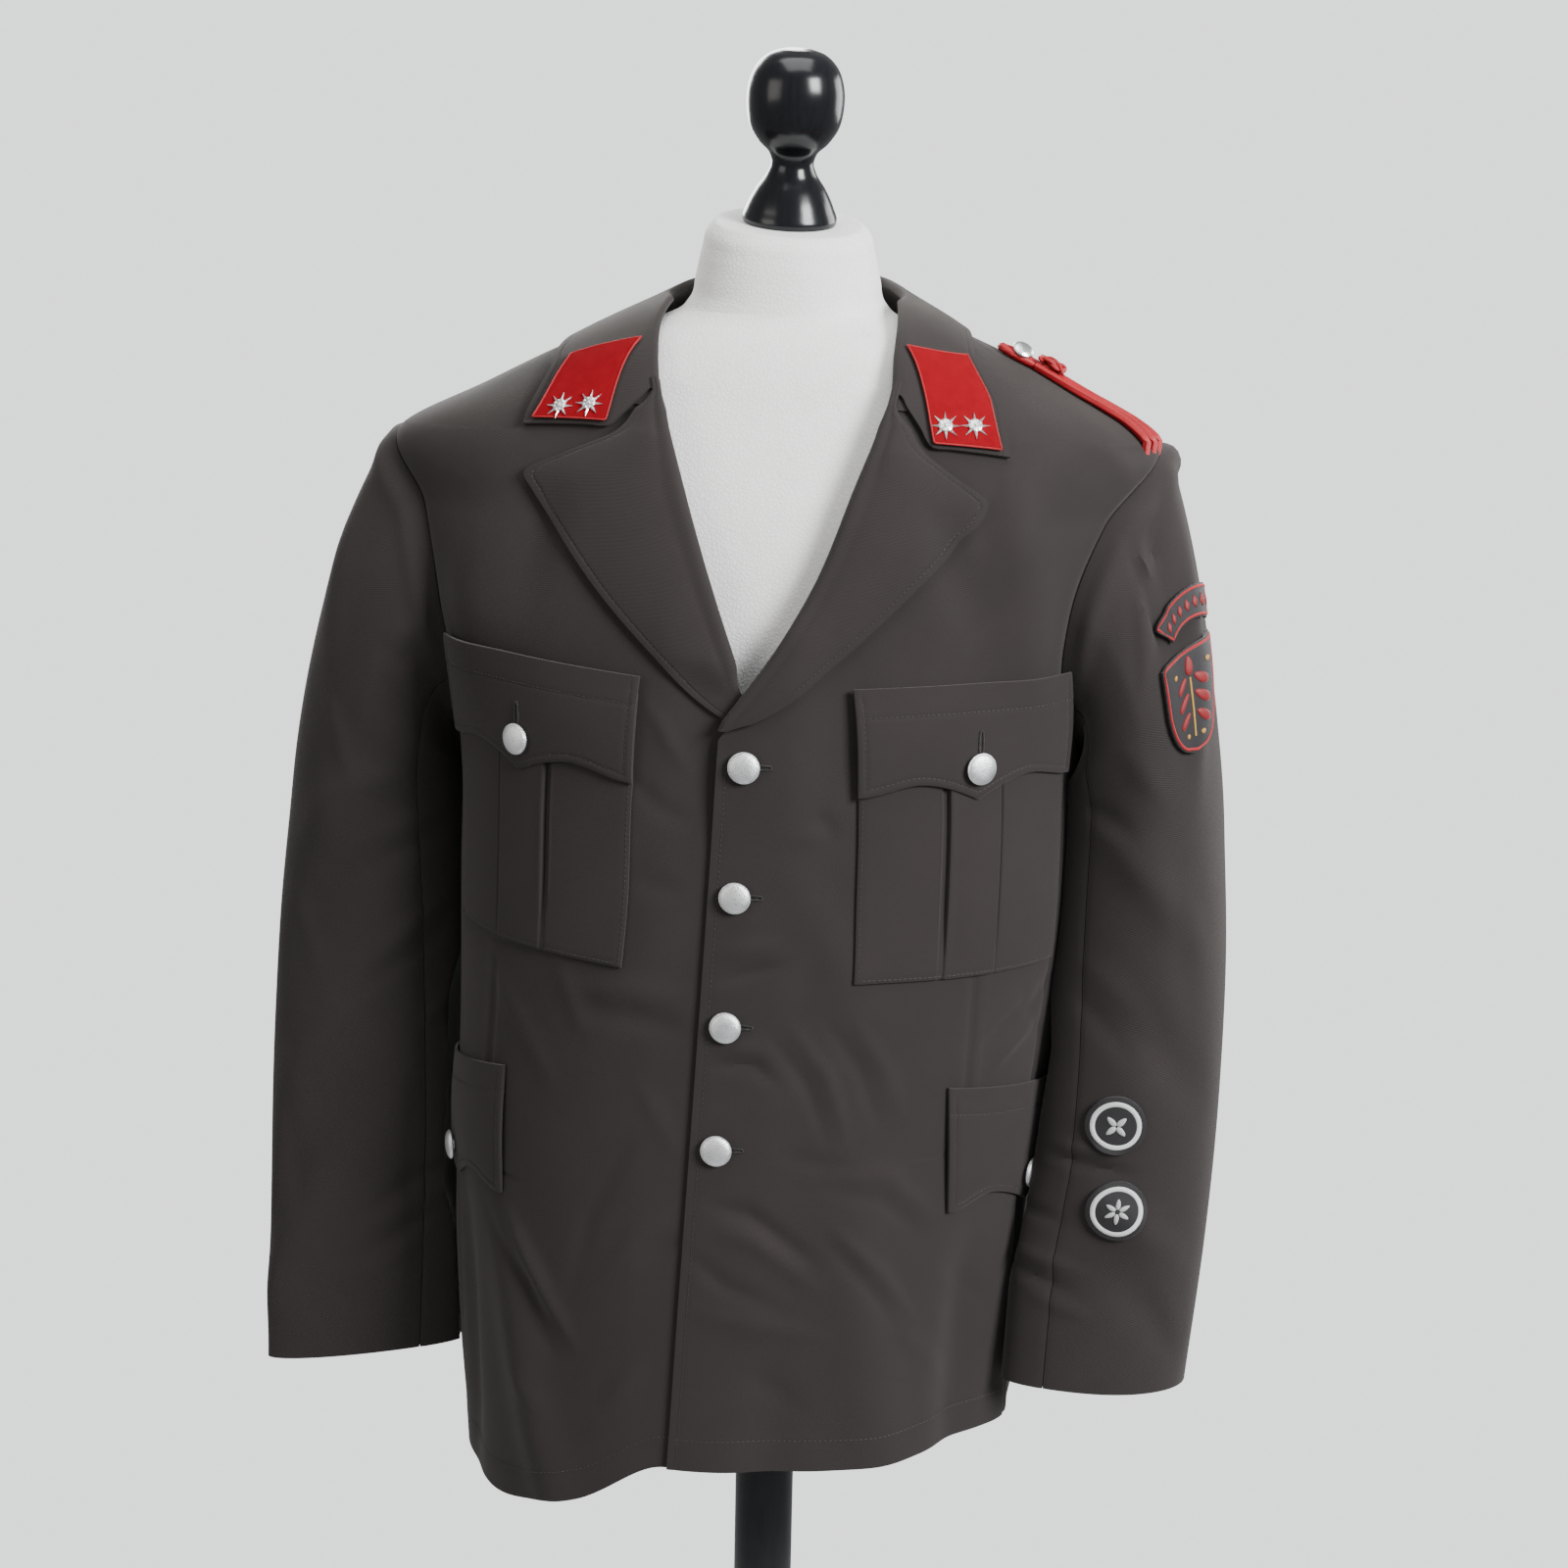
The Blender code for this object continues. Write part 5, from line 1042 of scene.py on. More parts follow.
def panel(side, front):
    """A front or back, from the hem to the shoulder seam and the neck."""
    top = seam_top(front)
    low, high = rows_of(front)
    count, width = (98, 0.34) if front else (56, 0.28)
    across = spaced(count, width)
    place = int(len(across) * 0.66)
    grid_angle, grid_z, dart = [], [], []
    for share, z in [(s, HEM_FRONT + s * (top - HEM_FRONT)) for s in low] + [(1.0, z) for z in high]:
        away = -SEAM_ANGLE if front else SEAM_ANGLE
        edge = float(side_edge(z, front)) + away
        if z >= SHOULDER - 1e-6:
            edge = math.pi / 2 + math.copysign(SEAM_GAP / 2 / float(BODY["half_width"](z)), away)
        if front:
            free = float(front_angle(front_edge(z, side), z))
        else:
            free = side * (math.pi - SEAM_GAP / 2 / float(BODY["back"](z)))
        shares = across.copy()
        depth = 0.0
        if front and DART_FROM - 0.02 < z < DART_TO + 0.02:
            aim, depth = dart_share(z, side)
            aim = (aim - free) / (side * edge - free)
            pull = 1 - ease(np.abs(np.arange(len(shares)) - place) / 16.0)
            shares = shares + (aim - shares[place]) * pull
        angle = free + shares * (side * edge - free)
        grid_angle.append(angle)
        grid_z.append(z + (1 - share) * (hem(angle) - HEM_FRONT))
        dart.append(depth)
    angle, z = np.array(grid_angle), np.array(grid_z)
    points = body_point(angle, z)
    lift = layer(points[..., 0], z, side) if front else np.zeros_like(z)
    along = row_lengths(points)
    from_seam = along[:, -1:] - along
    armhole_rows = ease((z[:, -1:] - top) / 0.006) * (1 - ease((z[:, -1:] - SHOULDER) / 0.004))
    lift = lift + dip(from_seam) + armhole_rows * dip(from_seam, ARMHOLE_DIP, ARMHOLE_SOFT)
    lift = lift + hem_relief(z - hem(angle))
    if front:
        lift = lift - EDGE_STITCH_DEPTH * bell(along - EDGE_STITCH, 0.0011) * (z < BREAK - 0.01)
        columns_off = np.arange(len(across)) - place
        lift = lift - DART_DEPTH * bell(columns_off[None, :], 1.0) * np.array(dart)[:, None]
    else:
        lift = lift + dip(along)
    name = f"{'front' if front else 'back'}_{WORD[side]}"
    outer = body_sheet(f"cloth_{name}", angle, z, lift, CLOTH, CLOTHS["body"], [name])
    hem_line = inset_line(outer.transpose(1, 0, 2), HEM_TURN_UP)
    lines = [tuple(values[4:-4] for values in hem_line)]
    if front and side > 0:
        below = z[:, 0] < BREAK - 0.012
        edge_line = inset_line(outer, EDGE_STITCH)
        lines.append(tuple(values[below] for values in edge_line))
    stitches(f"stitches_{name}", lines)


SIDE_WIDTH = 0.11


def side_panel(side):
    """The panel under the arm, from the hem to the armhole."""
    shares = spaced(26, SIDE_WIDTH)
    across = SIDE_SEAM_FRONT + SEAM_ANGLE + shares * (SIDE_SEAM_BACK - SIDE_SEAM_FRONT - 2 * SEAM_ANGLE)
    close_rows = [0.0012, 0.003, 0.048, 0.051, 0.054, 0.997, 0.9985]  # at the hem, its stitches, the armhole
    up = np.unique(np.concatenate([LOW_SHARES, close_rows]))[:, None]
    angle = side * np.tile(across, (len(up), 1))
    top = armhole_floor(np.abs(angle)) - SEAM_GAP
    z = hem(angle) + up * (top - hem(angle))
    edge = np.minimum(shares, 1 - shares)[None, :] * SIDE_WIDTH
    lift = dip(edge) + dip((1 - up) * 0.5) + hem_relief(z - hem(angle))
    name = f"side_{WORD[side]}"
    outer = body_sheet(f"cloth_{name}", angle, z, lift, CLOTH, CLOTHS["body"], [name])
    hem_line = inset_line(outer.transpose(1, 0, 2), HEM_TURN_UP)
    stitches(f"stitches_{name}", [tuple(values[3:-3] for values in hem_line)])


# Lapels and collar


GORGE_X = 0.087
GORGE_CLOTH = 0.0006
GORGE_RISE = 0.0050  # how much higher the lapel's top is at the roll line than at the collar's corner


def gorge_height(side):
    return GORGE + COLLAR_LEAN * side * GORGE_X


def gorge_cloth(side):
    """The cloth that shows at the bottom of the seam between lapel and collar."""
    up = np.linspace(-0.009, 0.010, 8)[:, None]
    across = np.linspace(-0.001, 0.046, 24)[None, :]
    height = gorge_height(side) + up + 0 * across
    x = roll_x(height, side) + side * across
    low = height - COLLAR_LEAN * x
    lift = layer(x, low, side) + LAY_GAP + 0.0003
    name = f"cloth_gorge_{WORD[side]}"
    body_sheet(name, front_angle(x, low), low, lift, GORGE_CLOTH, CLOTHS["lapel"], bevel=0.0)


# Distances from a lapel's edge with a column of points: round its stitching and at the edge
STITCH_STEPS = (0.0012, 0.0006, 0.0, -0.0006, -0.0012)
LAPEL_EDGE_SPOTS = (*(EDGE_STITCH + step for step in STITCH_STEPS), 0.0016, 0.0007)


def lapel(side):
    """The front folded back along the roll line: a curl round its edge, then a leaf that lies on it."""
    start = LAPEL_START if side > 0 else LAPEL_START + 0.003
    gorge = gorge_height(side) + 0.0028
    knots = [*np.linspace(start, 1.310, 7), 1.322, 1.336, 1.350, 1.363, 0.4 * 1.363 + 0.6 * gorge, gorge]
    z = smooth_line(np.array(knots)[:, None], 116)[:, 0]
    # Distance past the roll line and lift of the leaf's middle, for the curl and for the leaf's flat start
    curl = np.array([(0.0012, -0.0012), (-0.0016, -0.0008), (-0.0030, 0.0012), (-0.0016, 0.0034)])
    tucked = np.array([(0.0000, 0.0018), (0.0012, 0.0018), (0.0024, 0.0018), (0.0036, 0.0018)])
    leaf = np.linspace(0.06, 1.0, 16)
    top, under = [], []
    for height in z:
        edge = LAPEL_EDGE["middle"](height) + side * LAPEL_EDGE["half"](height)
        roll = roll_x(height - COLLAR_LEAN * roll_x(height, side), side)
        width = max(float(side * (edge - roll)), 0.004)
        flat = 0.0 if side > 0 else 1 - float(ease((height - 1.190) / 0.025))
        size = min(1.0, width / 0.012)
        path = [tuple(point) for point in curl * (1 - flat) + tucked * flat]
        for share in leaf:
            bulge = LAPEL_BULGE * math.sin(math.pi * share**0.6) * min(1.0, width / 0.03) * (1 - flat)
            rest = (LAY_GAP + 0.0006 + FACED / 2) * (1 - flat) + 0.0018 * flat
            path.append((0.0040 + share * width, rest + bulge))
        path = np.array(path) * [size if flat == 0 else 1, 1]
        path = smooth_line(path, 150)
        length = path_lengths(path)
        whole = length[-1]
        near = min(0.012, whole * 0.3)
        spots = np.concatenate([np.linspace(0, 0.012, 14) / 0.012 * near, np.linspace(near, whole, 44)[1:]])
        spots = np.sort(np.concatenate([spots, whole - np.minimum(LAPEL_EDGE_SPOTS, whole * 0.5)]))
        path = resampled(path, length, spots)
        run = np.gradient(path, axis=0) + [1e-9, 0]
        out = unit(np.stack([-run[:, 1], run[:, 0]], axis=1)) * FACED / 2
        groove = bell(whole - spots - EDGE_STITCH, 0.0009) * EDGE_STITCH_DEPTH * min(1.0, width / 0.03)
        for way, store in ((1, top), (-1, under)):
            across, lift = (path + way * out).T
            x = roll + side * across
            beside = np.clip(1 - side * (x - roll) / 0.045, 0, 1) ** 1.5
            low = height - COLLAR_LEAN * x + GORGE_RISE * float(ease((height - 1.356) / 0.022)) * beside
            lift = lift - (groove if way > 0 else 0)
            store.append(on_body(front_angle(x, low), low, lift + layer(x, low, side)))
    name = f"lapel_{WORD[side]}"
    sheet(f"cloth_{name}", np.array(top), np.array(under), CLOTHS["lapel"], [name])
    edge_line = inset_line(np.array(top), EDGE_STITCH, from_end=True)
    stitches(f"stitches_{name}", [tuple(values[14:-14] for values in edge_line)])


def neck_table(side):
    """The neck edge from centre back to the gorge: distances along it, then angles and heights."""
    back = np.linspace(math.pi, math.pi / 2, 40)
    heights = np.linspace(NECK, GORGE, 40)
    first = float(np.abs(front_angle(front_edge(NECK, side), NECK)))
    shoulder = np.linspace(math.pi / 2, first, 8)[1:-1]
    angle = np.concatenate([back, shoulder, np.abs(front_angle(front_edge(heights, side), heights))])
    z = np.concatenate([np.full(len(back) + 6, NECK), heights])
    along = path_lengths(body_point(side * angle, z))
    return along / along[-1], angle, z


NECK_EDGES = {side: neck_table(side) for side in (1, -1)}
COLLAR_COLUMNS = ("turn", "stand", "inward", "half", "middle", "edge_y", "edge_z", "front")
COLLAR_ROWS = (
    # Height of the fold over the seam, its way inwards, the outer edge on the body, then 1 at the front end
    (0.00, 0.030, 0.014, 0.000, 0.000, 0.106, 1.408, 0.0),
    (0.16, 0.029, 0.016, 0.042, -0.003, 0.103, 1.404, 0.0),
    (0.32, 0.026, 0.021, 0.082, -0.005, 0.084, 1.400, 0.0),
    (0.46, 0.021, 0.022, 0.114, -0.008, 0.048, 1.403, 0.0),
    (0.58, 0.013, 0.015, 0.133, -0.010, 0.000, 1.410, 0.0),
    (0.72, 0.008, 0.008, 0.142, -0.008, -0.055, 1.398, 0.15),
    (0.86, 0.003, 0.002, 0.146, -0.004, -0.080, 1.376, 0.6),
    (1.00, 0.000, 0.000, 0.156, 0.000, -0.100, 1.3505, 1.0),
)
COLLAR = columns_of(COLLAR_COLUMNS, COLLAR_ROWS)
COLLAR_REST = LAY_GAP + FACED / 2 + 0.0006
COLLAR_TURNS = np.linspace(-1, 1, 129)
FALL_SHARES = (0.12, 0.27, 0.42, 0.56, 0.70, 0.85, 1.0)


def neck_edge(turn):
    """A point of the neck edge, its normal and the way off the panel, for turns from right (-1) to left."""
    side = 1 if turn >= 0 else -1
    share, angles, heights = NECK_EDGES[side]

    def at(t):
        angle, z = np.interp(abs(t), share, angles), np.interp(abs(t), share, heights)
        return side * angle, z

    angle, z = at(turn)
    point, normal = body_point(angle, z), body_normal(angle, z)
    low, high = at(max(abs(turn) - 0.07, 0)), at(min(abs(turn) + 0.07, 1))
    along = unit(body_point(*high) - body_point(*low))
    return point, normal, unit(np.cross(normal, along)) * -side


def collar_section(turn):
    """The middle of the collar's cloth at a turn: seam, stand, fold, then the start and end of its fall."""
    side = 1.0 if turn >= 0 else -1.0
    t = abs(turn)
    point, normal, off = neck_edge(turn)
    front = float(COLLAR["front"](t))
    inward = unit(np.array([-point[0], -0.7 * point[1], 0.0]))
    up = np.array([0.0, 0.0, 1.0])
    stand, lean = float(COLLAR["stand"](t)), float(COLLAR["inward"](t))
    seam = point + off * 0.0022 - normal * (0.0010 + 0.0022 * front)
    fold = seam + up * stand + inward * lean + (off * 0.0012 + normal * 0.0030) * front
    rise = unit(fold - seam)
    x = side * float(COLLAR["half"](t)) + float(COLLAR["middle"](t)) * min(1.0, t / 0.1)
    z = float(COLLAR["edge_z"](t)) - COLLAR_LEAN * x * min(1.0, t / 0.6)
    y = float(COLLAR["edge_y"](t))
    angle = math.atan2(x - float(BODY["middle"](z)), -y)
    ends = float(ease((t - 0.72) / 0.14))
    edge = on_body(angle, z, COLLAR_REST) * ends + over_body(x, y, COLLAR_REST)[0] * (1 - ends)
    out = unit(np.array([edge[0] - fold[0], edge[1] - fold[1], 0.0]))
    over = out * (0.0046 - 0.0010 * front) + rise * 0.0002 + normal * 0.0016 * front
    return seam, fold, fold + over, edge, rise, out, front


def collar_path(turn, shares):
    seam, fold, start, edge, rise, out, front = collar_section(turn)
    top = (fold + start) / 2 + rise * 0.0014 * (1 - 0.4 * front)
    path = [seam, seam + (fold - seam) * 0.5, fold, top, start]
    side = 1.0 if turn >= 0 else -1.0
    x, z = side * COLLAR_NOTCH[0] + 0.008, COLLAR_NOTCH[1] - COLLAR_LEAN * (side * COLLAR_NOTCH[0])
    notch = on_body(front_angle(x, z), z, COLLAR_REST)
    for share in shares:
        straight = start + (edge - start) * share
        arch = 4 * share * (1 - share) * (1 - front)
        straight = straight + (out * 0.001 + np.array([0, 0, 0.001])) * arch
        if share < 0.42:
            bent = start + (notch - start) * share / 0.42
        else:
            bent = notch + (edge - notch) * (share - 0.42) / 0.58
        end = float(ease((abs(turn) - 0.86) / 0.14))
        path.append(straight * (1 - end) + bent * end)
    return np.array(path)


def collar_surface():
    """The middle of the collar's cloth by turn: seam, stand and fold, then the fall."""
    path = np.array([collar_path(turn, FALL_SHARES) for turn in COLLAR_TURNS])
    path[:, 5:] = pushed_off(path[:, 5:], COLLAR_REST)
    return path


def collar_out(middle, column):
    """The way out of the collar's cloth at each point. At its back, that column's way out is behind."""
    normal = unit(np.cross(np.gradient(middle, axis=0), np.gradient(middle, axis=1)))
    return normal * np.sign(normal[len(middle) // 2, column, 1])


COLLAR_MIDDLE = collar_surface()


def collar():
    """Stand and fall in one folded wall, from one front end round the neck to the other."""
    rows = []
    for path in COLLAR_MIDDLE:
        fine = smooth_line(path, 260)
        length = path_lengths(fine)
        fold = path_lengths(path)[2]
        edge = length[-1]
        spots = np.concatenate([
            np.linspace(0, max(fold - 0.004, 0.001), 7)[:-1],
            np.linspace(max(fold - 0.004, 0.001), fold + 0.012, 16)[:-1],
            np.linspace(fold + 0.012, edge - 0.0085, 22)[:-1],
            edge - np.array([0.0085, 0.0074, 0.0068, 0.0062, 0.0056, 0.0050, 0.0036, 0.0020, 0.0008, 0.0]),
        ])
        rows.append(resampled(fine, length, spots))
    centre = np.array(rows)
    out = collar_out(centre, -12)
    groove = np.zeros(centre.shape[1])
    groove[-8:-5] = (0.5, 1.0, 0.5)
    outer = centre + out * (FACED / 2 - EDGE_STITCH_DEPTH * groove[None, :, None])
    sheet("cloth_collar", outer, centre - out * FACED / 2, CLOTHS["collar"], ["collar"])
    stitches("stitches_collar", [inset_line(outer, EDGE_STITCH, from_end=True)])


def between(grid, rows, cols, row, col):
    """The grid's values at a row and a column that may fall between its own."""
    i = np.clip(np.searchsorted(rows, row) - 1, 0, len(rows) - 2)
    j = np.clip(np.searchsorted(cols, col) - 1, 0, len(cols) - 2)
    u = ((row - rows[i]) / (rows[i + 1] - rows[i]))[..., None]
    v = ((col - cols[j]) / (cols[j + 1] - cols[j]))[..., None]
    near = grid[i, j] * (1 - v) + grid[i, j + 1] * v
    far = grid[i + 1, j] * (1 - v) + grid[i + 1, j + 1] * v
    return near * (1 - u) + far * u


def on_collar(turn, share, lift):
    """Points over the outer face of the collar's fall."""
    turn, share = np.broadcast_arrays(np.asarray(turn, float), np.asarray(share, float))
    out = collar_out(COLLAR_MIDDLE, 7)
    shares = np.array((0.0,) + FALL_SHARES)
    points = between((COLLAR_MIDDLE + out * FACED / 2)[:, 4:], COLLAR_TURNS, shares, turn, share)
    normals = unit(between(out[:, 4:], COLLAR_TURNS, shares, turn, share))
    return points + normals * np.asarray(lift)[..., None], normals


def corner_grid(corners, rows, cols):
    """A grid between four corners, each a pair of numbers."""
    u = np.linspace(0, 1, rows)[:, None, None]
    v = np.linspace(0, 1, cols)[None, :, None]
    a, b, c, d = (np.array(corner, float) for corner in corners)
    grid = (a * (1 - v) + b * v) * (1 - u) + (d * (1 - v) + c * v) * u
    return grid[..., 0], grid[..., 1]


STAR_RAYS = 8
STAR_ROSETTE = 0.0046
STAR_DISC = ((1.0, 0.0003), (1.0, 0.0012), (0.9, 0.0016), (0.3, 0.0017))  # share of its radius, height
STAR_BEAD_RING = 0.74
STAR_BEAD = 0.0012
STAR_BEAD_MIDDLE = 0.0017
STAR_BEAD_FOOT = 0.0009
STAR_HEIGHTS = {"tip": 0.0005, "waist": 0.0003, "middle": 0.0019}


def star_rays(name, place, node):
    """Narrow rays, each with a ridge."""
    count = 2 * STAR_RAYS
    tip = np.arange(count) % 2 == 0
    radius = np.where(tip, STAR_RADIUS, STAR_WAIST)
    height = np.where(tip, STAR_HEIGHTS["tip"], STAR_HEIGHTS["waist"])
    x, y = radius * np.sin(full_turn(count)), radius * np.cos(full_turn(count))
    points = [*stack(x, y, 0.0), *stack(x, y, height), (0, 0, STAR_HEIGHTS["middle"])]
    faces = [list(range(count))[::-1], *ring_faces(2, count), *fan_faces(count, count, 2 * count)]
    add_piece(f"metal_{name}", place(np.array(points, float)), faces, SILVER, [node], sharp=12)


def star_rosette(name, place):
    """A disc with a ring of beads and a larger bead in the middle."""
    around = STAR_ROSETTE * STAR_BEAD_RING
    turns = full_turn(STAR_RAYS) + math.pi / STAR_RAYS
    spots = [(0.0, 0.0, STAR_BEAD_MIDDLE)]
    spots += [(around * math.sin(a), around * math.cos(a), STAR_BEAD) for a in turns]
    rises = np.radians([0, 28, 56])
    rings, count = len(rises), 12
    points, faces = [], []
    for x, y, size in spots:
        first = len(points)
        for rise in rises:
            wide, height = size * math.cos(rise), STAR_BEAD_FOOT + size * math.sin(rise)
            points += [(x + wide * math.cos(a), y + wide * math.sin(a), height) for a in full_turn(count)]
        points.append((x, y, STAR_BEAD_FOOT + size))
        faces += ring_faces(rings, count, first)
        faces += fan_faces(first + (rings - 1) * count, count, first + rings * count)
        faces.append(list(range(first, first + count))[::-1])
    add_piece(f"metal_{name}_rosette", place(np.array(points)), faces, SILVER)
    disc = [(STAR_ROSETTE * share, height) for share, height in STAR_DISC]
    turned_solid(f"metal_{name}_disc", disc, 32, place, SILVER)


def patches():
    """The felt patches on the collar's front ends, with two stars each."""
    down = np.linspace(0, 1, 34)[:, None]
    across = np.linspace(0, 1, 24)[None, :]
    for word in WAY:
        turn, share = corner_grid(PATCH_CORNERS[word], 34, 24)
        rim = np.minimum(np.minimum(down, 1 - down) * 2.0, np.minimum(across, 1 - across) * 1.3)
        puff = 0.0003 * ease(rim / 0.10)
        outer, _ = on_collar(turn, share, PATCH_GAP + FELT + puff)
        inner, _ = on_collar(turn, share, PATCH_GAP)
        sheet(f"felt_patch_{word}", outer, inner, FELT_LOOK, [f"collar_patch_{word}"])
        for place_word, (turn, share) in STAR_PLACES[word].items():
            point, normal = on_collar(turn, share, PATCH_GAP + FELT + 0.0003)
            name = f"star_{word}_{place_word}"
            star_rays(name, frame_at(point, normal, (0, 0, 1)), name)
            star_rosette(name, frame_at(point, normal, (0, 0, 1)))
        rim_line = [outer[0], outer[1:-1, -1], outer[-1][::-1], outer[1:-1, 0][::-1]]
        tube(f"felt_rim_{word}", np.concatenate(rim_line), PATCH_RIM, 8, CORD_LOOK, closed=True)


# Sleeves


def sleeve_ring(side, phi, share):
    """A point of the sleeve below its head."""
    table = SLEEVES[side]
    way = WAY[side]
    turn = np.radians(table["turn"](share))
    out = stack(way * np.cos(turn), np.sin(turn), table["rise_out"](share))
    forward = stack(way * np.sin(turn), -np.cos(turn), table["rise_front"](share))
    middle = stack(way * table["x"](share), table["y"](share), table["z"](share))
    wide = table["half_width"](share) * np.sin(phi)
    deep = table["half_depth"](share) * np.cos(phi)
    return middle + out * wide[..., None] + forward * deep[..., None]


def sleeve_base(side, phi, share):
    """A point of the sleeve without its folds. Smooth lines lead from the armhole to the upper arm."""
    way = WAY[side]
    phi, share = np.broadcast_arrays(np.asarray(phi, float), np.asarray(share, float))
    angle, height = armhole(phi, way, inset=SLEEVE_INSET)
    start = body_point(angle, height) + np.array([way * 0.0008, 0, 0])
    over, under, beside = np.maximum(np.sin(phi), 0), np.maximum(-np.sin(phi), 0), np.abs(np.cos(phi))
    outwards = SLEEVE_OUT[side] * over + 0.80 * beside + 0.90 * under
    leave = unit(stack(way * outwards, -0.35 * np.cos(phi), -0.75 * over - 0.45 * beside - 0.30 * under))
    below = np.maximum(share, SLEEVE_TOP)
    end = sleeve_ring(side, phi, np.full_like(share, SLEEVE_TOP))
    arrive = unit(sleeve_ring(side, phi, np.full_like(share, SLEEVE_TOP + 0.02)) - end)
    reach = np.linalg.norm(end - start, axis=-1)
    t = np.clip(share / SLEEVE_TOP, 0, 1)[..., None]
    first = leave * (reach * (0.30 - 0.15 * over))[..., None]
    last = arrive * (reach * 0.36)[..., None]
    points = (start, start + first, end - last, end)
    weights = ((1 - t) ** 3, 3 * t * (1 - t) ** 2, 3 * t**2 * (1 - t), t**3)
    head = sum(point * weight for point, weight in zip(points, weights))
    return np.where((share < SLEEVE_TOP)[..., None], head, sleeve_ring(side, phi, below))


def sleeve_fold(side, phi, share):
    return SLEEVE_RELIEF[side](phi, share) * ease(share / 0.08)


def sleeve_normal(side, phi, share, point=sleeve_base):
    step = 0.01
    low, high = np.maximum(share - step, 0.0005), np.minimum(share + step, 0.9995)
    around = point(side, phi + step, share) - point(side, phi - step, share)
    along = point(side, phi, high) - point(side, phi, low)
    way = WAY[side]
    return unit(np.cross(along, around)) * way


def sleeve_point(side, phi, share):
    """A point of the sleeve's outer face. Its inner side rests against the body."""
    phi, share = np.broadcast_arrays(np.asarray(phi, float), np.asarray(share, float))
    rise = sleeve_fold(side, phi, share)[..., None]
    points = sleeve_base(side, phi, share) + sleeve_normal(side, phi, share) * rise
    way = WAY[side]
    lean = bell(turned(phi - SLEEVE_LEAN_PHI), SLEEVE_LEAN_WIDTH)
    points[..., 0] -= way * lean * np.interp(share, SLEEVE_LEAN_SHARES, SLEEVE_LEAN[side])
    z = points[..., 2]
    flaps = (1 - ease((z - 0.93) / 0.05)) * ease((z - 0.75) / 0.05)
    clear = (SLEEVE_CLEAR + FLAP_CLEAR * flaps) * ease(share / 0.018)
    return pushed_off(points, clear)


def on_sleeve(side, phi, share, lift):
    normal = sleeve_normal(side, phi, share, sleeve_point)
    return sleeve_point(side, phi, share) + normal * np.asarray(lift)[..., None]


def sleeve_rows():
    head = np.array([0.0, 0.004, 0.010, 0.018, 0.027])
    return np.concatenate([head, np.linspace(0.036, 0.985, 140), [0.99, 0.994, 0.997, 0.999, 1.0]])


TUCK = 0.0026


def sleeve(side, name, start, end, cols, width):
    """One of a sleeve's two pieces, between its seams."""
    across = spaced(cols, width)
    phi = (start + SLEEVE_SEAM_ANGLE + across * (end - start - 2 * SLEEVE_SEAM_ANGLE))[None, :]
    phi, share = np.broadcast_arrays(phi, sleeve_rows()[:, None])
    edge = np.minimum(across, 1 - across)[None, :] * width
    roll = bell(share - 0.034, 0.020) * ease((np.sin(phi) + 0.45) / 0.5)
    lift = (dip(edge, SLEEVE_SEAM_DIP) + HEAD_ROLL * roll)[..., None]
    points, normal = sleeve_point(side, phi, share), sleeve_normal(side, phi, share, sleeve_point)
    outer, inner = points + normal * lift, points + normal * (lift - CLOTH)
    # The head's edge is turned under the panels
    tuck = (1 - ease(share / 0.016))[..., None]
    inwards = np.array([-WAY[side] * TUCK, 0, 0]) * tuck
    return sheet(f"cloth_sleeve_{side}_{name}", outer + inwards, inner + inwards, CLOTHS["sleeve"],
                 [f"sleeve_{side}_{name}"])


ALLOWANCE = 0.0013  # radius of the folded-in cloth behind a seam
ARMHOLE_ALLOWANCE = 0.0022


def sleeve_seams(side):
    """The folded-in cloth behind a sleeve's two seams and round its armhole."""
    share = np.linspace(0.03, 0.9985, 150)
    for word, phi in (("back", UPPER_SLEEVE_TO), ("front", UPPER_SLEEVE_FROM)):
        behind = np.full_like(share, -CLOTH - ALLOWANCE - 0.0002)
        line = on_sleeve(side, np.full_like(share, phi), share, behind)
        tube(f"seam_sleeve_{side}_{word}", line, ALLOWANCE, 8, CLOTHS["body"], up=(0, 1, 0.2))
    turn = full_turn(160)
    angle, z = armhole(turn, WAY[side], inset=SLEEVE_INSET / 2)
    line = on_body(angle, z, np.full_like(z, -CLOTH - ARMHOLE_ALLOWANCE - 0.0002))
    tube(f"seam_armhole_{side}", line, ARMHOLE_ALLOWANCE, 8, CLOTHS["body"], closed=True,
         up=(1, 0, 0))


def sleeve_spot(spot, across, along, lift):
    """Points over the left upper sleeve, at distances across and down it from a spot."""
    phi0, share0, turn = math.radians(spot[0]), spot[1], math.radians(spot[2])
    sin, cos = math.sin(turn), math.cos(turn)
    across, along = across * cos + along * sin, along * cos - across * sin
    turned_by, along_by = 0.20, 0.02
    after, before = (sleeve_point("left", phi0 + step, share0) for step in (turned_by, -turned_by))
    wide = np.linalg.norm(after - before)
    below, above = (sleeve_base("left", phi0, share0 + step) for step in (along_by, -along_by))
    long = np.linalg.norm(below - above)
    phi, share = phi0 + across * 2 * turned_by / wide, share0 + along * 2 * along_by / long
    return on_sleeve("left", phi, share, lift)


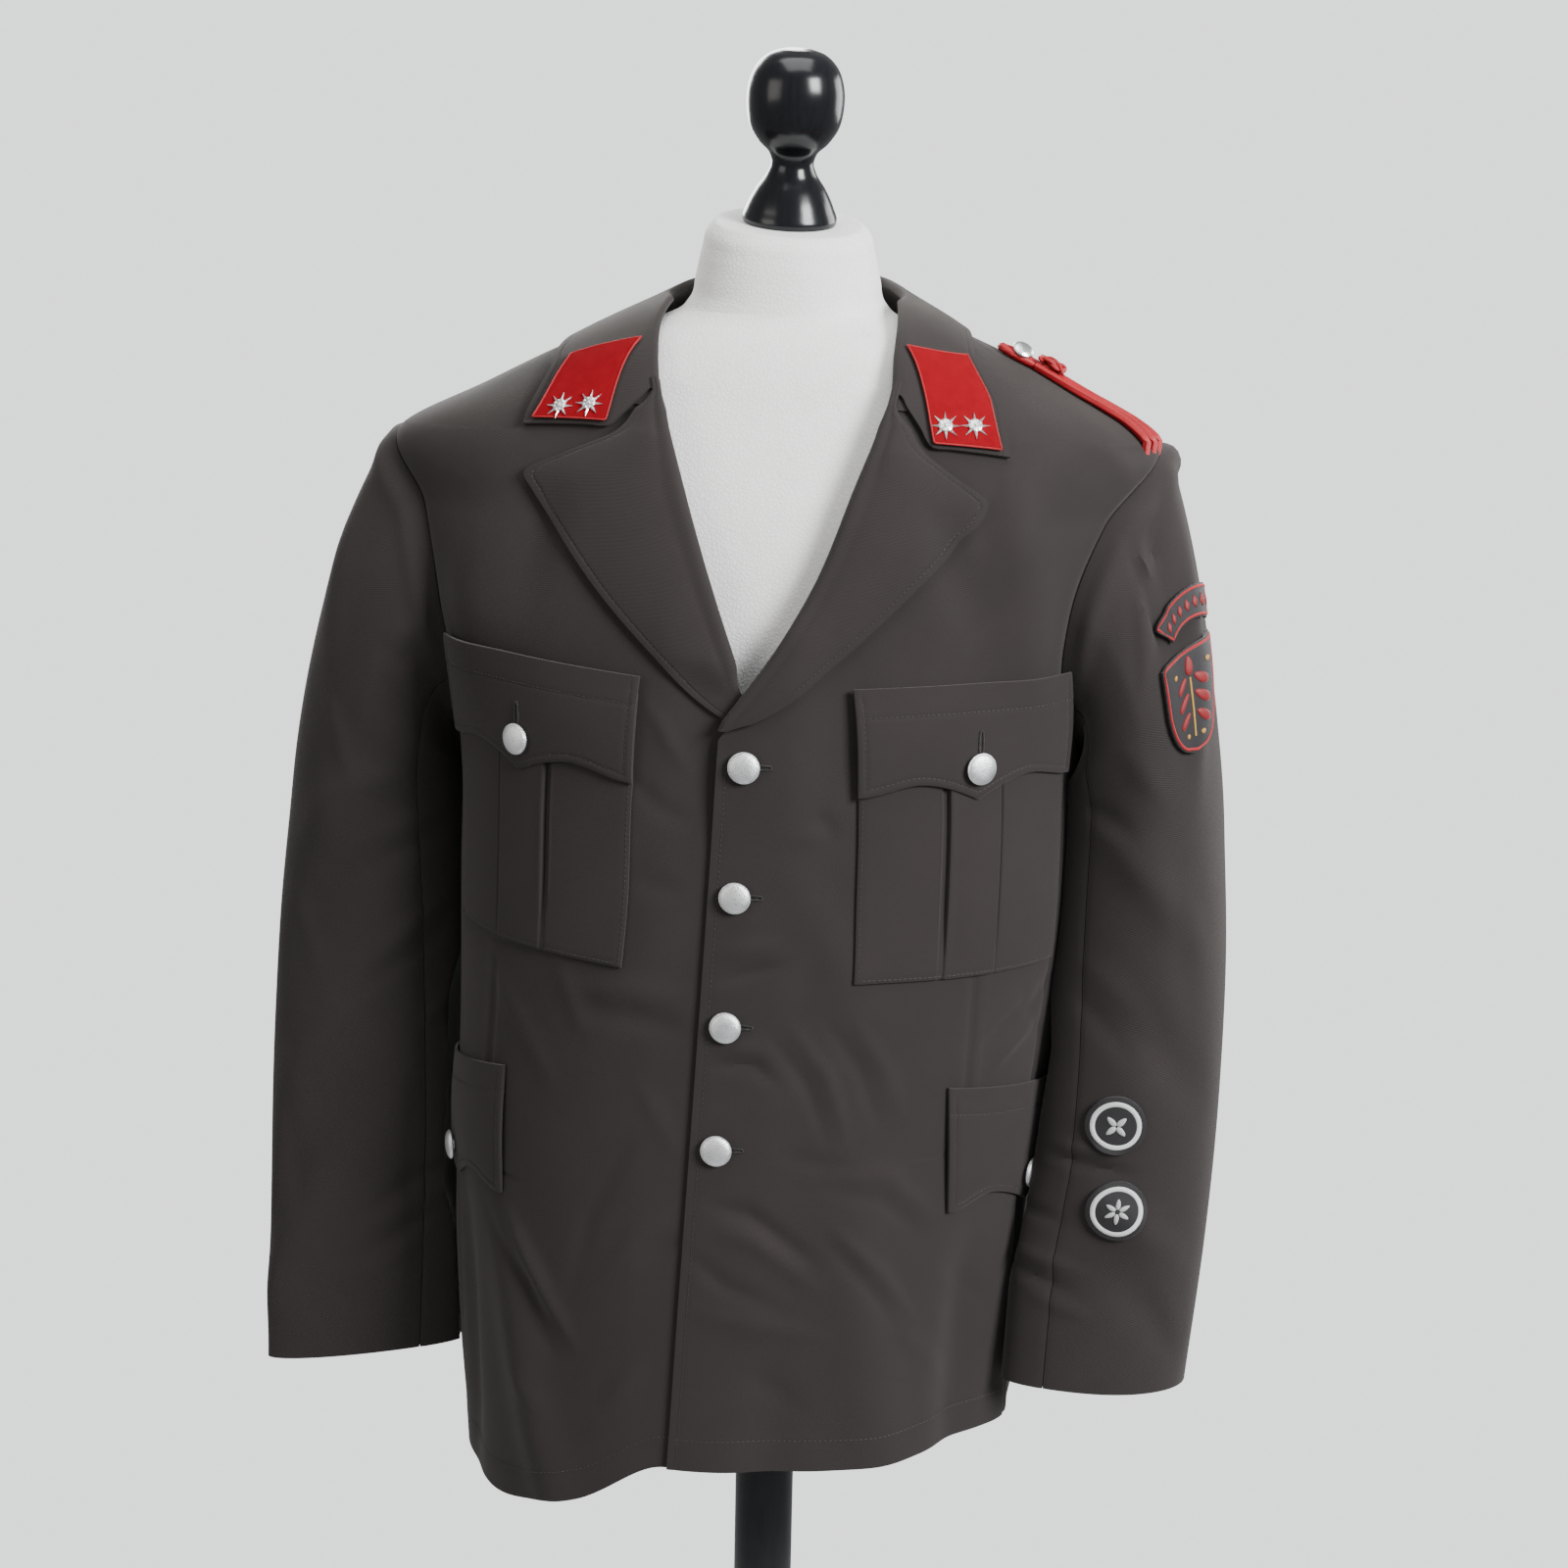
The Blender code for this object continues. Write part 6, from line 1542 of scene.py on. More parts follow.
def badge(name, spot, across, along, gap, puff=0.0004):
    rows, cols = across.shape
    down, wide = np.linspace(0, 1, rows)[:, None], np.linspace(0, 1, cols)[None, :]
    rim = np.minimum(np.minimum(down, 1 - down), np.minimum(wide, 1 - wide))
    lift = gap + BADGE_THICKNESS + puff * ease(rim / 0.08)
    outer, inner = sleeve_spot(spot, across, along, lift), sleeve_spot(spot, across, along, gap - 0.0006)
    sheet(f"cloth_{name}", outer, inner, BADGE_LOOK, [name])


# Share of the width, and rise over the badge's face
BORDER_SECTION = ((-0.5, -0.0008), (-0.42, 0.0003), (-0.2, 0.00065), (0.0, 0.0008), (0.2, 0.00065),
                  (0.42, 0.0003), (0.5, -0.0008))


def border(name, spot, line, width, gap, finish, closed=True):
    """A satin-stitched band along a line on a badge, of distances across and down."""
    line = np.asarray(line, float)
    if closed:
        run = np.roll(line, -1, axis=0) - np.roll(line, 1, axis=0)
        line, run = np.concatenate([line, line[:1]]), np.concatenate([run, run[:1]])
    else:
        run = np.gradient(line, axis=0)
    side = unit(run)[:, ::-1] * [1, -1]
    share, rise = np.array(BORDER_SECTION).T
    spread = line[:, None] + side[:, None] * (share * width)[None, :, None]
    across, along, face = spread[..., 0], spread[..., 1], gap + BADGE_THICKNESS
    outer = sleeve_spot(spot, across, along, face + 0.0002 + rise + 0 * across)
    inner = sleeve_spot(spot, across, along, face - 0.0008 + 0 * across)
    sheet(f"thread_{name}", outer, inner, finish, bevel=0.0)


MOUND_STEPS = ((1.0, -0.0006), (1.0, 0.0002), (0.86, 0.0006), (0.55, 0.0009))  # share of the outline, rise


def mounds(name, spot, outlines, gap, finish):
    """Satin-stitched shapes on a badge, each an outline round its own middle."""
    points, faces, first = [], [], 0
    face, rings = gap + BADGE_THICKNESS, len(MOUND_STEPS)
    for outline in outlines:
        outline = np.asarray(outline, float)
        middle, count = outline.mean(axis=0), len(outline)
        for share, rise in MOUND_STEPS:
            ring = middle + (outline - middle) * share
            points.append(sleeve_spot(spot, *ring.T, face + 0.0003 + rise + 0 * ring[:, 0]))
        points.append(sleeve_spot(spot, middle[:1], middle[1:], np.full(1, face + 0.0013)))
        last = first + (rings - 1) * count
        faces += ring_faces(rings, count, first) + fan_faces(last, count, last + count)
        faces.append(list(range(first, first + count))[::-1])
        first += rings * count + 1
    add_piece(f"thread_{name}", np.concatenate(points), faces, finish, sharp=70)


def oval(middle, long, wide, turn, count=14):
    """The outline of a leaf-like oval. turn is in degrees from straight down."""
    a = full_turn(count)
    x, y = wide / 2 * np.sin(a) * (1 - 0.25 * np.cos(a)), long / 2 * np.cos(a)
    tilt = math.radians(turn)
    sin, cos = math.sin(tilt), math.cos(tilt)
    return np.stack([middle[0] + x * cos + y * sin, middle[1] - x * sin + y * cos], axis=1)


def arc_line(radius, reach, count):
    """A line along the arc badge at a radius, as distances across and down."""
    turn = np.linspace(-reach, reach, count)
    return np.stack([radius * np.sin(turn), ARC_BADGE["radius"] - radius * np.cos(turn)], axis=1)


def arc_badge():
    """A black arc with a red border and a row of red lozenges."""
    size, gap = ARC_BADGE, HEAD_BADGE_GAP
    turn = np.linspace(-size["reach"], size["reach"], 33)[None, :]
    radius = size["radius"] - size["depth"] * np.linspace(0, 1, 15)[:, None]
    along = size["radius"] - radius * np.cos(turn)
    badge("badge_arc", size["spot"], radius * np.sin(turn), along, gap)
    inset = 0.0017
    reach = size["reach"] - inset / size["radius"]
    over = arc_line(size["radius"] - inset, reach, 40)
    under = arc_line(size["radius"] - size["depth"] + inset, reach, 30)
    border("badge_arc_border", size["spot"], np.concatenate([over, under[::-1]]), 0.0018, gap, RED_THREAD)
    middle = arc_line(size["radius"] - size["depth"] / 2, size["reach"] - 0.14, 7)
    lozenges = [place + np.array([(0, -0.0040), (0.0022, 0), (0, 0.0040), (-0.0022, 0)]) for place in middle]
    mounds("badge_arc_lozenges", size["spot"], lozenges, gap, RED_THREAD)


def shield_half(down):
    return SHIELD_BADGE["width"] / 2 * np.sqrt(1 - 0.995 * np.clip((down - 0.40) / 0.60, 0, 1) ** 2.2)


def shield_badge():
    """A black shield with a red border and a sprig of red leaves on a gold stem."""
    size, gap = SHIELD_BADGE, HEAD_BADGE_GAP
    down = np.linspace(0, 1, 34)[:, None]
    across = np.linspace(-1, 1, 26)[None, :]
    along = size["height"] * (down - 0.5) + 0 * across
    badge("badge_shield", size["spot"], shield_half(down) * across, along, gap)
    rows = np.linspace(0, 1, 26)
    right = np.stack([shield_half(rows), size["height"] * (rows - 0.5)], axis=1)
    outline = np.concatenate([right, right[-2:0:-1] * [-1, 1]])
    top_x = np.linspace(-1, 1, 14)[1:-1] * size["width"] / 2
    top = np.stack([top_x, np.full(12, -size["height"] / 2)], axis=1)
    outline = np.concatenate([outline, right[:1] * [-1, 1], top]) * [0.925, 0.945]
    border("badge_shield_border", size["spot"], outline, 0.0022, gap, RED_THREAD)
    pairs = ((0.011, 0.013), (-0.001, 0.014), (-0.012, 0.012))  # place down the stem, and length
    leaves = [oval((side * 0.0075, at), long, 0.0056, side * -132) for at, long in pairs for side in (1, -1)]
    leaves.append(oval((0.0, -0.0225), 0.0125, 0.0058, 180))
    mounds("badge_shield_leaves", size["spot"], leaves, gap, RED_THREAD)
    stem = np.stack([np.zeros(14), np.linspace(-0.015, 0.0225, 14)], axis=1)
    border("badge_shield_stem", size["spot"], stem, 0.0014, gap + 0.0004, GOLD_THREAD, closed=False)
    spots = ((0.0062, 0.0215), (0.013, -0.021))
    berries = [oval((side * x, at), 0.0034, 0.0034, 0) for x, at in spots for side in (1, -1)]
    mounds("badge_shield_berries", size["spot"], berries, gap, GOLD_THREAD)


# The discs' figures: first angle in degrees, number of ovals, their way out from the middle, and their sizes
ROUND_FIGURES = {"upper": (45, 4, 0.0047, 0.0082, 0.0040), "lower": (0, 6, 0.0050, 0.0072, 0.0030)}


def round_badges():
    """Two black discs, each with a white corded ring and a plain white figure of ovals."""
    turn = full_turn(56)
    ring = np.stack([np.sin(turn), np.cos(turn)], axis=1) * ROUND_BADGE_RADIUS * 0.755
    for word, spot in ROUND_BADGES.items():
        x, y = np.linspace(-1, 1, 24)[None, :], np.linspace(-1, 1, 24)[:, None]
        across = ROUND_BADGE_RADIUS * x * np.sqrt(1 - y * y / 2)
        along = ROUND_BADGE_RADIUS * y * np.sqrt(1 - x * x / 2)
        start, count, out, long, wide = ROUND_FIGURES[word]
        angles = np.radians(start + np.arange(count) * 360 / count)
        petals = [oval((out * math.sin(a), out * math.cos(a)), long, wide, math.degrees(a)) for a in angles]
        badge(f"badge_round_{word}", spot, across, along, BADGE_GAP)
        border(f"badge_round_{word}_ring", spot, ring, 0.0038, BADGE_GAP, WHITE_THREAD)
        mounds(f"badge_round_{word}_petals", spot, petals, BADGE_GAP, WHITE_THREAD)


def badges():
    """Four sewn-on badges: an arc over a shield near the shoulder, and two discs above the cuff."""
    arc_badge()
    shield_badge()
    round_badges()


# Shoulder cord


def cord_line(aside, count=70):
    """The middle line of a strand that far aside from the cord's own middle."""
    rows = np.array(CORD_ROWS)
    x = np.linspace(rows[0, 0], rows[-1, 0], count)
    y = np.interp(x, rows[:, 0], rows[:, 1])
    run = unit(np.stack([np.gradient(x), np.gradient(y)], axis=-1))
    lift = STRAND_RADIUS + CORD_GAP
    spread = np.linspace(0.9, STRAND_FAN, count) * aside
    return [over_body(a - s * d[1], b + s * d[0], lift)[0] for a, b, d, s in zip(x, y, run, spread)]


def shoulder_cord():
    """Three strands side by side, a knot over their inner ends, and a loop under a small button."""
    for k, word in ((-1, "front"), (0, "middle"), (1, "back")):
        line = cord_line(k * STRAND_SPACING)
        made = tube(f"cord_strand_{word}", line, STRAND_RADIUS, 20, CORD_LOOK, lobes=5, twist=60)
        if k == 0:
            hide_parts("shoulder_cord")
    point, normal = over_body(CORD_ROWS[0][0] + 0.008, CORD_ROWS[0][1], KNOT_SIZE[2] + CORD_GAP)
    place = frame_at(point, normal, (0, 1, 0))
    core = [(math.cos(a), math.sin(a)) for a in np.radians(np.linspace(-86, 86, 15))]
    core_size = np.array(KNOT_SIZE) * [0.80, 0.80, 0.55]
    turned_solid("cord_knot_core", core, 32, lambda points: place(points * core_size), CORD_LOOK)
    t = full_turn(420)
    x = np.cos(3 * t + 0.7) * (KNOT_SIZE[0] - KNOT_CORD)
    y = np.cos(4 * t + 0.2) * (KNOT_SIZE[1] - KNOT_CORD)
    weave = stack(x, y, 0.0022 + 0.0011 * np.cos(7 * t) + 0.0016 * (1 - (x / KNOT_SIZE[0]) ** 2))
    tube("cord_knot", place(weave), KNOT_CORD, 12, CORD_LOOK, closed=True, lobes=5, twist=1400,
         up=tuple(normal))
    turn = full_turn(56)
    long, wide = LOOP_SIZE
    x, y = SHOULDER_BUTTON[0] + long * np.cos(turn), SHOULDER_BUTTON[1] + wide * np.sin(turn)
    ring = [over_body(a, b, STRAND_RADIUS + CORD_GAP)[0] for a, b in zip(x, y)]
    tube("cord_loop", ring, STRAND_RADIUS, 16, CORD_LOOK, closed=True, lobes=6, twist=900)
    point, normal = over_body(*SHOULDER_BUTTON, SEAM_GAP + 0.0012)
    place = frame_at(point, unit(normal + np.array([0.1, -0.55, 0.0])), (0, 1, 0))
    profile = smooth_line(SHOULDER_BUTTON_PROFILE, 24)
    turned_solid("metal_button_shoulder", profile, 40, place, SILVER, ["button_shoulder"])


# Pockets and flaps


def placed(side, distance, z, shift):
    """Angles and heights on the body of distances from the middle, leaned with that side's panel."""
    way, lean, drop = shift[side]
    z = z - drop * side * distance
    return round_angle(side * distance + way - lean * (POCKET_TOP - z), z), z


# The box pleat's section across the pocket, from its inner fold: distance and rise
PLEAT_INNER = ((-0.0070, 0.0), (-0.0052, 0.0003), (-0.0042, -0.0016), (-0.0032, -0.0022), (-0.0004, -0.0022),
               (0.0003, 0.0012), (0.0016, 0.0017), (0.0060, 0.0013))
PLEAT_OUTER = ((-0.0060, 0.0013), (-0.0012, 0.0015), (-0.0004, 0.0012), (0.0000, -0.0008), (0.0008, -0.0010),
               (0.0018, 0.0002), (0.0040, 0.0))


POCKET_STITCH = 0.0024
POCKET_LENGTH = 0.19


def pocket(side):
    """A patch pocket with a box pleat."""
    inner, outer = (0.5 - PLEAT_HALF) * POCKET_WIDTH, (0.5 + PLEAT_HALF) * POCKET_WIDTH
    section = [(inner + x, rise) for x, rise in PLEAT_INNER] + [(outer + x, rise) for x, rise in PLEAT_OUTER]
    folds = [x + step for x, _ in section for step in (-0.0002, 0.0002)]
    across = np.unique(np.concatenate([spaced(50, POCKET_WIDTH) * POCKET_WIDTH, folds])) / POCKET_WIDTH
    up = spaced(60, POCKET_LENGTH)[:, None]
    rise = np.interp(across * POCKET_WIDTH, *np.array([(0.0, 0.0), *section, (POCKET_WIDTH, 0.0)]).T)
    # The pleat closes towards the pocket's lower edge, where it is sewn down
    rise = rise * (0.25 + 0.75 * ease(up / 0.30))
    distance = (POCKET_INNER + POCKET_WIDTH * across)[None, :] + 0 * up
    slant = POCKET_SLANT * POCKET_WIDTH * across
    z = POCKET_BOTTOM + slant * 0.4 + up * (POCKET_TOP - 0.012 + slant * 0.6 - POCKET_BOTTOM)
    rim = np.minimum(np.minimum(across, 1 - across)[None, :] * POCKET_WIDTH, up * POCKET_LENGTH)
    edge = -0.0008 * bell(rim, 0.0012) - 0.0003 * bell(rim - POCKET_STITCH, 0.0008)
    lift = LAY_GAP + CLOTH + rise + edge
    name = f"chest_pocket_{WORD[side]}"
    angle, z = placed(side, distance, z, POCKET_SHIFT)
    thickness = lift - SEAM_GAP  # down to the panel, because the pleat's folds are one wall
    outer = body_sheet(f"cloth_{name}", angle, z, lift, thickness, CLOTHS["pocket"], [name])
    low_line = inset_line(outer.transpose(1, 0, 2), POCKET_STITCH)
    lines = [inset_line(outer, POCKET_STITCH), inset_line(outer, POCKET_STITCH, from_end=True)]
    stitches(f"stitches_pocket_{WORD[side]}", [*lines, tuple(values[4:-4] for values in low_line)])


FLAP_STITCH = 0.019
FLAP_EDGE_STITCH = 0.0052
FLAP_GROOVE = 0.0004
FLAP_BULGE = 0.0016
BULGE_AT_BUTTON = 0.0014
CHEST_FLAP_LIFT = LAY_GAP + CLOTH + LAY_GAP


def flap_height(share, corner, arc, point):
    """The drop of a three-pointed flap's lower edge across its width."""
    from_middle = np.abs(2 * share - 1)
    tip = arc + (point - arc) * (1 - np.minimum(from_middle / 0.5, 1)) ** 1.7
    end = arc + (corner - arc) * ease((from_middle - 0.5) / 0.5)
    return np.where(from_middle < 0.5, tip, end)


def flap(name, side, inner, width, top, sizes, lift, slant, shift):
    """A flap with its two rows of stitching along the edge and one across below its top."""
    steps = np.array([0.0, 0.0006, 0.0016, 0.0036, 0.0046, 0.0052, 0.0058, 0.0068])
    across = spaced(60, width, steps[1:])[None, :]
    rows = np.linspace(0, 1, 24)
    drop = flap_height(across, *sizes)
    down = np.concatenate([
        np.linspace(0, FLAP_STITCH - 0.0014, 7)[:, None] + 0 * drop,
        (FLAP_STITCH + np.array([-0.0007, 0, 0.0007, 0.0014]))[:, None] + 0 * drop,
        FLAP_STITCH + 0.0014 + rows[1:-1, None] * (drop - steps[-1] - FLAP_STITCH - 0.0014),
        drop - steps[::-1][:, None],
    ])
    distance = inner + width * across + 0 * down
    z = top + slant * width * across - down
    edge = np.minimum(np.minimum(across, 1 - across) * width, drop - down)
    share = down / drop
    groove = bell(edge - FLAP_EDGE_STITCH, 0.0008) * (down > 0.004) + 0.8 * bell(down - FLAP_STITCH, 0.0008)
    roll = -0.0006 * bell(edge, 0.0012)
    outer = lift + FACED + FLAP_BULGE * np.sin(math.pi * share) - FLAP_GROOVE * groove + roll
    angle, z = placed(side, distance, z, shift)
    outer = body_sheet(f"cloth_{name}", angle, z, outer, FACED, CLOTHS["flap"], [name])
    down_lines = outer.transpose(1, 0, 2)
    sides = [inset_line(outer, FLAP_EDGE_STITCH, end) for end in (False, True)]
    lines = [tuple(values[3:-5] for values in line) for line in sides]
    lines.append(tuple(values[7:-7] for values in inset_line(down_lines, FLAP_EDGE_STITCH, from_end=True)))
    lines.append(inset_line(down_lines, FLAP_STITCH))
    stitches(f"stitches_{name}", lines)


def flaps():
    for side, word in WORD.items():
        sizes = (FLAP_CORNER, FLAP_ARC, FLAP_POINT)
        flap(f"chest_flap_{word}", side, POCKET_INNER - 0.001, POCKET_WIDTH + 0.002, POCKET_TOP,
             sizes, CHEST_FLAP_LIFT, POCKET_SLANT, POCKET_SHIFT)
        low = (LOWER_FLAP_CORNER, LOWER_FLAP_ARC, LOWER_FLAP_POINT)
        flap(f"lower_flap_{word}", side, LOWER_FLAP_INNER, LOWER_FLAP_WIDTH, LOWER_FLAP_TOP,
             low, LAY_GAP, LOWER_FLAP_SLANT, LOWER_FLAP_SHIFT)


# Buttons


def button_profile():
    """A domed button with a rolled rim, on a short shank."""
    radius, height = BUTTON_RADIUS, BUTTON_HEIGHT
    rim = [(radius * 0.97, 0.0020), (radius, 0.0026), (radius * 0.985, 0.0033), (radius * 0.95, 0.0034)]
    turn = np.radians(np.linspace(2, 88, 16))
    dome = [(radius * 0.94 * math.cos(a), 0.0033 + (height - 0.0033) * math.sin(a)) for a in turn]
    return [(0.0035, 0.0), (0.0035, 0.0014), (radius * 0.94, 0.0018), *rim, *dome]


def button(name, point, normal):
    place = frame_at(point, normal, (0, 0, 1))
    return turned_solid(f"metal_{name}", button_profile(), 48, place, BUTTON_LOOK, [name])


def buttons():
    """Four buttons down the front and one on each flap, with the buttonholes that show."""
    for number, z in enumerate(FRONT_BUTTONS, 1):
        angle = front_angle(button_line(z), z)
        lift = layer(button_line(z), z, 1) + SEAM_GAP
        button(f"button_front_{number}", on_body(angle, z, lift), body_normal(angle, z))
        aside = front_angle(button_line(z) + BUTTONHOLE_ASIDE, z + BUTTONHOLE_ASIDE * 0.05)
        lift = layer(button_line(z) + BUTTONHOLE_ASIDE, z, 1) + 0.0003
        place = frame_at(on_body(aside, z, lift), body_normal(aside, z), (0, 0, 1))
        buttonhole(f"buttonhole_front_{number}", place, BUTTONHOLE_HALF)
    for side, word in WORD.items():
        z = POCKET_TOP + POCKET_SLANT * POCKET_WIDTH / 2 - FLAP_POINT + BUTTON_OVER_POINT
        angle, z = placed(side, POCKET_INNER + POCKET_WIDTH / 2, z, POCKET_SHIFT)
        lift = CHEST_FLAP_LIFT + FACED + BULGE_AT_BUTTON
        button(f"button_chest_{word}", on_body(angle, z, lift), body_normal(angle, z))
        above = z + BUTTONHOLE_ABOVE
        place = frame_at(on_body(angle, above, lift + 0.0005), body_normal(angle, above), (1, 0, 0))
        buttonhole(f"buttonhole_chest_{word}", place, BUTTONHOLE_HALF * 0.72)
        z = LOWER_FLAP_TOP + LOWER_FLAP_SLANT * LOWER_FLAP_WIDTH / 2 - LOWER_FLAP_POINT + BUTTON_OVER_POINT
        angle, z = placed(side, LOWER_FLAP_INNER + LOWER_FLAP_WIDTH / 2, z, LOWER_FLAP_SHIFT)
        lift = LAY_GAP + FACED + BULGE_AT_BUTTON
        button(f"button_lower_{word}", on_body(angle, z, lift), body_normal(angle, z))


# Dress form and stand


def form():
    """The foam torso. Its neck's flat top leans forward and a little to the left."""
    segments, square = 96, 2.2
    turn = full_turn(segments)
    heights = np.array([row[0] for row in FORM_ROWS])
    fine = smooth_line(np.stack([np.arange(len(heights)), heights], axis=1), 120)[:, 1]
    x, y = BORE_RADIUS * np.sin(turn), -BORE_RADIUS * np.cos(turn)
    rings = [stack(x, y, z) for z in (BORE_TOP, FORM_BOTTOM)]
    for z in fine:
        depth = np.where(np.cos(turn) > 0, FORM["front"](z), FORM["back"](z))
        x, y = FORM["half_width"](z) * np.sin(turn), -depth * np.cos(turn)
        wider = (np.abs(np.sin(turn)) ** square + np.abs(np.cos(turn)) ** square) ** (-1 / square)
        x, y = x * wider, y * wider
        lean = float(ease((z - NECK_LEAN_FROM) / (heights[-1] - NECK_LEAN_FROM)))
        ring = stack(x, y, z + lean * (y * math.tan(NECK_TILT) - x * math.tan(NECK_LEAN)))
        clothed = FORM_CLOTHED[0] < z < FORM_CLOTHED[1]
        rings.append(pushed_off(ring, -FORM_CLEAR, -1) if clothed else ring)
    last = rings[-1]
    middle = last.mean(axis=0)
    for share, rise in ((0.98, 0.0008), (0.94, 0.0011), (0.5, 0.0011)):
        rings.append(middle + (last - middle) * share + [0, 0, rise])
    faces = ring_faces(len(rings), segments) + end_faces(len(rings), segments)
    return add_piece("foam_form", np.concatenate(rings), faces, FOAM_LOOK, ["dress_form"])


def finial():
    normal = np.array([math.tan(NECK_LEAN), -math.tan(NECK_TILT), 1.0])
    place = frame_at(np.array([0.0, 0.0, FORM_ROWS[-1][0]]) + unit(normal) * SEAM_GAP, normal, (0, 1, 0))
    profile = smooth_line(FINIAL_PROFILE, 90)
    turned_solid("wood_finial", profile, 72, place, WOOD_LOOK, ["finial"])


def stand():
    upright = frame_at(np.zeros(3), (0, 0, 1), (0, 1, 0))
    low = BASE_HEIGHT + SEAM_GAP
    high = BORE_TOP - SEAM_GAP
    heights = np.linspace(low, high, 12)
    profile = [(POLE_RADIUS, z) for z in heights]
    turned_solid("wood_pole", profile, 64, upright, WOOD_LOOK, ["pole"])
    radius, height, edge = BASE_RADIUS, BASE_HEIGHT, BASE_EDGE
    turn = np.radians(np.linspace(0, 90, 9))
    rim = [(radius - edge * (1 - math.cos(a)), height - edge * (1 - math.sin(a))) for a in turn]
    inside = [(radius * 0.6, height), (radius * 0.2, height)]
    profile = [(radius - 0.0015, 0.0), (radius, 0.0015), *rim, *inside]
    turned_solid("wood_base", profile, 128, upright, WOOD_LOOK, ["base"])


# Looks


class Look:
    """A node material with short ways to add to it."""

    def __init__(self, name, colour, roughness, **inputs):
        self.material = bpy.data.materials.new(name)
        self.material.use_nodes = True
        self.nodes = self.material.node_tree.nodes
        self.links = self.material.node_tree.links
        self.shader = self.nodes["Principled BSDF"]
        for key, value in {"base_color": (*colour, 1.0), "roughness": roughness, **inputs}.items():
            socket = key.replace("_", " ").title().replace("Ior", "IOR")
            self.shader.inputs[socket].default_value = value

    def node(self, kind, links=(), values=(), **attributes):
        made = self.nodes.new(kind)
        for key, value in attributes.items():
            setattr(made, key, value)
        for key, value in dict(values).items():
            made.inputs[key].default_value = value
        for key, source in dict(links).items():
            self.links.new(source, made.inputs[key])
        return made

    def coordinates(self, source="UV", scale=(1, 1, 1), turn=0.0):
        place = self.node("ShaderNodeTexCoord").outputs[source]
        values = {"Scale": scale, "Rotation": (0.0, 0.0, turn)}
        return self.node("ShaderNodeMapping", {"Vector": place}, values).outputs[0]

    def wave(self, vector, period, distortion=0.0, detail=2.0, detail_scale=1.0):
        values = {"Distortion": distortion, "Detail": detail, "Detail Scale": detail_scale}
        values["Scale"] = math.pi / 10 / period
        return self.node("ShaderNodeTexWave", {"Vector": vector}, values).outputs["Fac"]

    def noise(self, vector, scale, detail=3.0, roughness=0.55):
        values = {"Scale": scale, "Detail": detail, "Roughness": roughness}
        return self.node("ShaderNodeTexNoise", {"Vector": vector}, values).outputs["Fac"]

    def cells(self, vector, feature, values):
        made = self.node("ShaderNodeTexVoronoi", {"Vector": vector}, values, feature=feature)
        return made.outputs["Distance"]

    def maths(self, operation, first, second):
        made = self.node("ShaderNodeMath", operation=operation)
        for slot, value in enumerate((first, second)):
            if isinstance(value, (int, float)):
                made.inputs[slot].default_value = value
            else:
                self.links.new(value, made.inputs[slot])
        return made.outputs[0]

    def weighted(self, *parts):
        """The sum of outputs, each times its weight."""
        total, *others = [self.maths("MULTIPLY", output, weight) for output, weight in parts]
        for part in others:
            total = self.maths("ADD", total, part)
        return total

    def colour(self, factor, *stops):
        """The base colour: the factor through a ramp of places and colours."""
        made = self.node("ShaderNodeValToRGB", {"Fac": factor})
        elements = made.color_ramp.elements
        while len(elements) < len(stops):
            elements.new(0.5)
        for element, (place, colour) in zip(elements, stops):
            element.position = place
            element.color = (*colour, 1.0)
        self.links.new(made.outputs["Color"], self.shader.inputs["Base Color"])

    def roughness(self, output):
        self.links.new(output, self.shader.inputs["Roughness"])

    def bump(self, height, distance, strength=1.0, before=None):
        links = {"Height": height} if before is None else {"Height": height, "Normal": before}
        made = self.node("ShaderNodeBump", links, {"Distance": distance, "Strength": strength})
        self.links.new(made.outputs[0], self.shader.inputs["Normal"])
        return made.outputs[0]


TWILL_PERIOD = 0.00095
CLOTH_DARK = (0.0165, 0.0136, 0.0129)
CLOTH_MID = (0.0242, 0.0202, 0.0194)
CLOTH_LIGHT = (0.0365, 0.0312, 0.0300)


def twill(name, turn):
    """Wool twill: fine diagonal ribs, uneven yarns and a soft brushed surface."""
    look = Look(name, CLOTH_MID, 0.88, sheen_weight=0.18, sheen_roughness=0.45,
                sheen_tint=(0.78, 0.74, 0.70, 1.0), specular_ior_level=0.25)
    ribs = look.wave(look.coordinates(turn=math.radians(turn)), TWILL_PERIOD, 0.6, 2.0, 40.0)
    yarns = look.wave(look.coordinates(turn=math.radians(turn + 62)), TWILL_PERIOD * 0.62, 0.8, 2.0, 60.0)
    plain = look.coordinates()
    slubs = look.noise(look.coordinates(scale=(1, 3, 1), turn=math.radians(turn)), 900, 3.0, 0.7)
    mottle = look.noise(plain, 14, 4.0, 0.6)
    weave = look.weighted((ribs, 0.46), (yarns, 0.18), (slubs, 0.66))
    tone = look.weighted((weave, 0.75), (mottle, 0.26))
    look.colour(tone, (0.28, CLOTH_DARK), (0.56, CLOTH_MID), (0.92, CLOTH_LIGHT))
    fine = look.bump(weave, 0.00022, 0.7)
    look.bump(look.noise(plain, 45, 3.0), 0.0005, 0.18, fine)
    return look.material


FELT_DARK = (0.17, 0.0002, 0.004)
FELT_MID = (0.24, 0.0004, 0.006)
FELT_LIGHT = (0.33, 0.0015, 0.010)


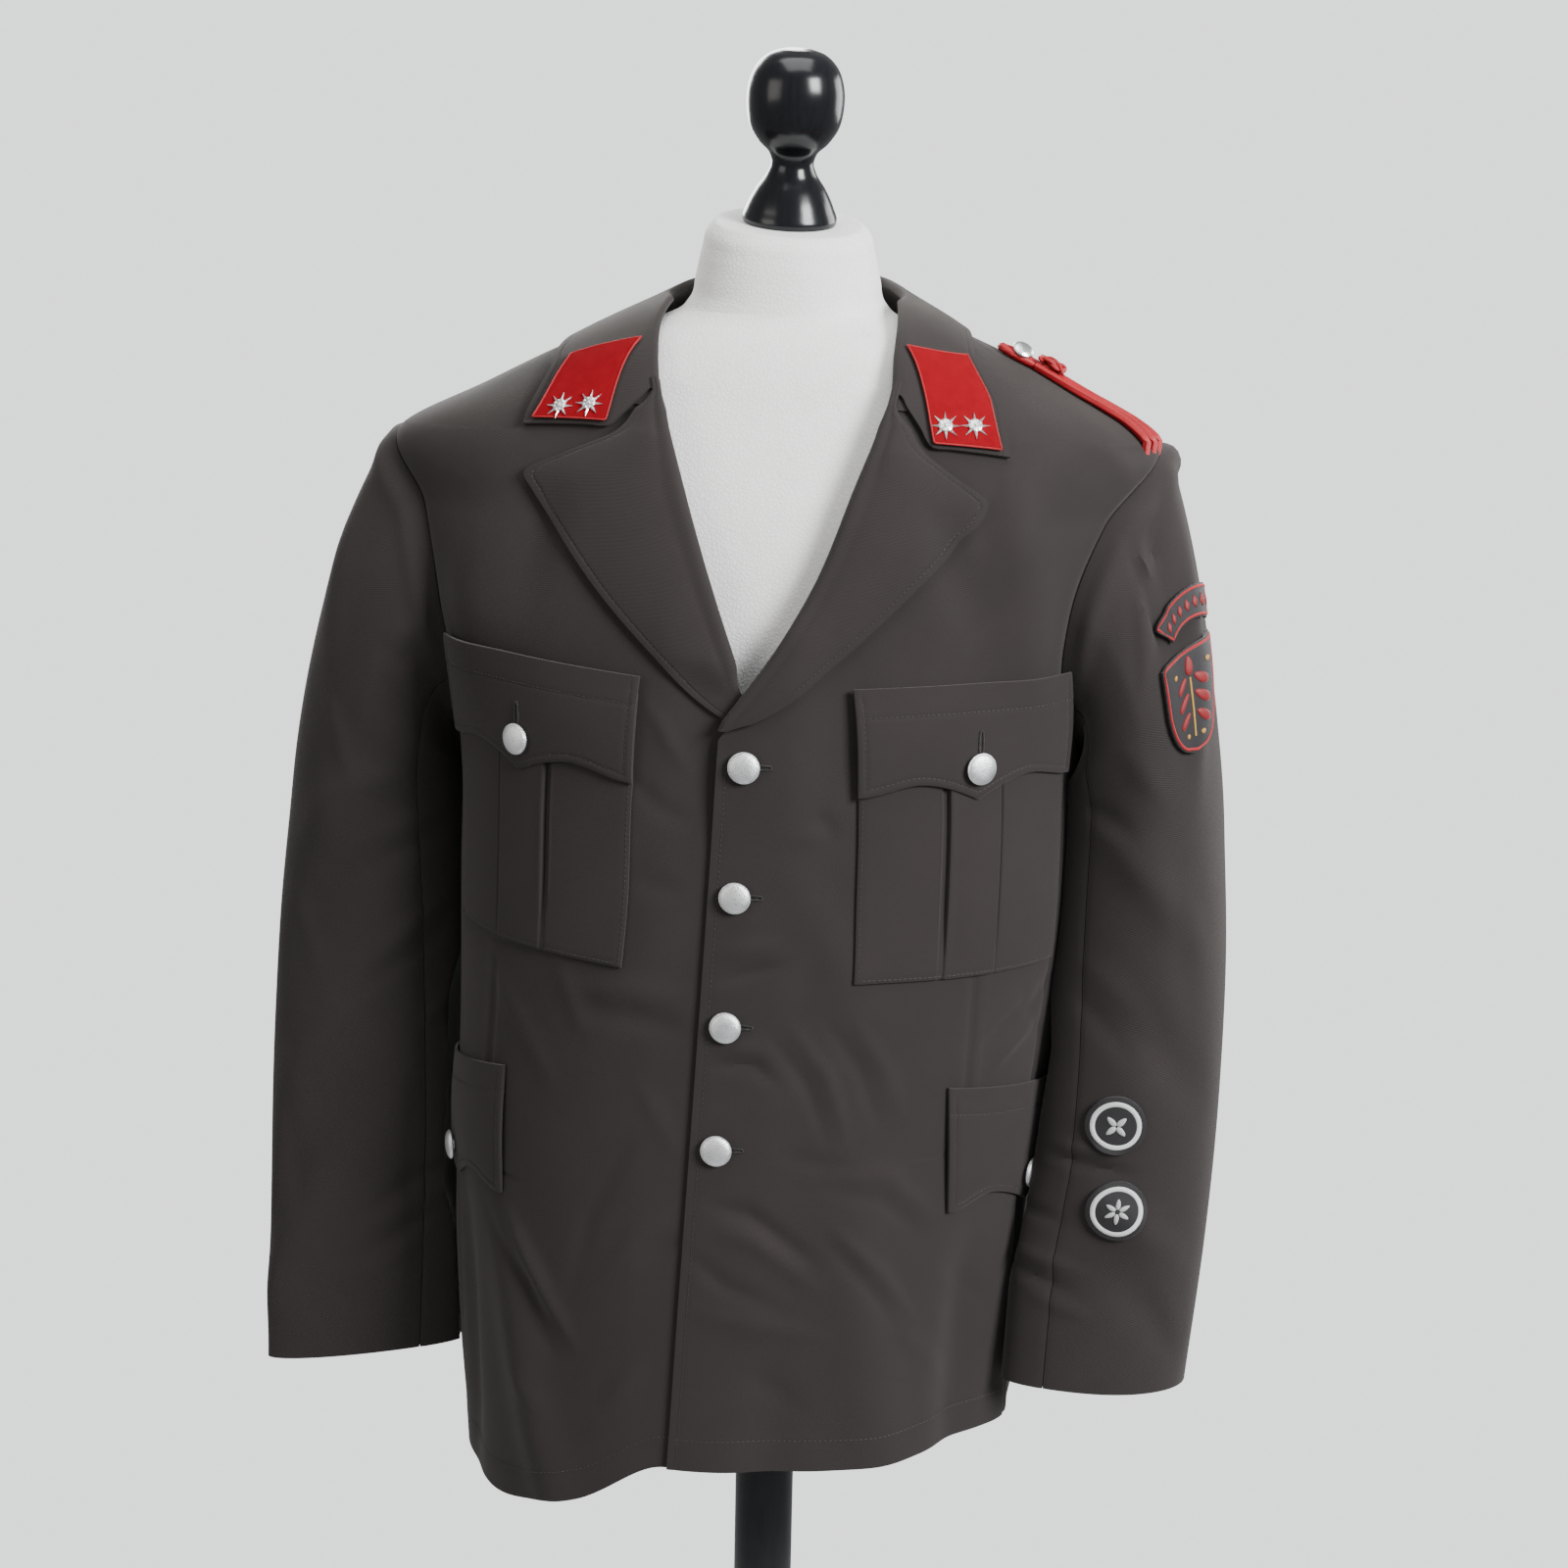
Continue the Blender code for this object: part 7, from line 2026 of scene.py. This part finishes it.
def felt():
    look = Look("red_felt", FELT_MID, 0.95, sheen_weight=0.03, sheen_roughness=0.6,
                sheen_tint=(1.0, 0.20, 0.20, 1.0), specular_ior_level=0.15)
    plain = look.coordinates()
    fibres = look.noise(plain, 1400, 6.0, 0.75)
    mottle = look.noise(plain, 90, 4.0, 0.6)
    tone = look.weighted((fibres, 0.55), (mottle, 0.45))
    look.colour(tone, (0.25, FELT_DARK), (0.55, FELT_MID), (0.85, FELT_LIGHT))
    look.bump(tone, 0.0004, 0.45)
    return look.material


CORD_DARK = (0.24, 0.0010, 0.004)
CORD_MID = (0.38, 0.0015, 0.007)
CORD_LIGHT = (0.52, 0.008, 0.016)


def silk_cord():
    look = Look("red_cord", (0.34, 0.0015, 0.007), 0.5, sheen_weight=0.08, sheen_roughness=0.35,
                sheen_tint=(1.0, 0.3, 0.3, 1.0))
    twisted = look.coordinates(scale=(0.012, 1, 1), turn=math.radians(38))
    strands = look.wave(twisted, 0.0006, 0.4, 1.0)
    look.colour(strands, (0.1, CORD_DARK), (0.6, CORD_MID), (1.0, CORD_LIGHT))
    look.bump(strands, 0.00012, 0.6)
    return look.material


METAL_LIGHT = (0.97, 0.98, 0.98)
METAL_MID = (0.90, 0.91, 0.92)
METAL_DARK = (0.66, 0.68, 0.69)


def metal(name, pebble, depth, roughness):
    """Cast silver with a pebbled surface, darker in its hollows."""
    look = Look(name, METAL_MID, roughness, metallic=1.0)
    solid = look.coordinates("Object")
    pebbles = look.cells(solid, "SMOOTH_F1", {"Scale": pebble, "Smoothness": 0.6})
    tone = look.weighted((pebbles, 0.7), (look.noise(solid, 300), 0.3))
    look.colour(tone, (0.05, METAL_LIGHT), (0.5, METAL_MID), (0.9, METAL_DARK))
    look.bump(tone, depth, 0.7)
    uneven = look.maths("MULTIPLY", look.noise(solid, 160), 0.25)
    look.roughness(look.maths("ADD", uneven, roughness - 0.12))
    return look.material


def embroidery(name, dark, light, turn=0.0, period=0.0006):
    """Satin stitches lying side by side."""
    look = Look(name, light, 0.6, sheen_weight=0.25, sheen_roughness=0.4)
    threads = look.wave(look.coordinates(turn=math.radians(turn)), period, 0.9, 2.0, 30.0)
    look.colour(threads, (0.1, dark), (0.8, light))
    look.bump(threads, 0.0002, 0.6)
    return look.material


FOAM_WORN = (0.80, 0.80, 0.78)
FOAM_MID = (0.92, 0.92, 0.90)
FOAM_CLEAN = (0.96, 0.96, 0.95)


def foam():
    """Expanded foam: white beads pressed together, a little worn."""
    look = Look("white_foam", FOAM_WORN, 0.75)
    solid = look.coordinates("Object")
    edges = look.cells(solid, "DISTANCE_TO_EDGE", {"Scale": 330})
    beads = look.maths("MINIMUM", look.maths("MULTIPLY", edges, 5.0), 1.0)
    wear = look.noise(solid, 40, 4.0, 0.65)
    tone = look.weighted((beads, 0.35), (wear, 0.65))
    look.colour(tone, (0.15, FOAM_WORN), (0.45, FOAM_MID), (0.8, FOAM_CLEAN))
    fine = look.bump(beads, 0.0004, 0.4)
    look.bump(wear, 0.002, 0.2, fine)
    return look.material


def lacquer():
    """Black lacquer with a faint grain and smears."""
    look = Look("black_lacquer", (0.006, 0.007, 0.009), 0.30, coat_weight=0.08, coat_roughness=0.16,
                specular_ior_level=0.38)
    grain = look.noise(look.coordinates("Object", (30, 30, 2)), 12, 5.0, 0.6)
    smears = look.noise(look.coordinates("Object"), 25, 3.0)
    look.colour(grain, (0.3, (0.003, 0.0035, 0.005)), (0.75, (0.007, 0.008, 0.010)))
    look.roughness(look.maths("ADD", look.maths("MULTIPLY", smears, 0.16), 0.14))
    look.bump(grain, 0.0003, 0.12)
    return look.material


def plain_floor():
    return Look("pale_floor", (0.60, 0.61, 0.61), 0.95, specular_ior_level=0.0).material


CLOTHS = {
    "body": twill("wool_twill_body", 38),
    "lapel": twill("wool_twill_lapel", 78),
    "collar": twill("wool_twill_collar", 50),
    "sleeve": twill("wool_twill_sleeve", 40),
    "pocket": twill("wool_twill_pocket", 38),
    "flap": twill("wool_twill_flap", 38),
}
THREAD = embroidery("thread", (0.018, 0.015, 0.014), (0.036, 0.031, 0.029))
# Buttonhole thread: its own colour, made near black with painted shade of the slit it runs round
HOLE_THREAD_AND_SLIT_SHADE = embroidery("hole_thread_and_slit_shade", (0.004, 0.0035, 0.0033), (0.011, 0.010, 0.009))
RED_THREAD = embroidery("red_thread", (0.20, 0.002, 0.004), (0.56, 0.008, 0.014), 90)
GOLD_THREAD = embroidery("gold_thread", (0.42, 0.22, 0.03), (0.85, 0.55, 0.12), 90)
WHITE_THREAD = embroidery("white_thread", (0.45, 0.46, 0.46), (0.92, 0.94, 0.93), 60, 0.0010)
FELT_LOOK = felt()
CORD_LOOK = silk_cord()
SILVER = metal("bright_silver", 900, 0.0003, 0.35)
BUTTON_LOOK = metal("pebbled_silver", 1500, 0.0004, 0.47)
BADGE_LOOK = embroidery("black_badge", (0.006, 0.006, 0.007), (0.020, 0.018, 0.021))
FOAM_LOOK = foam()
WOOD_LOOK = lacquer()


# Camera, light and floor
CAMERA_AZIMUTH = math.radians(9.0)
CAMERA_PITCH = math.radians(12.0)
CAMERA_ROLL = math.radians(1.15)
CAMERA_DISTANCE = 1.63
CAMERA_TARGET = Vector((0.0, 0.0, 1.10))
SENSOR_WIDTH = 36.0
FOCAL_PIXELS = 2300
IMAGE_PIXELS = 1600
SHIFT_PIXELS = 6


def add_camera():
    sin, cos = math.sin, math.cos
    forward = Vector((-sin(CAMERA_AZIMUTH), cos(CAMERA_AZIMUTH), 0.0))
    ahead = forward * cos(CAMERA_PITCH) - Vector((0.0, 0.0, sin(CAMERA_PITCH)))
    level = Vector((cos(CAMERA_AZIMUTH), sin(CAMERA_AZIMUTH), 0.0))
    upright = level.cross(ahead)
    right = level * cos(CAMERA_ROLL) + upright * sin(CAMERA_ROLL)
    up = upright * cos(CAMERA_ROLL) - level * sin(CAMERA_ROLL)
    data = bpy.data.cameras.new("camera")
    data.sensor_width = SENSOR_WIDTH
    data.lens = SENSOR_WIDTH * FOCAL_PIXELS / IMAGE_PIXELS
    data.shift_x = SHIFT_PIXELS / IMAGE_PIXELS
    camera = bpy.data.objects.new("camera", data)
    turn = Matrix((right, up, -ahead)).transposed().to_4x4()
    camera.matrix_world = Matrix.Translation(CAMERA_TARGET - ahead * CAMERA_DISTANCE) @ turn
    bpy.context.scene.collection.objects.link(camera)
    bpy.context.scene.camera = camera


# Each light's place, the height on the middle line that it aims at, its width, power and colour
LIGHTS = {
    "key": ((2.05, -1.45, 2.30), 1.20, 1.0, 138, (0.98, 0.99, 1.0)),
    "fill": ((-2.0, -2.1, 1.9), 1.2, 1.6, 23, (1.0, 0.94, 0.88)),
    "top": ((0.1, -0.3, 2.9), 1.2, 1.2, 20, (1.0, 1.0, 1.0)),
    "back": ((-1.1, 2.3, 2.2), 1.1, 1.6, 85, (1.0, 1.0, 1.0)),
    "back_side": ((2.0, 1.9, 1.8), 1.1, 1.4, 42, (1.0, 1.0, 1.0)),
}


def add_light(name, place, aim, size, energy, colour):
    data = bpy.data.lights.new(name, "AREA")
    data.shape = "RECTANGLE"
    data.size = data.size_y = size
    data.energy = energy
    data.color = colour
    light = bpy.data.objects.new(name, data)
    light.location = place
    light.rotation_euler = (Vector((0, 0, aim)) - Vector(place)).to_track_quat("-Z", "Y").to_euler()
    bpy.context.scene.collection.objects.link(light)


WORLD_COLOUR = (0.975, 0.99, 1.0)
WORLD_SEEN = 1.75
WORLD_LIGHT = 0.32
FLOOR_RADIUS = 0.75
FLOOR_DROP = 0.0005  # the floor lies this much under the base


def add_surroundings():
    for name, settings in LIGHTS.items():
        add_light(name, *settings)
    world = bpy.data.worlds.new("studio")
    world.use_nodes = True
    nodes, links = world.node_tree.nodes, world.node_tree.links
    background = nodes["Background"]
    background.inputs["Color"].default_value = (*WORLD_COLOUR, 1.0)
    seen = nodes.new("ShaderNodeLightPath")
    strength = nodes.new("ShaderNodeMapRange")
    strength.inputs["To Min"].default_value = WORLD_LIGHT
    strength.inputs["To Max"].default_value = WORLD_SEEN
    links.new(seen.outputs["Is Camera Ray"], strength.inputs["Value"])
    links.new(strength.outputs["Result"], background.inputs["Strength"])
    bpy.context.scene.world = world
    mesh = bpy.data.meshes.new("floor")
    turn = full_turn(96)
    rim = [(FLOOR_RADIUS * math.cos(a), FLOOR_RADIUS * math.sin(a), 0.0) for a in turn]
    mesh.from_pydata(rim, [], [tuple(range(len(rim)))])
    mesh.materials.append(plain_floor())
    floor = bpy.data.objects.new("floor", mesh)
    floor.location.z = -FLOOR_DROP
    bpy.context.scene.collection.objects.link(floor)


# Each cloth piece's width, length and flat area, how it is held, what it rests on and what is sewn to it
CLOTH_CUTS = {
    "cloth_front_left": (0.275, 0.950, 0.194, "draped", ("dress_form",), ("stitches_front_left",)),
    "cloth_front_right": (0.295, 1.010, 0.222, "draped", ("dress_form",), ("stitches_front_right",)),
    "cloth_back_left": (0.317, 0.945, 0.194, "draped", ("dress_form",), ("stitches_back_left",)),
    "cloth_back_right": (0.317, 1.015, 0.197, "draped", ("dress_form",), ("stitches_back_right",)),
    "cloth_side_left": (0.160, 0.525, 0.064, "hung", ("front_left", "back_left"), ("stitches_side_left",)),
    "cloth_side_right": (0.160, 0.580, 0.071, "hung", ("front_right", "back_right"),
        ("stitches_side_right",)),
    "cloth_lapel_left": (0.100, 0.330, 0.0141, "folded", ("front_left",), ("stitches_lapel_left",)),
    "cloth_lapel_right": (0.124, 0.337, 0.0166, "folded", ("front_right",), ("stitches_lapel_right",)),
    "cloth_gorge_left": (0.047, 0.027, 0.00124, "laid", ("front_left",), ()),
    "cloth_gorge_right": (0.047, 0.026, 0.00118, "laid", ("front_right",), ()),
    "cloth_collar": (0.115, 0.665, 0.0535, "folded", ("back_left", "back_right"), ("stitches_collar",)),
    "cloth_sleeve_left_upper": (0.470, 0.680, 0.182, "hung", ("front_left", "back_left"), ()),
    "cloth_sleeve_left_under": (0.180, 0.520, 0.058, "hung", ("side_left",), ()),
    "cloth_sleeve_right_upper": (0.475, 0.740, 0.205, "hung", ("front_right", "back_right"), ()),
    "cloth_sleeve_right_under": (0.180, 0.555, 0.053, "hung", ("side_right",), ()),
    "cloth_chest_pocket_left": (0.170, 0.192, 0.0316, "laid", ("front_left",), ("stitches_pocket_left",)),
    "cloth_chest_pocket_right": (0.178, 0.192, 0.0330, "laid", ("front_right",), ("stitches_pocket_right",)),
    "cloth_chest_flap_left": (0.174, 0.078, 0.0116, "laid", ("chest_pocket_left",),
        ("stitches_chest_flap_left",)),
    "cloth_chest_flap_right": (0.182, 0.078, 0.0121, "laid", ("chest_pocket_right",),
        ("stitches_chest_flap_right",)),
    "cloth_lower_flap_left": (0.183, 0.094, 0.0147, "laid", ("front_left",), ("stitches_lower_flap_left",)),
    "cloth_lower_flap_right": (0.182, 0.092, 0.0150, "laid", ("front_right",),
        ("stitches_lower_flap_right",)),
    "felt_patch_left": (0.048, 0.080, 0.0032, "laid", ("collar",), ("felt_rim_left",)),
    "felt_patch_right": (0.055, 0.069, 0.0031, "laid", ("collar",), ("felt_rim_right",)),
    "cloth_badge_arc": (0.065, 0.024, 0.00114, "laid", ("sleeve_left_upper",),
                        ("thread_badge_arc_border", "thread_badge_arc_lozenges")),
    "cloth_badge_shield": (0.060, 0.090, 0.0032, "laid", ("sleeve_left_upper",),
                           ("thread_badge_shield_border", "thread_badge_shield_leaves",
                            "thread_badge_shield_stem", "thread_badge_shield_berries")),
    "cloth_badge_round_upper": (0.049, 0.041, 0.0015, "laid", ("sleeve_left_upper",),
                                ("thread_badge_round_upper_ring", "thread_badge_round_upper_petals")),
    "cloth_badge_round_lower": (0.051, 0.043, 0.00155, "laid", ("sleeve_left_upper",),
                                ("thread_badge_round_lower_ring", "thread_badge_round_lower_petals")),
}


def declare_cloth():
    for name, (width, length, area, held, rests_on, trim) in CLOTH_CUTS.items():
        [bpy.data.objects[piece] for piece in trim]
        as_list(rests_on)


def main():
    add_camera()
    add_surroundings()
    for side in (1, -1):
        panel(side, True)
        panel(side, False)
        side_panel(side)
        lapel(side)
        gorge_cloth(side)
        pocket(side)
    collar()
    patches()
    for side in ("left", "right"):
        sleeve(side, "upper", UPPER_SLEEVE_FROM, UPPER_SLEEVE_TO, 78, 0.27)
        sleeve(side, "under", UPPER_SLEEVE_TO, UPPER_SLEEVE_FROM + 2 * math.pi, 36, 0.12)
        sleeve_seams(side)
    badges()
    shoulder_cord()
    flaps()
    buttons()
    form()
    finial()
    stand()
    declare_cloth()


main()
